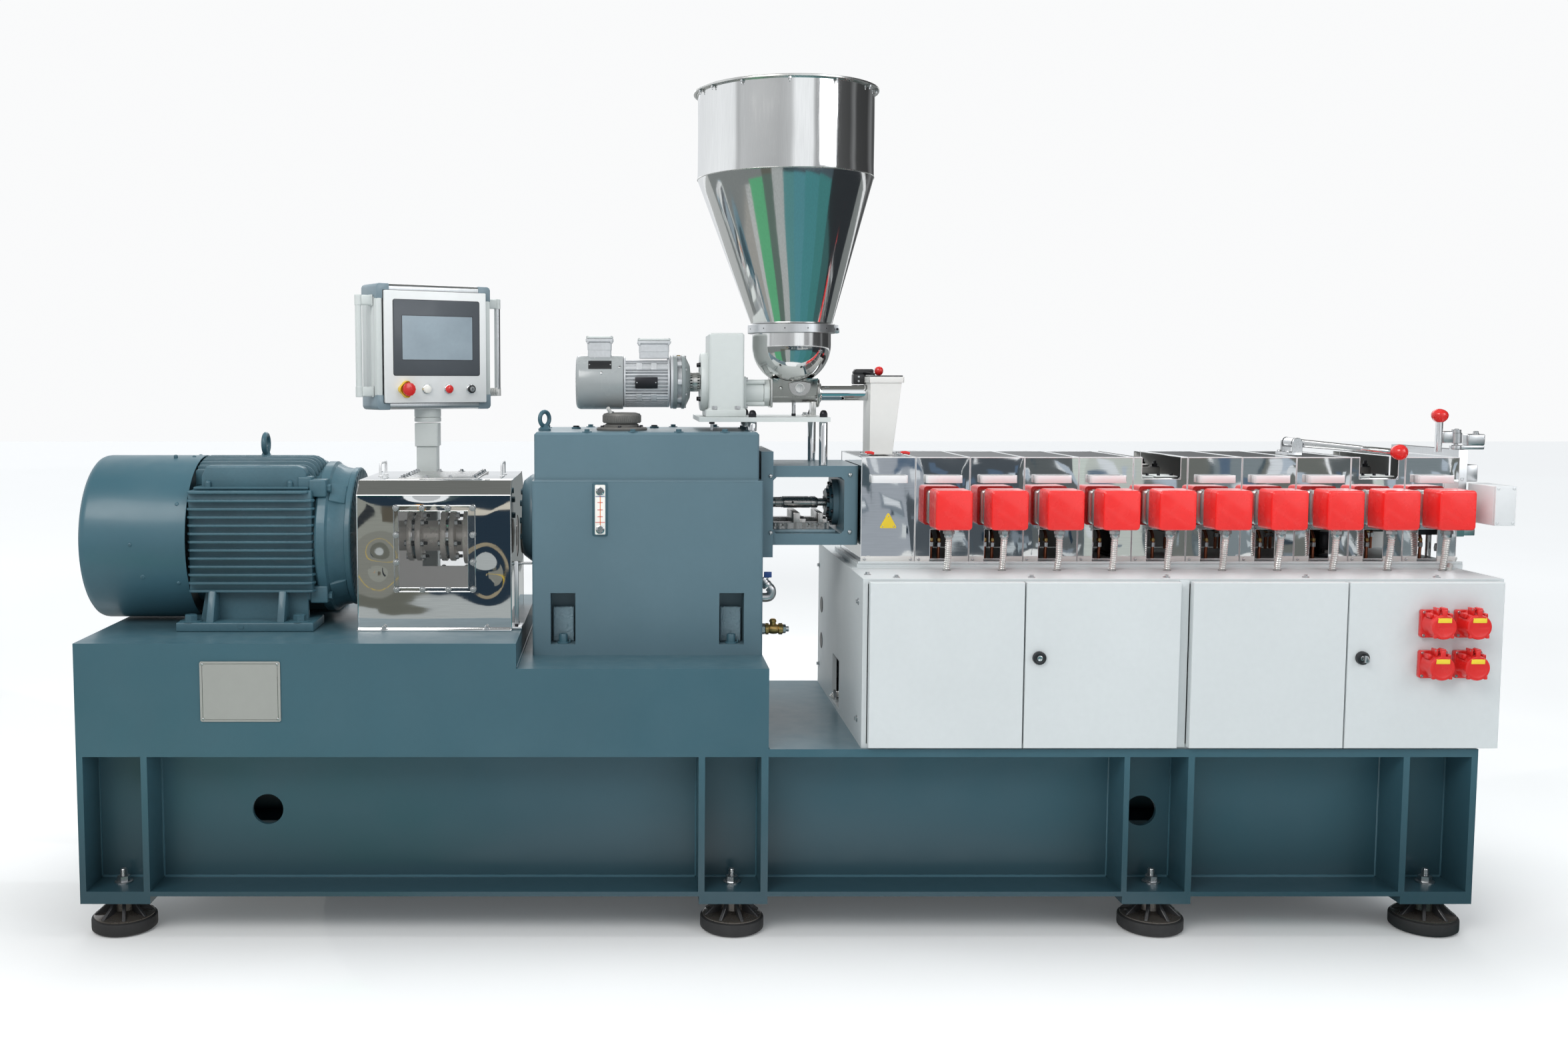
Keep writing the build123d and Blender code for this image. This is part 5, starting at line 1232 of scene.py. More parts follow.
# bare warning-shaped plate and the toggle catches of the first cover
tri = [(295, 1023), (335, 1023), (337, 1026), (317, 1062.5), (313, 1062.5), (293, 1026)]
covers.prism(tri, -179.4, -178.0, "xz", 0.3, YELLOW_TAG)
for x, z in ((300, 1028), (330, 1028), (315, 1055)):
    covers.dome(x, -179.4, z, (0, -1, 0), 1.9, 1.0, ZINC)
for x in (262, 357):
    covers.block(x - 22, x + 2, -168, -146, 1212, 1215, 0.8, ZINC)
    covers.block(x - 20, x - 4, -165, -149, 1215, 1222, 1.5, ZINC)
    covers.rod((x - 12, -170, 1219), (x - 12, -144, 1219), 2.4, 12, ZINC)
    covers.tube([(x - 8, -157, 1222), (x + 6, -157, 1223), (x + 16, -157, 1220)], 4.2, 12, RED_PLASTIC, smooth_to=3)
    covers.bolt(x - 16, -157, 1221, (0, 0, 1), 8, 4, washer=False, material=ZINC)
covers.done(["barrel_covers"])

# ---------------------------------------------------------- heater boxes
RED_X, RED_Z = 464.0, 1080.0
hb = Piece("heater_box_bases", "frame", "stainless", [STAINLESS, ZINC])
for k in range(10):
    x = RED_X + PITCH * k
    hb.prism(round_rect(x - 42, x + 42, 1032, 1123, 9), -214.6, -178.6, "xz", 1.4, STAINLESS, seg=2)
    for dx in (-34, 34):
        for z in (1040, 1115):
            hb.dome(x + dx, -214.6, z, (0, -1, 0), 3, 1.5, ZINC)
    for z in (1120.5, 1034.5):
        hb.dome(x - 30, -196, z + (2.4 if z > 1100 else -2.4), (0, 0, 1 if z > 1100 else -1), 3.4, 2.2, ZINC)
hb.done(["heater_bases"])


def red_cover(piece, xc, zc, y0, y1, w, h):
    """A pressed cover: rounded corners, a softly rounded front edge and a slight draft to the rim."""
    levels = [(y1, 0.0, 9.0), (y1 - 2, 0.0, 9.0), (y0 + 30, -0.4, 9.0), (y0 + 6, -0.7, 9.0), (y0 + 3, -1.2, 9.2),
              (y0 + 1.3, -2.2, 9.4), (y0 + 0.4, -3.4, 9.0), (y0, -5.0, 8.0)]
    verts, faces, n = [], [], None
    for y, grow, r in levels:
        loop = round_rect(xc - w / 2 - grow, xc + w / 2 + grow, zc - h / 2 - grow, zc + h / 2 + grow, r, 7)
        n = len(loop)
        verts += [(a, y, c) for a, c in loop]
    rows = len(levels)
    for i in range(rows - 1):
        for j in range(n):
            k = (j + 1) % n
            faces.append((i * n + j, i * n + k, (i + 1) * n + k, (i + 1) * n + j))
    faces.append(tuple(range((rows - 1) * n, rows * n)))
    faces.append(tuple(reversed(range(n))))
    piece.add(verts, faces)


red = Piece("heater_box_covers", "frame", "red_plastic", [RED])
for k in range(10):
    x = RED_X + PITCH * k
    red_cover(red, x, RED_Z, -295.0, -215.2, 96, 104)
red.done(["heater_boxes"], angle=50)

con = Piece("conduits_and_glands", "frame", "stainless", [GALVANISED, ZINC, BLACK])
for k in range(10):
    x = RED_X + PITCH * k - 5
    z = RED_Z - 52
    con.lathe([(11, 0), (12.5, -1), (12.5, -4)], at(x, -255, z), 24, ZINC)
    con.hexa(at(x, -255, z - 12, roll=rng.uniform(0, 1)), 26, 9, ZINC)
    con.lathe([(9.5, 0), (11, 0), (11.6, 1), (11.6, 8), (10.5, 9)], at(x, -255, z - 21), 24, ZINC)
    w = rng.uniform(-1.8, 1.8)
    u = rng.uniform(-2, 2)
    con.tube([(x, -255, z - 18), (x + 0.3, -255, z - 28), (x + w * 0.5, -253 + u, 980), (x + w, -250 + u, 955),
              (x - 1 + w * 0.4, -245, 932), (x - 1, -243, 919)], 9.2, 16, GALVANISED, ribs=(5.6, 1.9), smooth_to=10)
    con.lathe([(9, 0), (10.5, 0), (10.5, 0.8), (9, 1.2)], at(x - 1, -243, 918.9), 28, BLACK)
con.done(["heater_conduits"])

# ---------------------------------------------------------------- cabinet
dress("cabinet_shell", CABINET, 1.6)
for k in (1, 2, 3):
    dress("cabinet_door_%d" % k, CABINET, 0.0)
dress("cabinet_door_4", CABINET, 0.0)
cab = Piece("cabinet_details", "frame", "cabinet_paint", [CABINET, ZINC, BLACK, CABINET_IN, GALVANISED, STAINLESS_X])
for x in (300, 640, 980, 1330, 1660):
    cab.bolt(x, -385, 919, (0, 0, 1), 9, 5, material=ZINC)
    cab.bolt(x, 385, 919, (0, 0, 1), 9, 5, material=ZINC)
cab.bolt(236, -330, 919, (0, 0, 1), 9, 5, material=ZINC)
cab.prism([(214, 919.2), (1813, 919.2), (1813, 921), (214, 921)], -216, -200.4, "xz", 0.5, CABINET)
cab.prism([(232, 931), (1830, 931), (1830, 937), (232, 937)], -203, -200.3, "xz", 0.5, CABINET)
for z, y in ((852, 392), (852, -342), (549, -342), (549, 385)):
    cab.bolt(212, y, z, (-1, 0, 0), 9, 5, material=ZINC)
    cab.bolt(1815, y, z, (1, 0, 0), 9, 5, material=ZINC)
for z in (739, 630):
    cab.lathe([(21, 0), (23.6, 0), (24, 0.6), (24, 1.6), (22, 2.2), (21, 2.2)], at(212.4, 335, z, (-1, 0, 0)), 36, BLACK)
cab.tube([(232, 40, 528), (216, 40, 528), (208, 40, 525), (202, 40, 518)], 9, 14, GALVANISED, ribs=(3.4, 1.0), smooth_to=6)
cab.hexa(at(214, 40, 528, (-1, 0, -0.1)), 24, 8, ZINC)
cab.tube([(1836, -150, 940), (1822, -165, 931), (1800, -195, 926), (1780, -225, 922), (1768, -244, 919)], 9, 14, GALVANISED,
         ribs=(3.4, 1.0), smooth_to=6)
for x in (1014.5,):
    cab.block(1003, 1027, -414.5, -409.5, 492, 915, 1.0, CABINET)
# what is seen when the doors are open: mounting plates
for x0, x1 in ((250, 980), (1046, 1786)):
    cab.block(x0, x1, 386, 392, 520, 890, 1.0, CABINET_IN)
cab.done()


def lock(piece, x, z, y, s, key=False):
    d = (0, s, 0)
    piece.lathe([(15.6, -1.0), (16.8, 0.2), (16.8, 6.5), (15.4, 9.2), (12.4, 9.9), (9.8, 8.8), (0, 8.6)],
                at(x, y, z, d), 40, BLACK, ends=False)
    piece.lathe([(7.0, 8.4), (7.0, 9.8), (5.6, 10.3), (4.2, 9.5), (0, 9.4)], at(x, y, z, d), 28, ZINC, ends=False)
    if key:
        piece.block(x - 3, x + 3, y + s * 10 if s > 0 else y - 26, y + 26 if s > 0 else y - 10, z - 9, z + 9, 2.4, ZINC)
        piece.torus(at(x, y + s * 27, z, (1, 0, 0)), 8, 1.3, 26, 8, ZINC)


for k, (x, keyed) in ((2, (649, False)), (4, (1454, True))):
    lk = Piece("door_%d_lock" % k, "door_%d" % k, "zinc_steel", [ZINC, BLACK])
    lock(lk, x, 724, -435.2, -1, keyed)
    lk.done()
bl = Piece("back_locks", "frame", "zinc_steel", [ZINC, BLACK])
for x in (649, 1454):
    lock(bl, x, 724, 435.2, 1)
bl.done()
for k, (x0, x1) in enumerate(((226, 611), (615, 1000), (1030, 1415), (1419, 1804)), 1):
    lip = Piece("door_%d_inside" % k, "door_%d" % k, "cabinet_paint", [CABINET, BLACK])
    lip.block(x0 + 14, x1 - 14, -412.9, -411.4, 505, 902, 0.6, CABINET)
    lip.done()

# ----------------------------------------------------------- power sockets
so = Piece("power_sockets_seen", "door_4", "red_plastic", [RED_PLASTIC, BLACK, BRASS, YELLOW_TAG, ZINC])
for x in (1626.0, 1712.0):
    for z in (710.0, 812.0):
        y = -435.0
        so.prism(round_rect(x - 35, x + 35, z - 35, z + 35, 6), y - 13.8, y - 0.2, "xz", 1.8, RED_PLASTIC, seg=2)
        so.lathe([(34, 13), (33, 15), (29, 22), (29, 43), (28, 44.6), (22.5, 44.6), (22, 43), (22, 9)], at(x, y, z, (0, -1, 0)), 56,
                 RED_PLASTIC, ends=False)
        so.lathe([(22, 10), (0, 10)], at(x, y, z, (0, -1, 0)), 40, BLACK, ends=False)
        for i in range(5):
            a = math.radians(90 + 72 * i)
            so.rod((x + 12 * math.cos(a), y - 10, z + 12 * math.sin(a)), (x + 12 * math.cos(a), y - 32, z + 12 * math.sin(a)),
                   2.6, 12, BRASS)
        for dx in (-29, 29):
            for dz in (-29, 29):
                so.cap(x + dx, y - 13.6, z + dz, (0, -1, 0), 3.6, 2.4, ZINC, 14)
        for sg in (-1, 1):
            so.block(x + sg * 9.5 - 2.4, x + sg * 9.5 + 2.4, y - 46, y - 20, z + 22, z + 44, 1.4, RED_PLASTIC)
            so.block(x + sg * 24 - 5, x + sg * 24 + 5, y - 40, y - 14, z + 18, z + 30, 2.4, RED_PLASTIC)
        so.rod((x - 12, y - 42, z + 40), (x + 12, y - 42, z + 40), 3, 14, ZINC)
so.done(["power_sockets"])
for k, (x, z) in enumerate(((1626, 812), (1712, 812), (1626, 710), (1712, 710)), 1):
    ld = Piece("socket_lid_%d_seen" % k, "socket_lid_%d" % k, "red_plastic", [RED_PLASTIC, YELLOW_TAG])
    y = -435.0
    ld.lathe([(29.5, 47.6), (31, 48), (31, 52.5), (29.5, 55), (26, 56), (23, 55.4), (20, 54.6), (0, 54.4)], at(x, y, z - 2, (0, -1, 0)), 56)
    ld.block(x - 5.8, x + 5.8, y - 55.5, y - 50.5, z + 18, z + 42, 1.5)
    ld.block(x - 5.8, x + 5.8, y - 52, y - 44, z + 35, z + 46, 2.0)
    ld.lathe([(3.2, -5.8), (5.8, -5.8), (6, -5), (6, 5), (5.8, 5.8), (3.2, 5.8)], at(x, y - 42, z + 40, (1, 0, 0)), 28)
    ld.block(x - 17, x + 17, y - 56.0, y - 54.2, z + 9, z + 21, 0.8, YELLOW_TAG)
    for dx in (-21, 21):
        ld.block(x + dx - 4, x + dx + 4, y - 55.4, y - 47.8, z - 30, z - 20, 2.0)
    ld.done(["socket_lid_%d" % k])
# ------------------------------------------------------------------- feeder
FAZ, TUBE_AZ = 1410.0, 1380.0
SILVER = cast("silver_paint", (0.60, 0.62, 0.64), rough=0.34, lumps=0.25, metallic=0.25, coat=0.35)
COWL = paint("silver_hammer_paint", (0.33, 0.355, 0.36), rough=0.26, peel=0.20, coat=0.5, dust=0.03)
GUNMETAL = paint("grey_hammer_paint", (0.23, 0.265, 0.27), rough=0.30, peel=0.22, coat=0.35, dust=0.04)
dress("feeder_plate", FEEDER, 1.6)

posts = Piece("feeder_posts_seen", "frame", "chrome", [CHROME, BLACKENED])
for y in (-130, 115):
    posts.lathe([(10.6, 0), (11.5, 1), (11.5, 114), (10.6, 116)], at(147, y, 1187.2), 36)
    posts.lathe([(10.6, 0), (11.5, 1), (11.5, 23), (10.6, 24.6)], at(-43, y, 1279.2), 36)
posts.done(["feeder_posts"])
nuts = Piece("feeder_plate_nuts", "frame", "black_cast", [BLACKENED, ZINC])
for x in (147, -43):
    for y in (-130, 115):
        nuts.hexa(at(x, y, 1316.2, roll=0.2), 19, 10, BLACKENED)
        nuts.lathe([(10, 9.6), (9.6, 11), (7.6, 16), (4.4, 18.4), (0, 19)], at(x, y, 1316.2), 24, BLACKENED, ends=False)
for x in (-150, -43):
    nuts.rod((x, -110, 1280), (x, -110, 1304), 4.2, 14, ZINC)
    nuts.hexa(at(x, -110, 1297.6), 13, 6, BLACKENED)
nuts.done()

fg = Piece("feeder_gear_case_seen", "frame", "feeder_paint", [FEEDER, ZINC, BLACKENED, GUNMETAL, STAINLESS, BRASS, SILVER])
# case with eased corners and a bevelled top edge
body = [(-157, -62, -90, 90, 8, 1334), (-157, -62, -90, 90, 8, 1536.5), (-152, -67, -85, 85, 6, 1541.6)]
verts, faces, rows = [], [], []
for x0, x1, y0, y1, r, z in body:
    loop = round_rect(x0, x1, y0, y1, r, 6)
    rows.append(len(loop))
    verts += [(a, c, z) for a, c in loop]
n = rows[0]
for i in range(2):
    for j in range(n):
        k = (j + 1) % n
        faces.append((i * n + j, i * n + k, (i + 1) * n + k, (i + 1) * n + j))
faces.append(tuple(range(2 * n, 3 * n)))
faces.append(tuple(reversed(range(n))))
fg.add(verts, faces, FEEDER)
fg.block(-165, -57, -96, 96, 1316.2, 1336, 2.5, FEEDER, seg=3)
fg.block(-159, -60, -92, 92, 1335, 1339, 1.5, FEEDER)
for x in (-142, -80):
    for y in (-88, 88):
        fg.lathe([(9, 0), (9, 1.6), (8.4, 2)], at(x, y, 1336), 24, ZINC)
        fg.hexa(at(x, y, 1338, roll=rng.uniform(0, 1)), 14, 7.5, ZINC)
# mounting disc
fg.lathe([(79, 0), (80, 1.5), (80, 14), (78, 19), (75, 20.6), (52, 20.6), (50, 18.4), (30, 18.4)], at(-157, 0, FAZ, (-1, 0, 0)), 88, FEEDER)
for i in range(4):
    a = math.radians(45 + 90 * i)
    fg.cap(-177.2, 66 * math.cos(a), FAZ + 66 * math.sin(a), (-1, 0, 0), 6, 6.5, BLACKENED)
# coupling lantern with slots
fg.lathe([(20, 18), (20, 50)], at(-157, 0, FAZ, (-1, 0, 0)), 24, BLACKENED)
fg.lathe([(26.2, 0), (27, 0.8), (27, 11), (26, 12)], at(-184.5, 0, FAZ, (-1, 0, 0)), 48, STAINLESS)
fg.lathe([(26.8, 0), (26.8, 2.0)], at(-196.5, 0, FAZ, (-1, 0, 0)), 48, STAINLESS)
for i in range(20):
    a = 2 * math.pi * i / 20
    for x0, x1 in ((-184.5, -178), (-204.5, -198.5)):
        fg.block(x0, x1, -2.4, 2.4, 22, 26.6, 0.6, STAINLESS,
                 Matrix.Translation((0, 0, FAZ)) @ Matrix.Rotation(a, 4, "X"), seg=1)
for x in (-178.6, -204.4):
    fg.lathe([(23, 0), (27, 0), (27, 1.2), (23, 1.2)], at(x, 0, FAZ, (-1, 0, 0)), 48, STAINLESS)
# reducer: cone, two flanges and the bars between them
fg.lathe([(30, 0), (44, 1.5), (48, 3), (68, 13), (72, 15), (72, 16)], at(-204, 0, FAZ, (-1, 0, 0)), 72, GUNMETAL)
for x0, x1 in ((-220, -229), (-241, -252)):
    fg.lathe([(60, 0), (72.4, 0), (74, 1.2), (74, abs(x1 - x0) - 1.2), (72.4, abs(x1 - x0)), (60, abs(x1 - x0))],
             at(x0, 0, FAZ, (-1, 0, 0)), 80, GUNMETAL)
fg.lathe([(60, 0), (60, 13)], at(-228, 0, FAZ, (-1, 0, 0)), 64, SILVER)
fg.lathe([(66, 0), (72, 0.6), (73, 2), (73, 7), (70, 8.6)], at(-251, 0, FAZ, (-1, 0, 0)), 72, SILVER)
for i in range(8):
    a = math.radians(45 * i)
    M = Matrix.Translation((0, 0, FAZ)) @ Matrix.Rotation(a, 4, "X")
    fg.block(-242, -228, -7, 7, 58, 71, 1.6, SILVER, M)
for i in range(6):
    a = math.radians(30 + 60 * i)
    y, z = 67 * math.cos(a), FAZ + 67 * math.sin(a)
    fg.bolt(-219.6, y, z, (1, 0, 0), 8, 4.5, washer=False, material=ZINC)
    fg.bolt(-251.5, y, z, (-1, 0, 0), 8, 4.5, washer=False, material=ZINC)
fg.rod((-236, 0, 1480), (-236, 0, 1483.6), 5.5, 18, BRASS)
# tube-side housing
fg.prism(round_rect(-45, 45, TUBE_AZ - 45, TUBE_AZ + 45, 9, 4), -62, -53, "yz", 1.2, FEEDER)
fg.lathe([(37, 0), (36.5, 30), (36, 50)], at(-54, 0, TUBE_AZ, (1, 0, 0)), 56, FEEDER)
for s in (-1, 1):
    for w in (-1, 1):
        fg.tube([(-54, s * 30, TUBE_AZ + w * 30), (-2, s * 30, TUBE_AZ + w * 30)], 6.4, 16, FEEDER)
        fg.bolt(-53, s * 37, TUBE_AZ + w * 37, (1, 0, 0), 9, 5, washer=False, material=ZINC)
        fg.bolt(-3.4, s * 31, TUBE_AZ + w * 31, (-1, 0, 0), 7, 4, washer=False, material=ZINC)
octo = [(39.5 * math.cos(math.radians(22.5 + 45 * k)), TUBE_AZ + 39.5 * math.sin(math.radians(22.5 + 45 * k))) for k in range(8)]
fg.prism(octo, -3, 13.6, "yz", 1.4, FEEDER)
fg.done(["feeder_gear_case"])

fm = Piece("feeder_motor_seen", "frame", "cast_paint", [SILVER, GUNMETAL, BLACKENED, ZINC, FEEDER, GREY_PLASTIC, BLACK])
fm.lathe([(0, 0), (60, 0), (60, 128), (0, 128)], at(-261, 0, FAZ, (-1, 0, 0)), 64, SILVER, ends=False)
for i in range(44):
    a = 2 * math.pi * i / 44
    deg = math.degrees(a) % 90
    big = 60 < math.degrees(a) % 360 < 120
    M = Matrix.Translation((0, 0, FAZ)) @ Matrix.Rotation(a - math.pi / 2, 4, "X")
    if not big:
        fm.prism([(-262, 58), (-262, 68.2), (-264, 69.4), (-386, 69.4), (-388, 68), (-388, 58)], -1.1, 1.1, "xz", 0.4, SILVER, M)
for a in (38, 142, 218, 322):
    M = Matrix.Translation((0, 0, FAZ)) @ Matrix.Rotation(math.radians(a - 90), 4, "X")
    fm.block(-386, -264, -9, 9, 60, 67.6, 1.5, SILVER, M)
    for x in (-345, -305):
        fm.block(x - 8, x + 8, -11, 11, 61, 69.6, 1.6, SILVER, M)
        p = M @ Vector((x, 0, 69.2))
        d = (M.to_3x3() @ Vector((0, 0, 1)))
        fm.lathe([(4.4, 0), (4.4, 0.7), (1.6, 0.7)], at(p.x, p.y * 0.985, FAZ + (p.z - FAZ) * 0.985, tuple(d)), 14, BLACKENED)
for x0 in (-388, -268):
    fm.lathe([(61, 0), (68, 0.6), (69.6, 2), (69.6, 5), (68, 6.4), (61, 7)], at(x0, 0, FAZ, (1, 0, 0)), 72, SILVER)
# bare plates with rivets
for x0, x1, z0, z1, r in ((-356, -295, 1393, 1423, 70.0),):
    fm.block(x0, x1, -69.9, -66.5, z0, z1, 0.5, BLACKENED)
    for x in (x0 + 5, x1 - 5):
        fm.dome(x, -69.7, (z0 + z1) / 2, (0, -1, 0), 2.0, 0.3, ZINC)
# fan cowl
fm.lathe([(0, 130.0), (40, 130), (62, 129.6), (69.5, 127.2), (73.8, 122), (75, 116), (75, 4), (74.2, 0.8), (72, 0), (60, 0)],
         at(-388, 0, FAZ, (-1, 0, 0)), 88, COWL)
for k in range(4):
    for i in range(12 + 6 * k):
        a = 2 * math.pi * i / (12 + 6 * k)
        r = 18 + 11 * k
        fm.block(-518.0, -517.6, r * math.cos(a) - 3, r * math.cos(a) + 3, FAZ + r * math.sin(a) - 1.8, FAZ + r * math.sin(a) + 1.8,
                 0.0, BLACK, seg=1)
for a in (-24, 204, 90):
    y, z = 75 * math.cos(math.radians(a)), 75 * math.sin(math.radians(a))
M = Matrix.Translation((0, 0, FAZ)) @ Matrix.Rotation(math.radians(28), 4, "X")
plate = [(-71.0 * math.cos(math.radians(a)) , 71.0 * math.sin(math.radians(a))) for a in range(0, 1)]
for i in range(6):
    a0, a1 = math.radians(28 + i * 3.6), math.radians(28 + (i + 1) * 3.6)
    q = []
    for x in (-483, -420):
        for a in (a0, a1):
            for r in (74.4, 75.6):
                q.append((x, -r * math.cos(a), FAZ + r * math.sin(a)))
    fm.add(q, [(0, 1, 3, 2), (4, 6, 7, 5), (0, 4, 5, 1), (2, 3, 7, 6), (1, 5, 7, 3), (0, 2, 6, 4)], BLACK)
for x, a in ((-480, 39), (-423, 39), (-447, 19), (-398, 33)):
    a = math.radians(a)
    fm.dome(x, -75.0 * math.cos(a), FAZ + 75.0 * math.sin(a), (0, -math.cos(a), math.sin(a)), 3.6 if abs(x + 440) < 45 and a < 0.6 else 2.2,
            0.9, ZINC)
# terminal boxes
for x0, x1, y, z1, zl in ((-486, -420, 34, 1519, 1535), (-345, -263, 38, 1514, 1529)):
    fm.prism(round_rect(x0 + 1, x1 - 1, -y + 1, y - 1, 6, 4), FAZ + 64, z1 - 21, "xy", 1.5, SILVER)
    fm.prism(round_rect(x0, x1, -y, y, 7, 4), z1 - 23, z1, "xy", 1.5, SILVER)
    fm.prism(round_rect(x0 - 5, x1 + 5, -y - 5, y + 5, 8, 4), z1, zl - 7, "xy", 1.5, SILVER)
    fm.prism(round_rect(x0 - 4, x1 + 4, -y - 4, y + 4, 8, 4), zl - 6.2, zl - 0.6, "xy", 2.0, FEEDER, seg=2)
    for x in (x0 + 1, x1 - 1):
        for s in (-1, 1):
            fm.cap(x, s * (y - 1), zl - 2.6, (0, 0, 1), 3.4, 2.4, ZINC, 14)
            fm.rod((x, s * (y + 1), z1 - 3), (x, s * (y + 1), z1 + 1), 3.6, 14, SILVER)
fm.done(["feeder_motor"])

# ------------------------------------------------------------ trough and tube
fb = Piece("feeder_barrel_seen", "frame", "stainless", [MIRROR, STAINLESS, ZINC, BLACKENED, GREY_PLASTIC, BLUE, CHROME])
fb.prism(round_rect(-42, 42, TUBE_AZ - 40, TUBE_AZ + 42, 10, 5), 14, 20, "yz", 1.0, STAINLESS)
sec = [(-46, TUBE_AZ + 40), (-44.6, TUBE_AZ + 36)] + arc(0, TUBE_AZ, 27, 205, 335, 22) + [(44.6, TUBE_AZ + 36), (46, TUBE_AZ + 40)]
half = [(y, z) for y, z in sec]
cols, verts, faces = 25, [], []
for i in range(cols):
    x = 20 + 122 * i / (cols - 1)
    for y, z in half:
        zz, yy = z, y
        top = math.sqrt(max(0.0, 108.6 ** 2 - (x - 74) ** 2 - min(y * y, 108.6 ** 2 - (x - 74) ** 2)))
        if zz > 1511 - top:
            zz = 1511 - top
        verts.append((x, yy, zz))
m = len(half)
for i in range(cols - 1):
    for j in range(m - 1):
        faces.append((i * m + j, (i + 1) * m + j, (i + 1) * m + j + 1, i * m + j + 1))
fb.add(verts, faces, TROUGH)
for a, c in (((21, -45.8, TUBE_AZ + 39.4), (34, -45.6, TUBE_AZ + 35)), ((116, -45.6, TUBE_AZ + 35), (141, -45.8, TUBE_AZ + 39.4))):
    fb.tube([a, c], 1.2, 8, STAINLESS)
for s in (-1, 1):
    fb.tube([(21, s * 24.6, TUBE_AZ - 11), (141, s * 24.6, TUBE_AZ - 11)], 0.9, 8, STAINLESS)
    fb.dome(42, s * 36.0, TUBE_AZ + 12, (0, s, -0.4), 4.5, 3, STAINLESS)
    # bare saddle plate with a plain boss
    pts = [(62, TUBE_AZ + 26), (64, TUBE_AZ + 12), (70, TUBE_AZ + 0), (78, TUBE_AZ - 6), (93, TUBE_AZ - 9), (108, TUBE_AZ - 6),
           (117, TUBE_AZ + 1), (123, TUBE_AZ + 13), (124, TUBE_AZ + 26), (110, TUBE_AZ + 30), (93, TUBE_AZ + 32), (76, TUBE_AZ + 30)]
    d0, d1 = sorted((s * 42.4, s * 45.4))
    fb.prism(pts, d0, d1, "xz", 0.8, TROUGH)
    fb.lathe([(10.5, 0), (13, 0), (13, 0.4), (12, 0.6), (10.5, 0.4)], at(93, s * 45.3, TUBE_AZ + 13, (0, s, 0)), 32, STAINLESS)
for x0 in (142.2, 146.6):
    fb.lathe([(26, 0), (38.6, 0), (40, 1), (40, 2.6), (38.6, 3.6), (26, 3.6)], at(x0, 0, TUBE_AZ, (1, 0, 0)), 64, STAINLESS)
fb.lathe([(33, 0), (33, 2)], at(145, 0, TUBE_AZ, (1, 0, 0)), 48, BLACKENED)
for i in range(6):
    a = math.radians(60 * i + 30)
    fb.bolt(142.2, 34.5 * math.cos(a), TUBE_AZ + 34.5 * math.sin(a), (-1, 0, 0), 7, 4, washer=False, material=ZINC)
fb.lathe([(30, 0), (29, 3), (24, 6), (21.5, 7.4), (21.5, 60), (21.5, 132.4), (20, 133)], at(150, 0, TUBE_AZ, (1, 0, 0)), 64, MIRROR)
fb.rod((82, 0, 1316.3), (82, 0, 1356), 5.2, 18, ZINC)
fb.hexa(at(82, 0, 1316.4), 10.4, 7, BLACKENED)
fb.hexa(at(82, 0, 1346, roll=0.4), 10.4, 7, ZINC)
fb.block(108, 142, -28, 28, 1316.2, 1319.6, 0.8, STAINLESS)
fb.block(128, 131.5, -20, 20, 1318, 1356, 0.8, STAINLESS)
fb.block(131, 141.5, -20, -17, 1318, 1356, 0.8, STAINLESS)
fb.block(131, 141.5, 17, 20, 1318, 1356, 0.8, STAINLESS)
for y in (-20, 20):
    fb.bolt(115, y, 1319.6, (0, 0, 1), 9, 5, material=ZINC)
fb.done(["feeder_barrel"])

# ------------------------------------------------------------------ bowl
HX, HTX, HR = 74.0, 53.0, 239.0
bowl = Piece("feeder_bowl_seen", "frame", "mirror_steel", [MIRROR_V, STAINLESS, BLACKENED])
prof = [(107.6, 30.5)]
prof += [(107.9, 0)] + [(107.9 * math.cos(math.radians(a)), -107.9 * math.sin(math.radians(a))) for a in range(3, 90, 3)] + [(0, -107.9)]
bowl.lathe(prof, at(HX, 0, 1511), 96, MIRROR_V, ends=False)
bowl.lathe([(105.4, 30.5), (105.4, 0)] + [(105.4 * math.cos(math.radians(a)), -105.4 * math.sin(math.radians(a))) for a in range(6, 90, 6)]
           + [(0, -105.4)], at(HX, 0, 1511), 64, STAINLESS, ends=False)
bowl.lathe([(107.9, 30.5), (105.4, 30.5)], at(HX, 0, 1511), 96, STAINLESS, ends=False)
bowl.done(["feeder_bowl"])

clamp = Piece("hopper_clamp_seen", "frame", "stainless", [ALU_SATIN, BLACKENED, STAINLESS, RUBBER])
clamp.ring([(106.4, 0.2), (118.4, 0.2), (119.8, 1.6), (119.8, 23), (118.4, 24.6), (114, 24.6), (112, 22), (106.4, 22)], at(HX, 0, 1542), 96)
clamp.ring([(104, 21), (113, 21), (113.4, 23), (112.4, 24.8), (104, 24.8)], at(HX, 0, 1542), 96, RUBBER)
for i in range(12):
    a = math.radians(15 + 30 * i)
    clamp.lathe([(0, 0.25), (1.7, 0.25), (1.7, -0.5), (0, -0.5)], at(HX + 119.8 * math.cos(a), 119.8 * math.sin(a), 1554,
                (math.cos(a), math.sin(a), 0)), 12, BLACKENED)
clamp.block(HX + 117, HX + 129.6, -15.8, -3, 1543, 1566, 2.2, ALU_SATIN)
clamp.block(HX + 117, HX + 129.6, 3, 15.8, 1543, 1566, 2.2, ALU_SATIN)
clamp.rod((HX + 124, -15.9, 1554), (HX + 124, 15.9, 1554), 4, 16, BLACKENED)
clamp.done(["hopper_clamp"])

# ------------------------------------------------------------------ hopper
hop = Piece("hopper_seen", "frame", "mirror_steel", [MIRROR_V, STAINLESS, ZINC])
N, verts, faces = 128, [], []


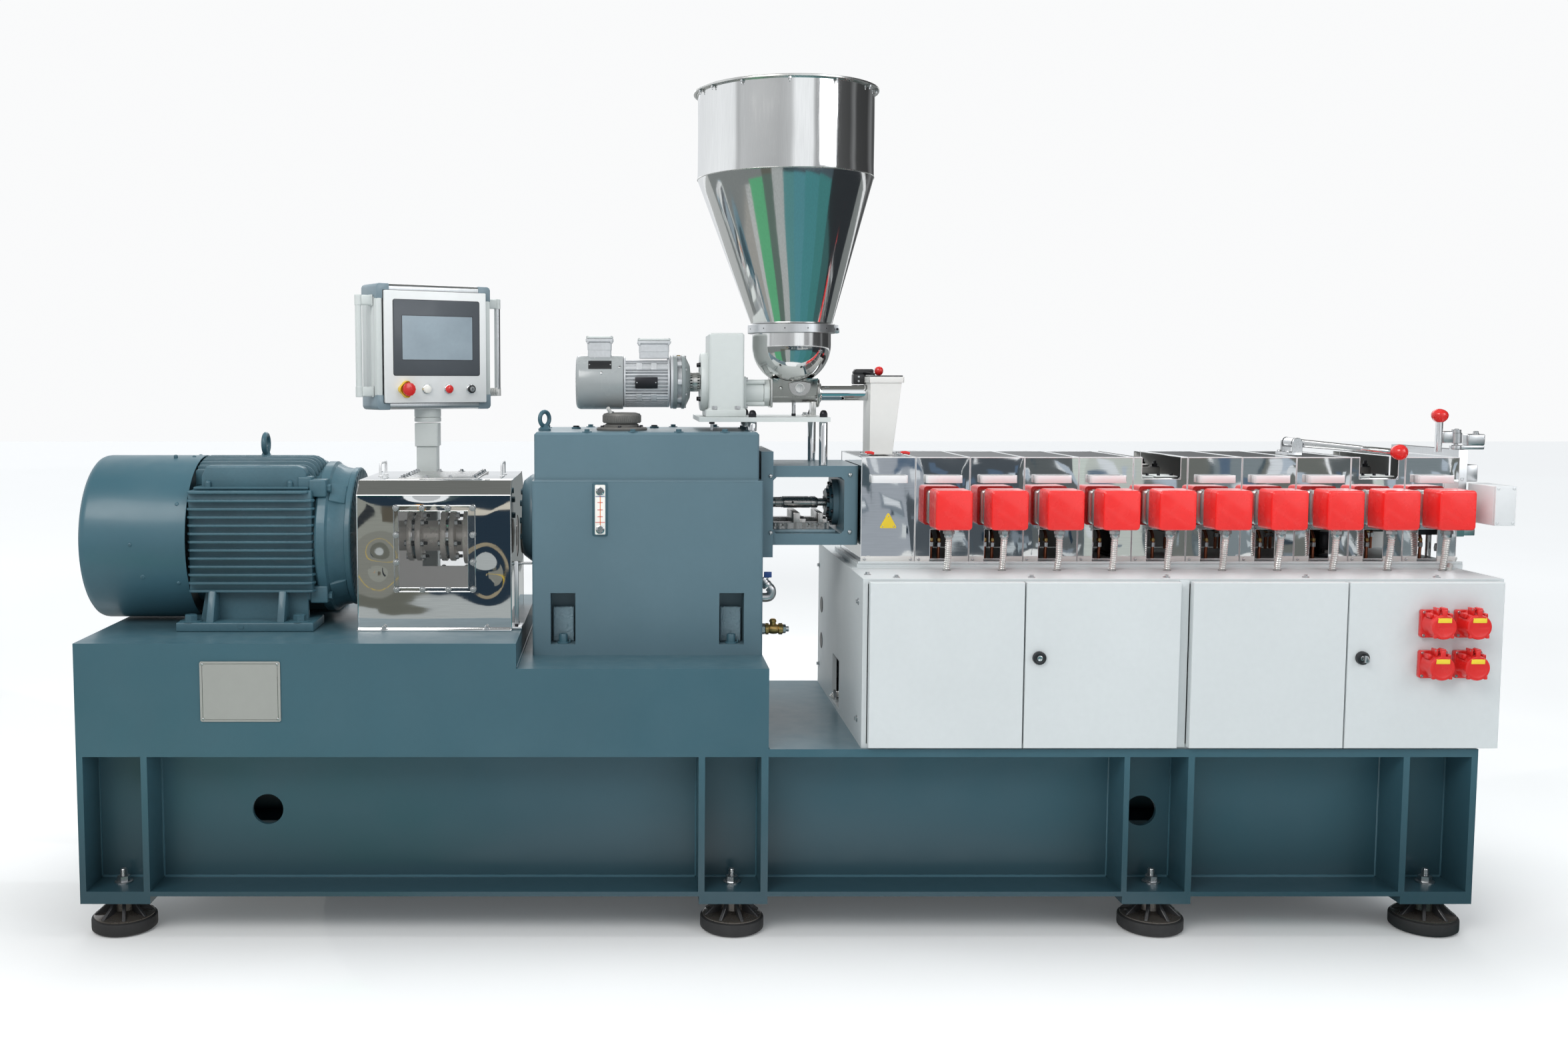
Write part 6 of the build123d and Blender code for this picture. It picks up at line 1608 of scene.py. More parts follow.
def hop_ring(z, cx, r, ripple=0.0):
    o = len(verts)
    for i in range(N):
        a = 2 * math.pi * i / N
        rr = r + ripple * (math.sin(5 * a + 0.6) + 0.6 * math.sin(9 * a + z * 0.01) + 0.5 * math.sin(3 * a + 2.1 + z * 0.006))
        verts.append((cx + rr * math.cos(a), rr * math.sin(a), z))
    return o


levels = []
for k in range(11):
    f = k / 10
    levels.append((1567.2 + (1959 - 1567.2) * f, HX + (HTX - HX) * f, 110.6 + (238.2 - 110.6) * f, 0.45 * math.sin(math.pi * f)))
levels += [(1961.5, HTX, 238.6, 0.0)]
for k in range(1, 8):
    levels.append((1961.5 + 225 * k / 8, HTX, 238.2, 0.5 * math.sin(math.pi * k / 8)))
levels += [(2187, HTX, 238.6, 0.0)]
starts = [hop_ring(z, cx, r, w) for z, cx, r, w in levels]
for s0, s1 in zip(starts, starts[1:]):
    for i in range(N):
        j = (i + 1) % N
        faces.append((s0 + i, s0 + j, s1 + j, s1 + i))
hop.add(verts, faces, MIRROR_V)
hop.lathe([(108.2, 1567.2), (110.6, 1567.2)], at(HX, 0, 0), 96, STAINLESS, ends=False)
verts, faces = [], []
inner = [hop_ring(1567.2 + (1959 - 1567.2) * k / 4, HX + (HTX - HX) * k / 4, 108.4 + (236.2 - 108.4) * k / 4) for k in range(5)]
inner += [hop_ring(z, HTX, 236.3) for z in (2060, 2130, 2190)]
for s0, s1 in zip(inner, inner[1:]):
    for i in range(N):
        j = (i + 1) % N
        faces.append((s0 + i, s1 + i, s1 + j, s0 + j))
hop.add(verts, faces, STAINLESS)
# weld seams and the rolled rim
hop.torus(at(HTX, 0, 1960), 238.2, 1.6, 128, 8, STAINLESS)
hop.lathe([(236.3, 5.9), (236.3, -1), (239.2, -2.2), (240.4, 0), (248.6, 0), (249.9, 0.8), (249.9, 5.0), (248.8, 5.9), (236.3, 5.9)],
          at(HTX, 0, 2187), 128, STAINLESS, ends=False)
for a in (-94, -64, -33, -18, 20, 52, 88, 124, 160, 196, 212, 236):
    a = math.radians(a)
    x, y = HTX + 244.6 * math.cos(a), 244.6 * math.sin(a)
    hop.hexa(at(x, y, 2181.2, roll=a), 7.0, 5.6, ZINC)
    hop.rod((x, y, 2175), (x, y, 2182), 1.9, 12, ZINC)
hop.tube([(HX + math.cos(math.radians(70)) * 110.8, math.sin(math.radians(70)) * 110.8, 1569),
          (HTX + math.cos(math.radians(70)) * 238.2, math.sin(math.radians(70)) * 238.2, 1959),
          (HTX + math.cos(math.radians(70)) * 238.4, math.sin(math.radians(70)) * 238.4, 2187)], 1.3, 8, STAINLESS)
hop.done(["hopper"])

# ------------------------------------------------------------------ chute
ch = Piece("feed_chute_seen", "frame", "stainless", [CHUTE_SHEET, BLACK_CAST, RED_PLASTIC, ZINC, BLACKENED])
for y0, y1 in ((-60, -57.2), (49.2, 52)):
    ch.prism([(283, 1212.2), (345, 1212.2), (368.6, 1412), (283, 1412)], y0, y1, "xz", 0.8)
ch.block(283, 285.8, -59.9, 51.9, 1212.2, 1412, 0.8)
ch.prism([(342.2, 1212.2), (345, 1212.2), (368.6, 1412), (365.8, 1412)], -59.9, 51.9, "xz", 0.6)
for (x0, x1, y0, y1) in ((279, 374, -64, -61), (279, 374, 53, 56), (279, 282, -64, 56), (371, 374, -64, 56)):
    ch.block(x0, x1, y0, y1, 1408.2, 1424, 0.8)
ch.block(279.5, 373.5, -63.5, -57, 1407.6, 1409.4, 0.6)
ch.block(279.5, 373.5, 49, 55.5, 1407.6, 1409.4, 0.6)
ch.block(282, 371, -61, 53, 1423.6, 1427.8, 1.2, BLACKENED)
ch.block(280, 373, -63, 55, 1422.4, 1424.4, 0.6)
ch.block(272, 350, -69 + 9, -57, 1212.2, 1214, 0.5)
ch.rod((314, -10, 1427), (314, -10, 1434), 3.6, 14, ZINC)
ch.lathe([(5, 0), (9, 3), (11.6, 8), (12, 13), (11, 18), (8, 22), (4, 24), (0, 24.4)], at(314, -10, 1428.2), 32, RED_PLASTIC)
ch.tube([(303, -10, 1431), (290, 0, 1433), (276, 20, 1434)], 3.0, 12, BLACKENED, smooth_to=3)
ch.block(248.4, 282.6, 12.4, 51.6, 1403.4, 1432, 4, BLACK_CAST, seg=3)
ch.block(252, 305.6, 17, 47.6, 1429, 1445.6, 5, BLACK_CAST, seg=3)
ch.block(249, 262, 20, 44, 1431, 1441, 4, BLACK_CAST, seg=3)
for z in (1412, 1424):
    ch.cap(263, 12.2, z, (0, -1, 0), 3, 1.2, ZINC, 14)
ch.done(["feed_chute"])
# ---------------------------------------------------------- operator panel
PX, PY = -964.0, 266.0
P = Matrix.Translation((PX, PY, 0)) @ Matrix.Rotation(math.radians(33), 4, "Z")
P3 = P.to_3x3()


def pat(x, y, z, d=(0, 0, 1), roll=0.0):
    return P @ at(x, y, z, d, roll)


post = Piece("panel_post_seen", "frame", "cabinet_paint", [FEEDER, ZINC, BLACK])
post.prism(round_rect(PX - 30, PX + 30, PY - 30, PY + 30, 4, 4), 757.2, 1222, "xy", 0.4, FEEDER)
post.prism(round_rect(PX - 34, PX + 34, PY - 36, PY + 36, 5, 4), 1222, 1289.6, "xy", 1.2, FEEDER)
for z in (1234, 1256, 1278):
    post.block(PX + 31, PX + 33.8, PY - 26, PY + 26, z - 5, z + 5, 1, BLACK)
    for y in (-17, 17):
        post.cap(PX + 31.0, PY + y, z, (1, 0, 0), 3.6, 2.8, ZINC, 14)
post.done(["panel_post"])

pb = Piece("panel_box_seen", "panel", "bare_aluminium", [ALU_SATIN, GREY_PLASTIC, FEEDER, BLACK, ZINC])
pb.lathe([(37, 0), (39, 1), (39, 11), (38, 12.5), (37, 13)], at(PX, PY, 1293.2), 64, FEEDER)
pb.lathe([(37, 0), (39, 1.5), (39, 24)], at(PX, PY, 1306.6), 64, FEEDER)
pb.block(-170, 170, -50, 50, 1337, 1683, 4, FEEDER, P)
# side sections with grooves, rounded front bars at the top and the bottom
for s in (-1, 1):
    x0, x1 = sorted((s * 163, s * 181.4))
    pb.block(x0, x1, -53.6, 53.6, 1366, 1654, 5, FEEDER, P, seg=4)
    for y in (-34, -8, 18, 40):
        xa, xb = sorted((s * 181.0, s * 181.9))
        pb.block(xa, xb, y - 1.0, y + 1.0, 1368, 1652, 0.3, ALU_SATIN, P, seg=1)
    for z0, z1 in ((1666, 1689.6), (1330.4, 1354)):
        prof = []
        top = z1 > 1500
        zc = z0 if top else z1
        zs = z1 - 10 if top else z0 + 10
        k = 1 if top else -1
        pts = [(-52, zc)] + [(-44 - 9.6 * math.cos(math.radians(a)), zs + k * 9.6 * math.sin(math.radians(a))) for a in (0, 22, 45, 68, 90)]
        pts += [(44 + 9.6 * math.cos(math.radians(a)), zs + k * 9.6 * math.sin(math.radians(a))) for a in (90, 68, 45, 22, 0)] + [(52, zc)]
        if s == 1:
            pb.prism(pts, -142, 142, "yz", 0.3, ALU_SATIN, P)
    for top in (True, False):
        k = 1 if top else -1
        zc = 1646 if top else 1374
        za = 1689.8 if top else 1330.2
        loop = []
        a0, a1 = (s * 141.5, s * 181.8)
        z0, z1 = sorted((zc, za))
        pb.prism([(s * 141.5, zc + k * 20), (s * 141.5, za), (s * 172, za), (s * 178.5, za - k * 3), (s * 181.8, za - k * 9.5),
                  (s * 181.8, zc), (s * 161, zc), (s * 161, zc + k * 20)], -54, 54, "xz", 2.4, GREY_PLASTIC, P, seg=2)
pb.block(-163, 163, -54, -50, 1348, 1672, 0.6, BLACK, P)
for s in (-1, 1):
    for z in (1371, 1649):
        pb.block(s * 172 - 10, s * 172 + 10, -40, 40, z - 3, z + 3, 1, ALU_SATIN, P)
pb.done(["panel_box"])

pd = Piece("panel_door_seen", "panel", "panel_grey", [WHITE_PLATE, BEZEL, SCREEN, BLACK])
pd.prism(round_rect(-161, 161, 1350, 1670, 3, 3), -64.6, -54.2, "xz", 1.0, WHITE_PLATE, P, seg=2)
pd.prism(round_rect(-136.5, 139.5, 1427.5, 1645.5, 6.5, 5), -65.4, -63, "xz", 0.4, BLACK, P)
pd.prism(round_rect(-135, 138, 1429, 1644, 6, 5), -65.9, -64, "xz", 0.6, BEZEL, P, seg=2)
pd.prism(round_rect(-109.5, 116.5, 1472.5, 1600.5, 1.5, 2), -65.95, -65, "xz", 0.0, BLACK, P)
pd.prism(round_rect(-108, 115, 1474, 1599, 1.0, 2), -66.0, -65, "xz", 0.0, SCREEN, P)
pd.done(["panel_door"])

bt = Piece("panel_buttons_seen", "panel", "button_plastic", [YELLOW, RED_PLASTIC, CHROME, ZINC, BLACK, CREAM])
EZ = 1389.0


def front(x, z, y=-64.6):
    return pat(x, y, z, (0, -1, 0))


prof = []
verts, faces, n = [], [], 60
levels = [(0, 1.0), (3, 1.0), (9, 1.0), (13, 0.99), (15, 0.955), (14.2, 0.9), (9, 0.86), (3, 0.8)]
for h, k in levels:
    for i in range(n):
        a = 2 * math.pi * i / n
        r = 22.6 + 2.3 * math.cos(4 * a)
        hh = h - (2.2 * (1 - math.cos(4 * a)) if h > 8 else 0)
        verts.append((r * k * math.cos(a), r * k * math.sin(a), hh))
for i in range(len(levels) - 1):
    for j in range(n):
        k = (j + 1) % n
        faces.append((i * n + j, i * n + k, (i + 1) * n + k, (i + 1) * n + j))
faces.append(tuple(reversed(range(n))))
faces.append(tuple(range((len(levels) - 1) * n, len(levels) * n)))
bt.add(verts, faces, YELLOW, front(-98, EZ))
bt.lathe([(12, 2), (12, 17), (18.6, 18.5), (19.2, 20), (19.2, 24), (18.2, 26), (14, 27.2), (8, 28.0), (0, 28.2)], front(-98, EZ), 48, RED_PLASTIC, ends=False)
bt.lathe([(12.2, 2), (12.2, 16)], front(-98, EZ), 32, RED_PLASTIC)
for i in range(12):
    a = 2 * math.pi * i / 12
    bt.block(19.0 * math.cos(a) - 0.8, 19.0 * math.cos(a) + 0.8, -0.8, 0.8, 19, 26, 0.3, RED_PLASTIC,
             front(-98, EZ) @ Matrix.Rotation(a, 4, "Z") @ Matrix.Translation((19.0 * (1 - math.cos(a)), 0, 0)), seg=1)
for dx, kind in ((-33, "pale"), (37, "red"), (109, "key")):
    M = front(dx, EZ)
    bt.lathe([(14.6, 0), (15, 0.8), (14.6, 2.6), (13, 4.4), (11.8, 4.6)], M, 48, CHROME, ends=False)
    if kind == "key":
        bt.lathe([(12, 4.4), (12, 9.4), (11, 10.6), (8, 11)], M, 40, BLACK, ends=False)
        bt.lathe([(8, 10.6), (7.6, 12.4), (0, 12.8)], M, 32, ZINC, ends=False)
        bt.block(-0.9, 0.9, -3.6, 3.6, 12.0, 13.1, 0.2, BLACK, M)
    else:
        mat = CREAM if kind == "pale" else RED_PLASTIC
        bt.lathe([(12, 4.2), (12, 7.6), (11, 9.6), (8.4, 10.8), (4, 11.6), (0, 11.8)], M, 40, mat, ends=False)
        for i in range(8):
            bt.lathe([(11.4 - i * 1.3, 0), (11.2 - i * 1.3, 0.3)], M @ Matrix.Translation((0, 0, 9.0 + 0.33 * i)), 32, mat, ends=False)
bt.done(["panel_buttons"])

ph = Piece("panel_handles_seen", "panel", "cabinet_paint", [FEEDER, ALU_SATIN, GALVANISED, ZINC, CHROME])
for s in (-1, 1):
    ph.rod(P @ Vector((s * 222, -20, 1368)), P @ Vector((s * 222, -20, 1656)), 9.2, 28, ALU_SATIN if s > 0 else FEEDER)
    ends = (1382, 1642) if s < 0 else (1642,)
    for z in ends:
        ph.lathe([(9.4, -15), (10.5, -14), (10.5, 14), (9.4, 15)], pat(s * 222, -20, z), 32, FEEDER)
        x0, x1 = sorted((s * 182.2, s * 216))
        ph.block(x0, x1, -32, -8, z - 14, z + 14, 4, FEEDER, P, seg=3)
        ph.block(*sorted((s * 182.2, s * 187)), -33, -7, z - 16, z + 16, 2, FEEDER, P)
z = 1382
ph.lathe([(9.4, -14), (10.5, -13), (10.5, 5), (9.6, 7)], pat(222, -20, z), 32, GALVANISED)
for i in range(5):
    ph.torus(pat(222, -20, z - 11 + 5 * i), 9.2, 1.2, 28, 8, CHROME)
for i in range(5):
    ph.torus(pat(188 + 6 * i, -20, z - 2, (1, 0, 0)), 10.5, 2.2, 28, 8, GALVANISED)
ph.rod(P @ Vector((183, -20, z - 2)), P @ Vector((218, -20, z - 2)), 10, 24, GALVANISED)
ph.hexa(pat(183, -20, z - 2, (1, 0, 0)), 22, 8, ZINC)
ph.done(["panel_handles"])
# ---------------------------------------------------------------- die end
hp = Piece("head_plate_seen", "frame", "stainless", [ALU_SATIN, BLACKENED, DARK, STAINLESS, ZINC])
g = bmesh.new()
outer = round_rect(-169.6, 169.6, 999.4, 1230.6, 2, 2)
holes = [[(30 * math.cos(math.radians(a)), SZ + 30 * math.sin(math.radians(a))) for a in range(0, 360, 8)]]
for i in range(8):
    a = math.radians(22.5 + 45 * i)
    cy, cz = 52 * math.cos(a), SZ + 52 * math.sin(a)
    holes.append([(cy + 5 * math.cos(math.radians(t)), cz + 5 * math.sin(math.radians(t))) for t in range(0, 360, 30)])
for x in (1826.3, 1849.7):
    edges = []
    for loop in [outer] + holes:
        vs = [g.verts.new((x, y, z)) for y, z in loop]
        edges += [g.edges.new((vs[k], vs[(k + 1) % len(vs)])) for k in range(len(vs))]
    bmesh.ops.triangle_fill(g, edges=edges, use_beauty=True)
hp.bm(g, ALU_SATIN)
for k, loop in enumerate([outer] + holes):
    v = [(1826.3, y, z) for y, z in loop] + [(1849.7, y, z) for y, z in loop]
    m = len(loop)
    hp.add(v, [(i, (i + 1) % m, (i + 1) % m + m, i + m) for i in range(m)], ALU_SATIN if k == 0 else DARK)
for s in (-1, 1):
    hp.cap(1838, s * 169.2, 1153, (0, s, 0), 5.4, 0.7, ZINC)
    for z in (1020, 1210):
        for y in (s * 120,):
            hp.cap(1849.8, y, z, (1, 0, 0), 7, 7, BLACKENED)
for z0, z1 in ((1146, 1190), (1002, 1036)):
    hp.block(1850, 1879.5, -168, -60, z0, z1, 2.0, ALU_SATIN)
    hp.lathe([(11, 0), (10.6, 2), (8.6, 3.6), (4, 4.4), (0, 4.5)], at(1879.4, -120, (z0 + z1) / 2, (1, 0, 0)), 28, ZINC, ends=False)
hp.done(["head_plate"])

tb = Piece("head_terminal_box_seen", "frame", "bare_aluminium", [PALE_PAINT_AND_EDGE_HIGHLIGHT, ZINC, BLACK, GALVANISED])
tb.block(1850.2, 1903.6, -292.5, -176.2, 1041.3, 1143.7, 2.4, PALE_PAINT_AND_EDGE_HIGHLIGHT, seg=3)
tb.block(1850.2, 1903.8, -300.6, -293.2, 1041.2, 1143.8, 1.6, PALE_PAINT_AND_EDGE_HIGHLIGHT, seg=2)
tb.block(1851.4, 1902.6, -293.4, -292.3, 1042.4, 1142.6, 0.3, BLACK, seg=1)
for x in (1857, 1897):
    for z in (1048, 1137):
        tb.lathe([(3.6, 0), (3.6, 0.25), (3.0, 0.4), (2.4, -0.4), (0, -0.5)], at(x, -300.5, z, (0, -1, 0)), 16, ZINC, ends=False)
tb.block(1850.4, 1861.6, -178, -141, 1060.5, 1119.5, 1.5, PALE_PAINT_AND_EDGE_HIGHLIGHT)
tb.rod((1877, -236, 1041.2), (1877, -236, 1041.8), 9, 18, GALVANISED)
tb.done(["head_terminal_box"])

CX, CY = 1828.0, -150.0
lb = Piece("lever_blocks_seen", "frame", "stainless", [ALU, ZINC, STAINLESS, ALU_SATIN, BLACKENED])
lb.lathe([(13.6, 0), (15, 1.2), (15, 5), (14.6, 9.6), (13.4, 10.8)], at(CX, CY, 1231.2), 36, ALU)
lb.rod((CX, CY, 1241), (CX, CY, 1285.8), 5.8, 24, ZINC)
lb.block(CX + 4, 1898, CY - 12, CY + 12, 1231.2, 1241.8, 2, ALU)
lb.block(1852, 1898, CY - 14, CY + 14, 1242, 1271.8, 3.5, ALU, seg=3)
lb.block(1878, 1897.9, CY - 13.9, CY + 13.9, 1250, 1264, 2.5, ALU_SATIN, seg=3)
lb.lathe([(8, 0), (8, 2), (6.4, 2.6), (6.4, 7.4), (5, 8)], at(1880, CY, 1271.6), 24, ZINC)
# hinge of the vent lever
lb.block(1404.4, 1445.6, -96.8, -23.2, 1212.4, 1219.8, 2.0, ALU)
for y in (-86, -34):
    lb.cap(1410.5, y, 1219.6, (0, 0, 1), 5.2, 5.4, ZINC)
for s in (-1, 1):
    y0, y1 = sorted((-60 + s * 31.3, -60 + s * 36.7))
    pts = [(1418, 1219), (1446, 1219), (1446, 1246)] + [(1432 + 13.8 * math.cos(math.radians(a)), 1246 + 13.8 * math.sin(math.radians(a)))
                                                        for a in range(15, 180, 15)] + [(1418.2, 1246)]
    lb.prism(pts, y0, y1, "xz", 1.2, ALU)
lb.rod((1432, -96.6, 1246), (1432, -23.4, 1246), 4.9, 24, ZINC)
lb.done(["lever_blocks"])

cl = Piece("clamp_lever_seen", "clamp_lever", "red_plastic", [RED_PLASTIC, ALU, CHROME])
cl.ring([(6.2, 0.3), (12.8, 0.3), (14, 1.6), (14, 27), (12.4, 28.4), (11.6, 28.6), (11.6, 36.6), (6.2, 36.6)], at(CX, CY, 1247), 40, ALU)
cl.block(1788.5, CX - 11, CY - 8.6, CY + 8.6, 1248.4, 1279.6, 4, ALU, seg=3)
cl.rod((1782, CY, 1224.3), (1782, CY, 1304), 8.8, 32, CHROME)
egg = []
for k in range(19):
    t = math.pi * k / 18
    rr = 20.8 * math.sin(t) * (1.0 - 0.10 * math.cos(t) * math.sin(t))
    egg.append((max(rr, 0.0), -18.6 * math.cos(t)))
egg[0], egg[-1] = (0, egg[0][1]), (0, egg[-1][1])
cl.lathe(egg, at(1782, CY, 1320.2, (0.18, 0, 1)), 40, RED_PLASTIC)
cl.done(["clamp_lever"])

VD = Vector((0.815, -0.575, -0.075)).normalized()
VX = Vector((0.575, 0.815, 0)).normalized()
VY = VD.cross(VX)
V = Matrix.Translation((1432, -60, 1246)) @ Matrix((VX, VY, VD)).transposed().to_4x4()
vl = Piece("vent_lever_seen", "vent_lever", "red_plastic", [RED_PLASTIC, ALU, CHROME])
vl.ring([(5.2, 0.3), (11.8, 0.3), (12.9, 1.4), (12.9, 46.6), (11.8, 47.7), (5.2, 47.7)], at(1432, -84, 1246, (0, 1, 0)), 40, ALU)
sections = ((10, 11.0, 8.6), (40, 10.6, 8.4), (110, 9.4, 8.0), (168, 8.4, 7.6), (177.6, 7.4, 6.8))
verts, faces = [], []
m = 0
for d, hz, hx in sections:
    loop = round_rect(-hx, hx, -hz, hz, 4.2, 4)
    m = len(loop)
    verts += [(a, c, d) for a, c in loop]
for i in range(len(sections) - 1):
    for j in range(m):
        k = (j + 1) % m
        faces.append((i * m + j, i * m + k, (i + 1) * m + k, (i + 1) * m + j))
faces.append(tuple(reversed(range(m))))
faces.append(tuple(range((len(sections) - 1) * m, len(sections) * m)))
vl.add(verts, faces, ALU, V)
vl.lathe([(7.4, 172), (8, 173), (8, 244), (7.4, 246)], V, 32, CHROME)
egg = []
for k in range(19):
    t = math.pi * k / 18
    rr = 20.6 * math.sin(t) * (1.0 - 0.09 * math.cos(t) * math.sin(t))
    egg.append((max(rr, 0.0), 262 - 21.9 * math.cos(t)))
egg[0], egg[-1] = (0, egg[0][1]), (0, egg[-1][1])
vl.lathe(egg, V, 40, RED_PLASTIC)
vl.done(["vent_lever"])

ue = Piece("under_last_section", "frame", "dark_steel", [BLACKENED, CHROME, ZINC, GALVANISED, BLACK])
ue.block(1702, 1812, -150, -120, 1002, 1040, 3, BLACKENED)
ue.rod((1772, -140, 931), (1772, -140, 1002), 7, 24, CHROME)
ue.rod((1742, -120, 931), (1742, -120, 1002), 7, 24, CHROME)
ue.hexa(at(1772, -140, 931.2), 22, 8, ZINC)
ue.rod((1796, -150, 968), (1822, -158, 966), 9, 20, BLACK)
ue.hexa(at(1786, -147, 969, (1, -0.3, -0.08)), 20, 10, ZINC)
ue.done()
# ------------------------------------------------------------------- stage
def stage_plane(name, size, z, colour, rough):
    me = bpy.data.meshes.new(name)
    s = size / 2
    me.from_pydata([(-s, -s, z), (s, -s, z), (s, s, z), (-s, s, z)], [], [(0, 1, 2, 3)])
    m, t, p = shader(name + "_finish")
    base = ramp(t, noise(t, 1.4, 5.0), [(0.3, c4(colour, 0.985)), (0.7, c4(colour, 1.01))])
    t.links.new(base, p.inputs["Base Color"])
    p.inputs["Roughness"].default_value = rough
    far = t.nodes.new("ShaderNodeVectorMath")
    far.operation = "LENGTH"
    tc = t.nodes.new("ShaderNodeTexCoord")
    t.links.new(tc.outputs["Object"], far.inputs[0])
    lift = t.nodes.new("ShaderNodeMapRange")
    lift.interpolation_type = "SMOOTHSTEP"
    lift.inputs["From Min"].default_value = 2.0
    lift.inputs["From Max"].default_value = 9.0
    lift.inputs["To Min"].default_value = 0.06
    lift.inputs["To Max"].default_value = 0.50
    t.links.new(far.outputs["Value"], lift.inputs["Value"])
    p.inputs["Emission Color"].default_value = (0.97, 0.985, 1.0, 1)
    t.links.new(lift.outputs["Result"], p.inputs["Emission Strength"])
    me.materials.append(m)
    o = bpy.data.objects.new(name, me)
    bpy.context.scene.collection.objects.link(o)
    return o


stage_plane("studio_floor", 60.0, -0.0005, (0.88, 0.89, 0.89), 0.55)


def area(name, loc, target, size, size_y, power, colour=(1, 1, 1), spread_deg=150):
    d = bpy.data.lights.new(name, "AREA")
    d.shape = "RECTANGLE"
    d.size, d.size_y, d.energy, d.color = size, size_y, power, colour
    d.spread = math.radians(spread_deg)
    o = bpy.data.objects.new(name, d)
    o.location = loc
    o.rotation_euler = (Vector(target) - Vector(loc)).to_track_quat("-Z", "Y").to_euler()
    bpy.context.scene.collection.objects.link(o)
    return o


area("key_soft", (-3.2, -5.0, 5.2), (0, 0, 1.0), 4.0, 3.0, 150, (1.0, 0.985, 0.965))
area("fill_soft", (5.2, -4.4, 3.6), (0.4, 0, 1.0), 3.0, 3.0, 62, (0.94, 0.97, 1.0))
above = area("top_soft", (0.2, 0.6, 5.6), (0, 0, 0.8), 6.0, 3.0, 150, (1.0, 1.0, 1.0))
above.visible_glossy = False
area("back_rim", (0.5, 5.0, 4.2), (0, 0, 1.2), 6.0, 2.0, 60, (1.0, 1.0, 1.0))


def card(name, corners, colour, strength=1.0):
    """A studio card that only polished surfaces pick up."""
    me = bpy.data.meshes.new(name)
    me.from_pydata(corners, [], [tuple(range(len(corners)))])
    m = bpy.data.materials.new(name + "_glow")
    m.use_nodes = True
    t = m.node_tree
    t.nodes.clear()
    out = t.nodes.new("ShaderNodeOutputMaterial")
    e = t.nodes.new("ShaderNodeEmission")
    e.inputs["Color"].default_value = c4(colour)
    e.inputs["Strength"].default_value = strength
    t.links.new(e.outputs["Emission"], out.inputs["Surface"])
    me.materials.append(m)
    o = bpy.data.objects.new(name, me)
    bpy.context.scene.collection.objects.link(o)
    o.visible_camera = o.visible_diffuse = o.visible_shadow = False
    o.visible_transmission = o.visible_volume_scatter = False
    return o


WHITE, PALE, GREY, DARKER = (0.85, 0.87, 0.88), (0.50, 0.52, 0.52), (0.22, 0.24, 0.24), (0.03, 0.035, 0.04)
NAVY, BLOTCH, OLIVE = (0.020, 0.036, 0.055), (0.20, 0.24, 0.28), (0.135, 0.14, 0.12)
# floor patches by direction from the machine: near and far colour, and where the far one starts
wedges = ((-178, -128, PALE, PALE, 4.0), (-128, -99, (0.30, 0.29, 0.27), GREY, 4.0), (-99, -90, WHITE, GREY, 4.0),
          (-90, -66, (0.36, 0.36, 0.34), GREY, 4.0), (-66, -58, PALE, GREY, 4.0), (-58, -38, (0.12, 0.42, 0.22), GREY, 4.5),
          (-38, -24, (0.12, 0.17, 0.15), OLIVE, 4.8), (-24, -16.5, (0.42, 0.45, 0.45), OLIVE, 5.9),
          (-16.5, -9, (0.42, 0.45, 0.45), NAVY, 5.9), (-9, 5, (0.10, 0.27, 0.28), (0.06, 0.09, 0.10), 5.0),
          (5, 20, (0.09, 0.27, 0.31), (0.07, 0.10, 0.12), 5.2), (20, 40, (0.07, 0.25, 0.27), (0.07, 0.10, 0.12), 5.6),
          (40, 59, (0.06, 0.22, 0.22), (0.07, 0.10, 0.12), 6.0), (59, 78, (0.05, 0.13, 0.13), DARKER, 5.0),
          (78, 88, DARKER, DARKER, 5.0), (88, 112, (0.03, 0.08, 0.07), DARKER, 5.0), (112, 150, (0.30, 0.31, 0.32), GREY, 4.0),
          (150, 182, PALE, GREY, 4.0))
for k, (a0, a1, near, beyond, split) in enumerate(wedges):
    for r0, r1, colour, tag in ((1.25, split, near, "near"), (split, 22.0, beyond, "far")):
        n = 5
        angles = [math.radians(a0 + (a1 - a0) * i / n) for i in range(n + 1)]
        inner = [(r0 * math.sin(a), -r0 * math.cos(a), 0.003) for a in angles]
        outer = [(r1 * math.sin(a), -r1 * math.cos(a), 0.003) for a in reversed(angles)]
        card("floor_%s_%d" % (tag, k), inner + outer, colour)
# standing cards in front of the machine, the room that the polished covers show
patch_count = 0


def patch(x0, x1, z0, z1, colour, lean=0.0, jag=0.0, y=None):
    global patch_count
    y = -6.2 + 0.004 * patch_count if y is None else y
    d = [rng.uniform(-jag, jag) for _ in range(4)]
    card("standing_%d" % patch_count, [(x0, y, z0 + d[0]), (x1, y, z0 + d[1]), (x1 + lean, y, z1 + d[2]), (x0 + lean, y, z1 + d[3])],
         colour)
    patch_count += 1


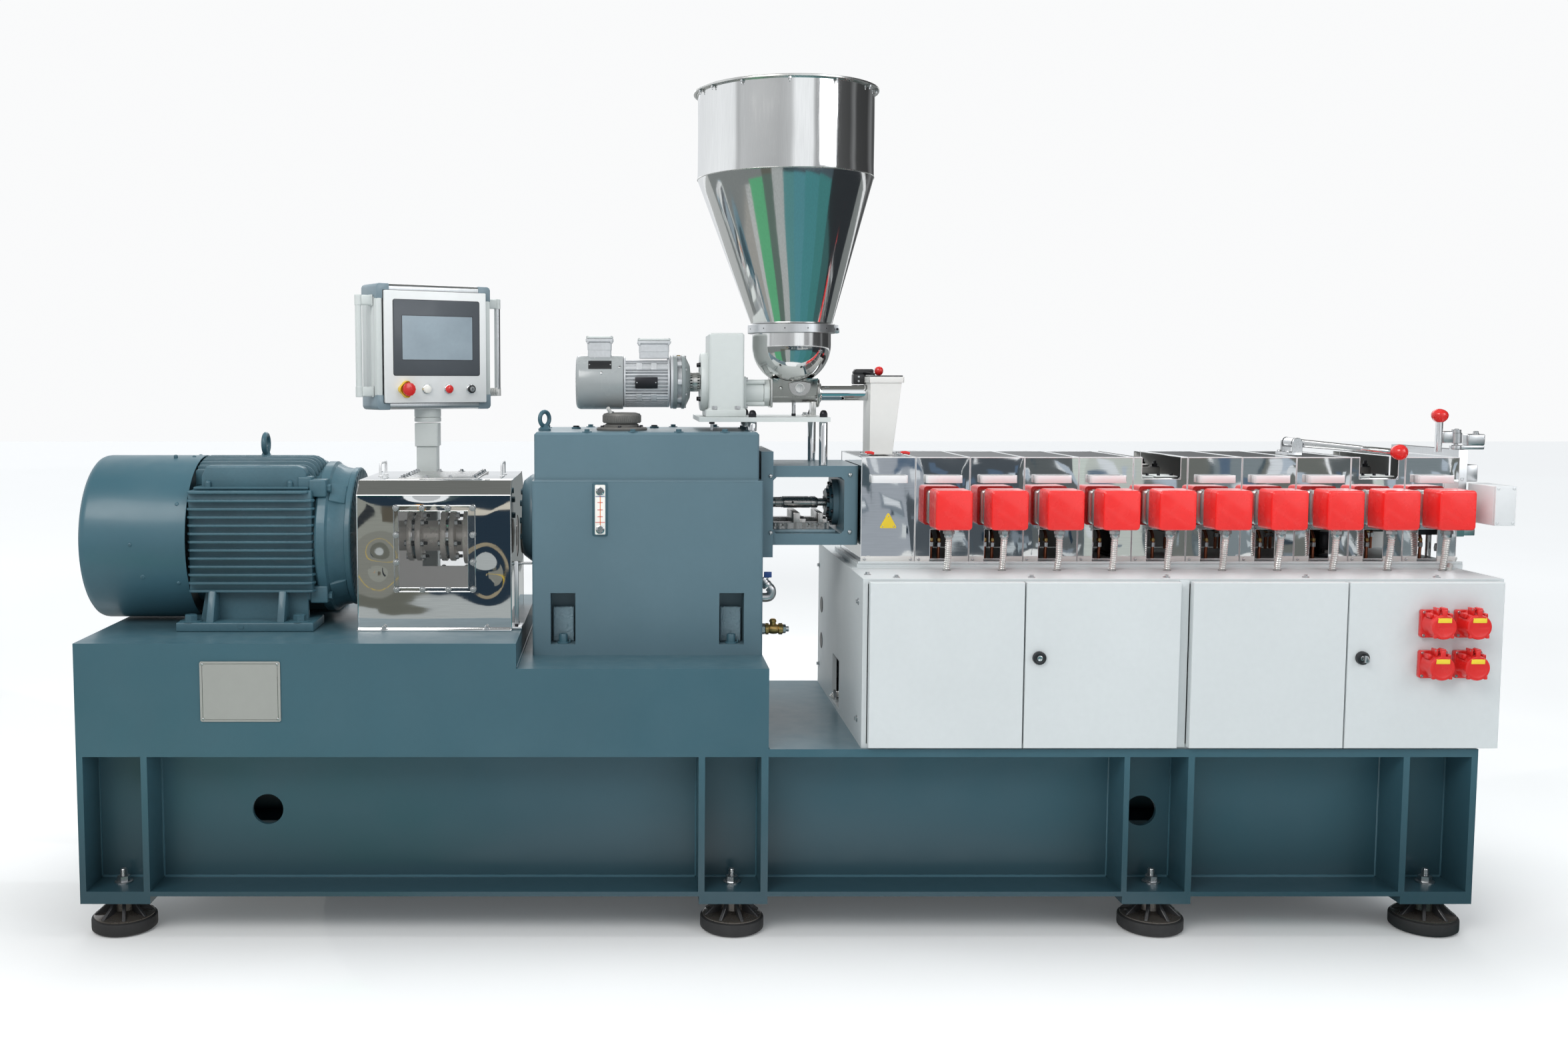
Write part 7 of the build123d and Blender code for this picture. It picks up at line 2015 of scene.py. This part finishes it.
# left of the panel: what the motor's cowl and the coupling guard face
patch(-6.0, -2.7, 0.0, 0.75, GREY)
patch(-2.7, -1.62, 0.0, 0.32, (0.22, 0.225, 0.20))
patch(-2.7, -1.70, 0.30, 0.66, (0.27, 0.28, 0.25))
patch(-2.35, -2.28, 0.34, 0.62, DARKER, 0.16)
patch(-2.12, -1.98, 0.44, 0.66, (0.10, 0.09, 0.07), 0.05)
patch(-1.86, -1.76, 0.42, 0.70, (0.55, 0.27, 0.07), -0.04)
patch(-1.76, -1.70, 0.40, 0.70, DARKER)
patch(-1.70, -1.60, 0.44, 0.68, (0.60, 0.58, 0.52), 0.06)
patch(-1.62, -0.75, 0.0, 0.74, NAVY)
patch(-1.58, -1.10, 0.56, 0.62, (0.62, 0.58, 0.50), 0.03, 0.03)
patch(-1.50, -1.34, 0.10, 0.20, (0.30, 0.26, 0.18), 0.05, 0.02)
patch(-2.60, -1.50, 0.115, 0.128, (0.62, 0.44, 0.05), 0.0, 0.03)
patch(-0.75, 1.19, 0.0, 0.50, (0.10, 0.14, 0.15))
patch(-0.6, -0.35, 0.1, 0.66, PALE, 0.1, 0.05)
patch(0.2, 0.5, 0.1, 0.72, GREY, -0.1, 0.05)
# right of the panel: one panel of cards for each cover
kinds = ("dark", "navy", "navy", "split", "pale", "dark", "blue", "dark", "split", "blue", "dark")
for i, kind in enumerate(kinds):
    a = 1.19 + 0.371 * i
    b = a + 0.373
    base = {"dark": (0.155, 0.165, 0.155), "navy": (0.075, 0.090, 0.105), "split": (0.11, 0.125, 0.13),
            "pale": (0.52, 0.56, 0.53), "blue": (0.21, 0.25, 0.27)}[kind]
    if i == 0:
        base = (0.36, 0.395, 0.44)
    patch(a, b, 0.0, 0.26, (0.80, 0.82, 0.82))
    patch(a, b, 0.24, 0.98, base)
    for _ in range(5):
        x = rng.uniform(a + 0.02, b - 0.10)
        z = rng.uniform(0.26, 0.50)
        patch(x, x + rng.uniform(0.05, 0.12), z, z + rng.uniform(0.03, 0.09),
              rng.choice(((0.50, 0.55, 0.58), BLOTCH, (0.30, 0.36, 0.40), NAVY, (0.62, 0.66, 0.68))), rng.uniform(-0.05, 0.05), 0.015)
    patch(a + 0.05, b - 0.07, 0.50, 0.60, BLOTCH if kind != "pale" else (0.58, 0.64, 0.60), 0.02, 0.02)
    patch(a + 0.08, b - 0.09, 0.545, 0.60, (0.66, 0.70, 0.74), 0.01, 0.02)
    if kind == "split":
        patch(a + 0.22, b, 0.56, 0.97, (0.60, 0.66, 0.62), 0.02, 0.03)
    for _ in range(3):
        x = rng.uniform(a + 0.02, b - 0.10)
        z = rng.uniform(0.68, 0.84)
        patch(x, x + rng.uniform(0.04, 0.10), z, z + rng.uniform(0.05, 0.12),
              rng.choice(((0.70, 0.74, 0.78), (0.10, 0.15, 0.22), (0.45, 0.52, 0.60))), rng.uniform(-0.04, 0.04), 0.02)
patch(5.27, 8.5, 0.0, 0.9, GREY)

world = bpy.data.worlds.new("studio")
bpy.context.scene.world = world
world.use_nodes = True
t = world.node_tree
t.nodes.clear()


def wmath(op, a, b=None, clamp=False):
    n = t.nodes.new("ShaderNodeMath")
    n.operation = op
    n.use_clamp = clamp
    for k, v in enumerate((a, b)):
        if v is None:
            continue
        if isinstance(v, (int, float)):
            n.inputs[k].default_value = v
        else:
            t.links.new(v, n.inputs[k])
    return n.outputs[0]


out = t.nodes.new("ShaderNodeOutputWorld")
path = t.nodes.new("ShaderNodeLightPath")
coord = t.nodes.new("ShaderNodeTexCoord")
sep = t.nodes.new("ShaderNodeSeparateXYZ")
t.links.new(coord.outputs["Generated"], sep.inputs["Vector"])
turned = wmath("DIVIDE", wmath("ARCTAN2", sep.outputs["X"], wmath("MULTIPLY", sep.outputs["Y"], -1.0)), 2 * math.pi)
turned = wmath("ADD", turned, 0.5)
walls = t.nodes.new("ShaderNodeValToRGB")
stops = ((-180, 0.80), (-135, 0.92), (-100, 1.00), (-76, 0.95), (-70, 0.50), (-64, 0.62), (-40, 0.56), (-14, 0.50), (0, 0.60), (6, 1.05),
         (28, 1.05), (32, 0.45), (44, 0.36), (50, 0.75), (57, 0.70), (60, 0.10), (84, 0.07), (92, 0.22), (98, 0.06), (125, 0.05),
         (138, 0.20), (150, 0.05), (172, 0.40), (180, 0.80))
e = walls.color_ramp.elements
for k, (deg, v) in enumerate(stops):
    pos = (deg + 180) / 360
    if k == 0:
        el = e[0]
        el.position = pos
    elif k == len(stops) - 1:
        el = e[-1]
        el.position = pos
    else:
        el = e.new(pos)
    el.color = (v * 0.97, v, v * 1.03, 1)
t.links.new(turned, walls.inputs["Fac"])
height = t.nodes.new("ShaderNodeMapRange")
height.inputs["From Min"].default_value = 0.50
height.inputs["From Max"].default_value = 0.86
t.links.new(sep.outputs["Z"], height.inputs["Value"])
over = t.nodes.new("ShaderNodeMix")
over.data_type = "RGBA"
over.inputs[7].default_value = (0.17, 0.175, 0.165, 1)
t.links.new(height.outputs["Result"], over.inputs[0])
t.links.new(walls.outputs["Color"], over.inputs[6])


def ground(colour, strength=1.0):
    n = t.nodes.new("ShaderNodeBackground")
    if isinstance(colour, tuple):
        n.inputs["Color"].default_value = colour
    else:
        t.links.new(colour, n.inputs["Color"])
    n.inputs["Strength"].default_value = strength
    return n.outputs["Background"]


plain = ground((0.955, 0.96, 0.965, 1), 1.0)
even = ground((0.97, 1.0, 1.03, 1), 0.50)
shiny = ground(over.outputs[2], 1.0)
first = t.nodes.new("ShaderNodeMixShader")
t.links.new(path.outputs["Is Diffuse Ray"], first.inputs["Fac"])
t.links.new(shiny, first.inputs[1])
t.links.new(even, first.inputs[2])
second = t.nodes.new("ShaderNodeMixShader")
t.links.new(path.outputs["Is Camera Ray"], second.inputs["Fac"])
t.links.new(first.outputs["Shader"], second.inputs[1])
t.links.new(plain, second.inputs[2])
t.links.new(second.outputs["Shader"], out.inputs["Surface"])

cam = bpy.data.cameras.new("camera")
cam.sensor_width = 36.0
cam.sensor_fit = "HORIZONTAL"
cam.lens = 33.214
cam.shift_x, cam.shift_y = 0.10247, -0.01658
cam.clip_end = 200.0
co = bpy.data.objects.new("camera", cam)
co.location = (-0.427, -4.0, 1.412)
co.rotation_euler = (math.radians(90 - 4.558), 0, 0)
bpy.context.scene.collection.objects.link(co)
bpy.context.scene.camera = co
bpy.context.scene.view_settings.view_transform = "Standard"
bpy.context.scene.view_settings.exposure = 0.0
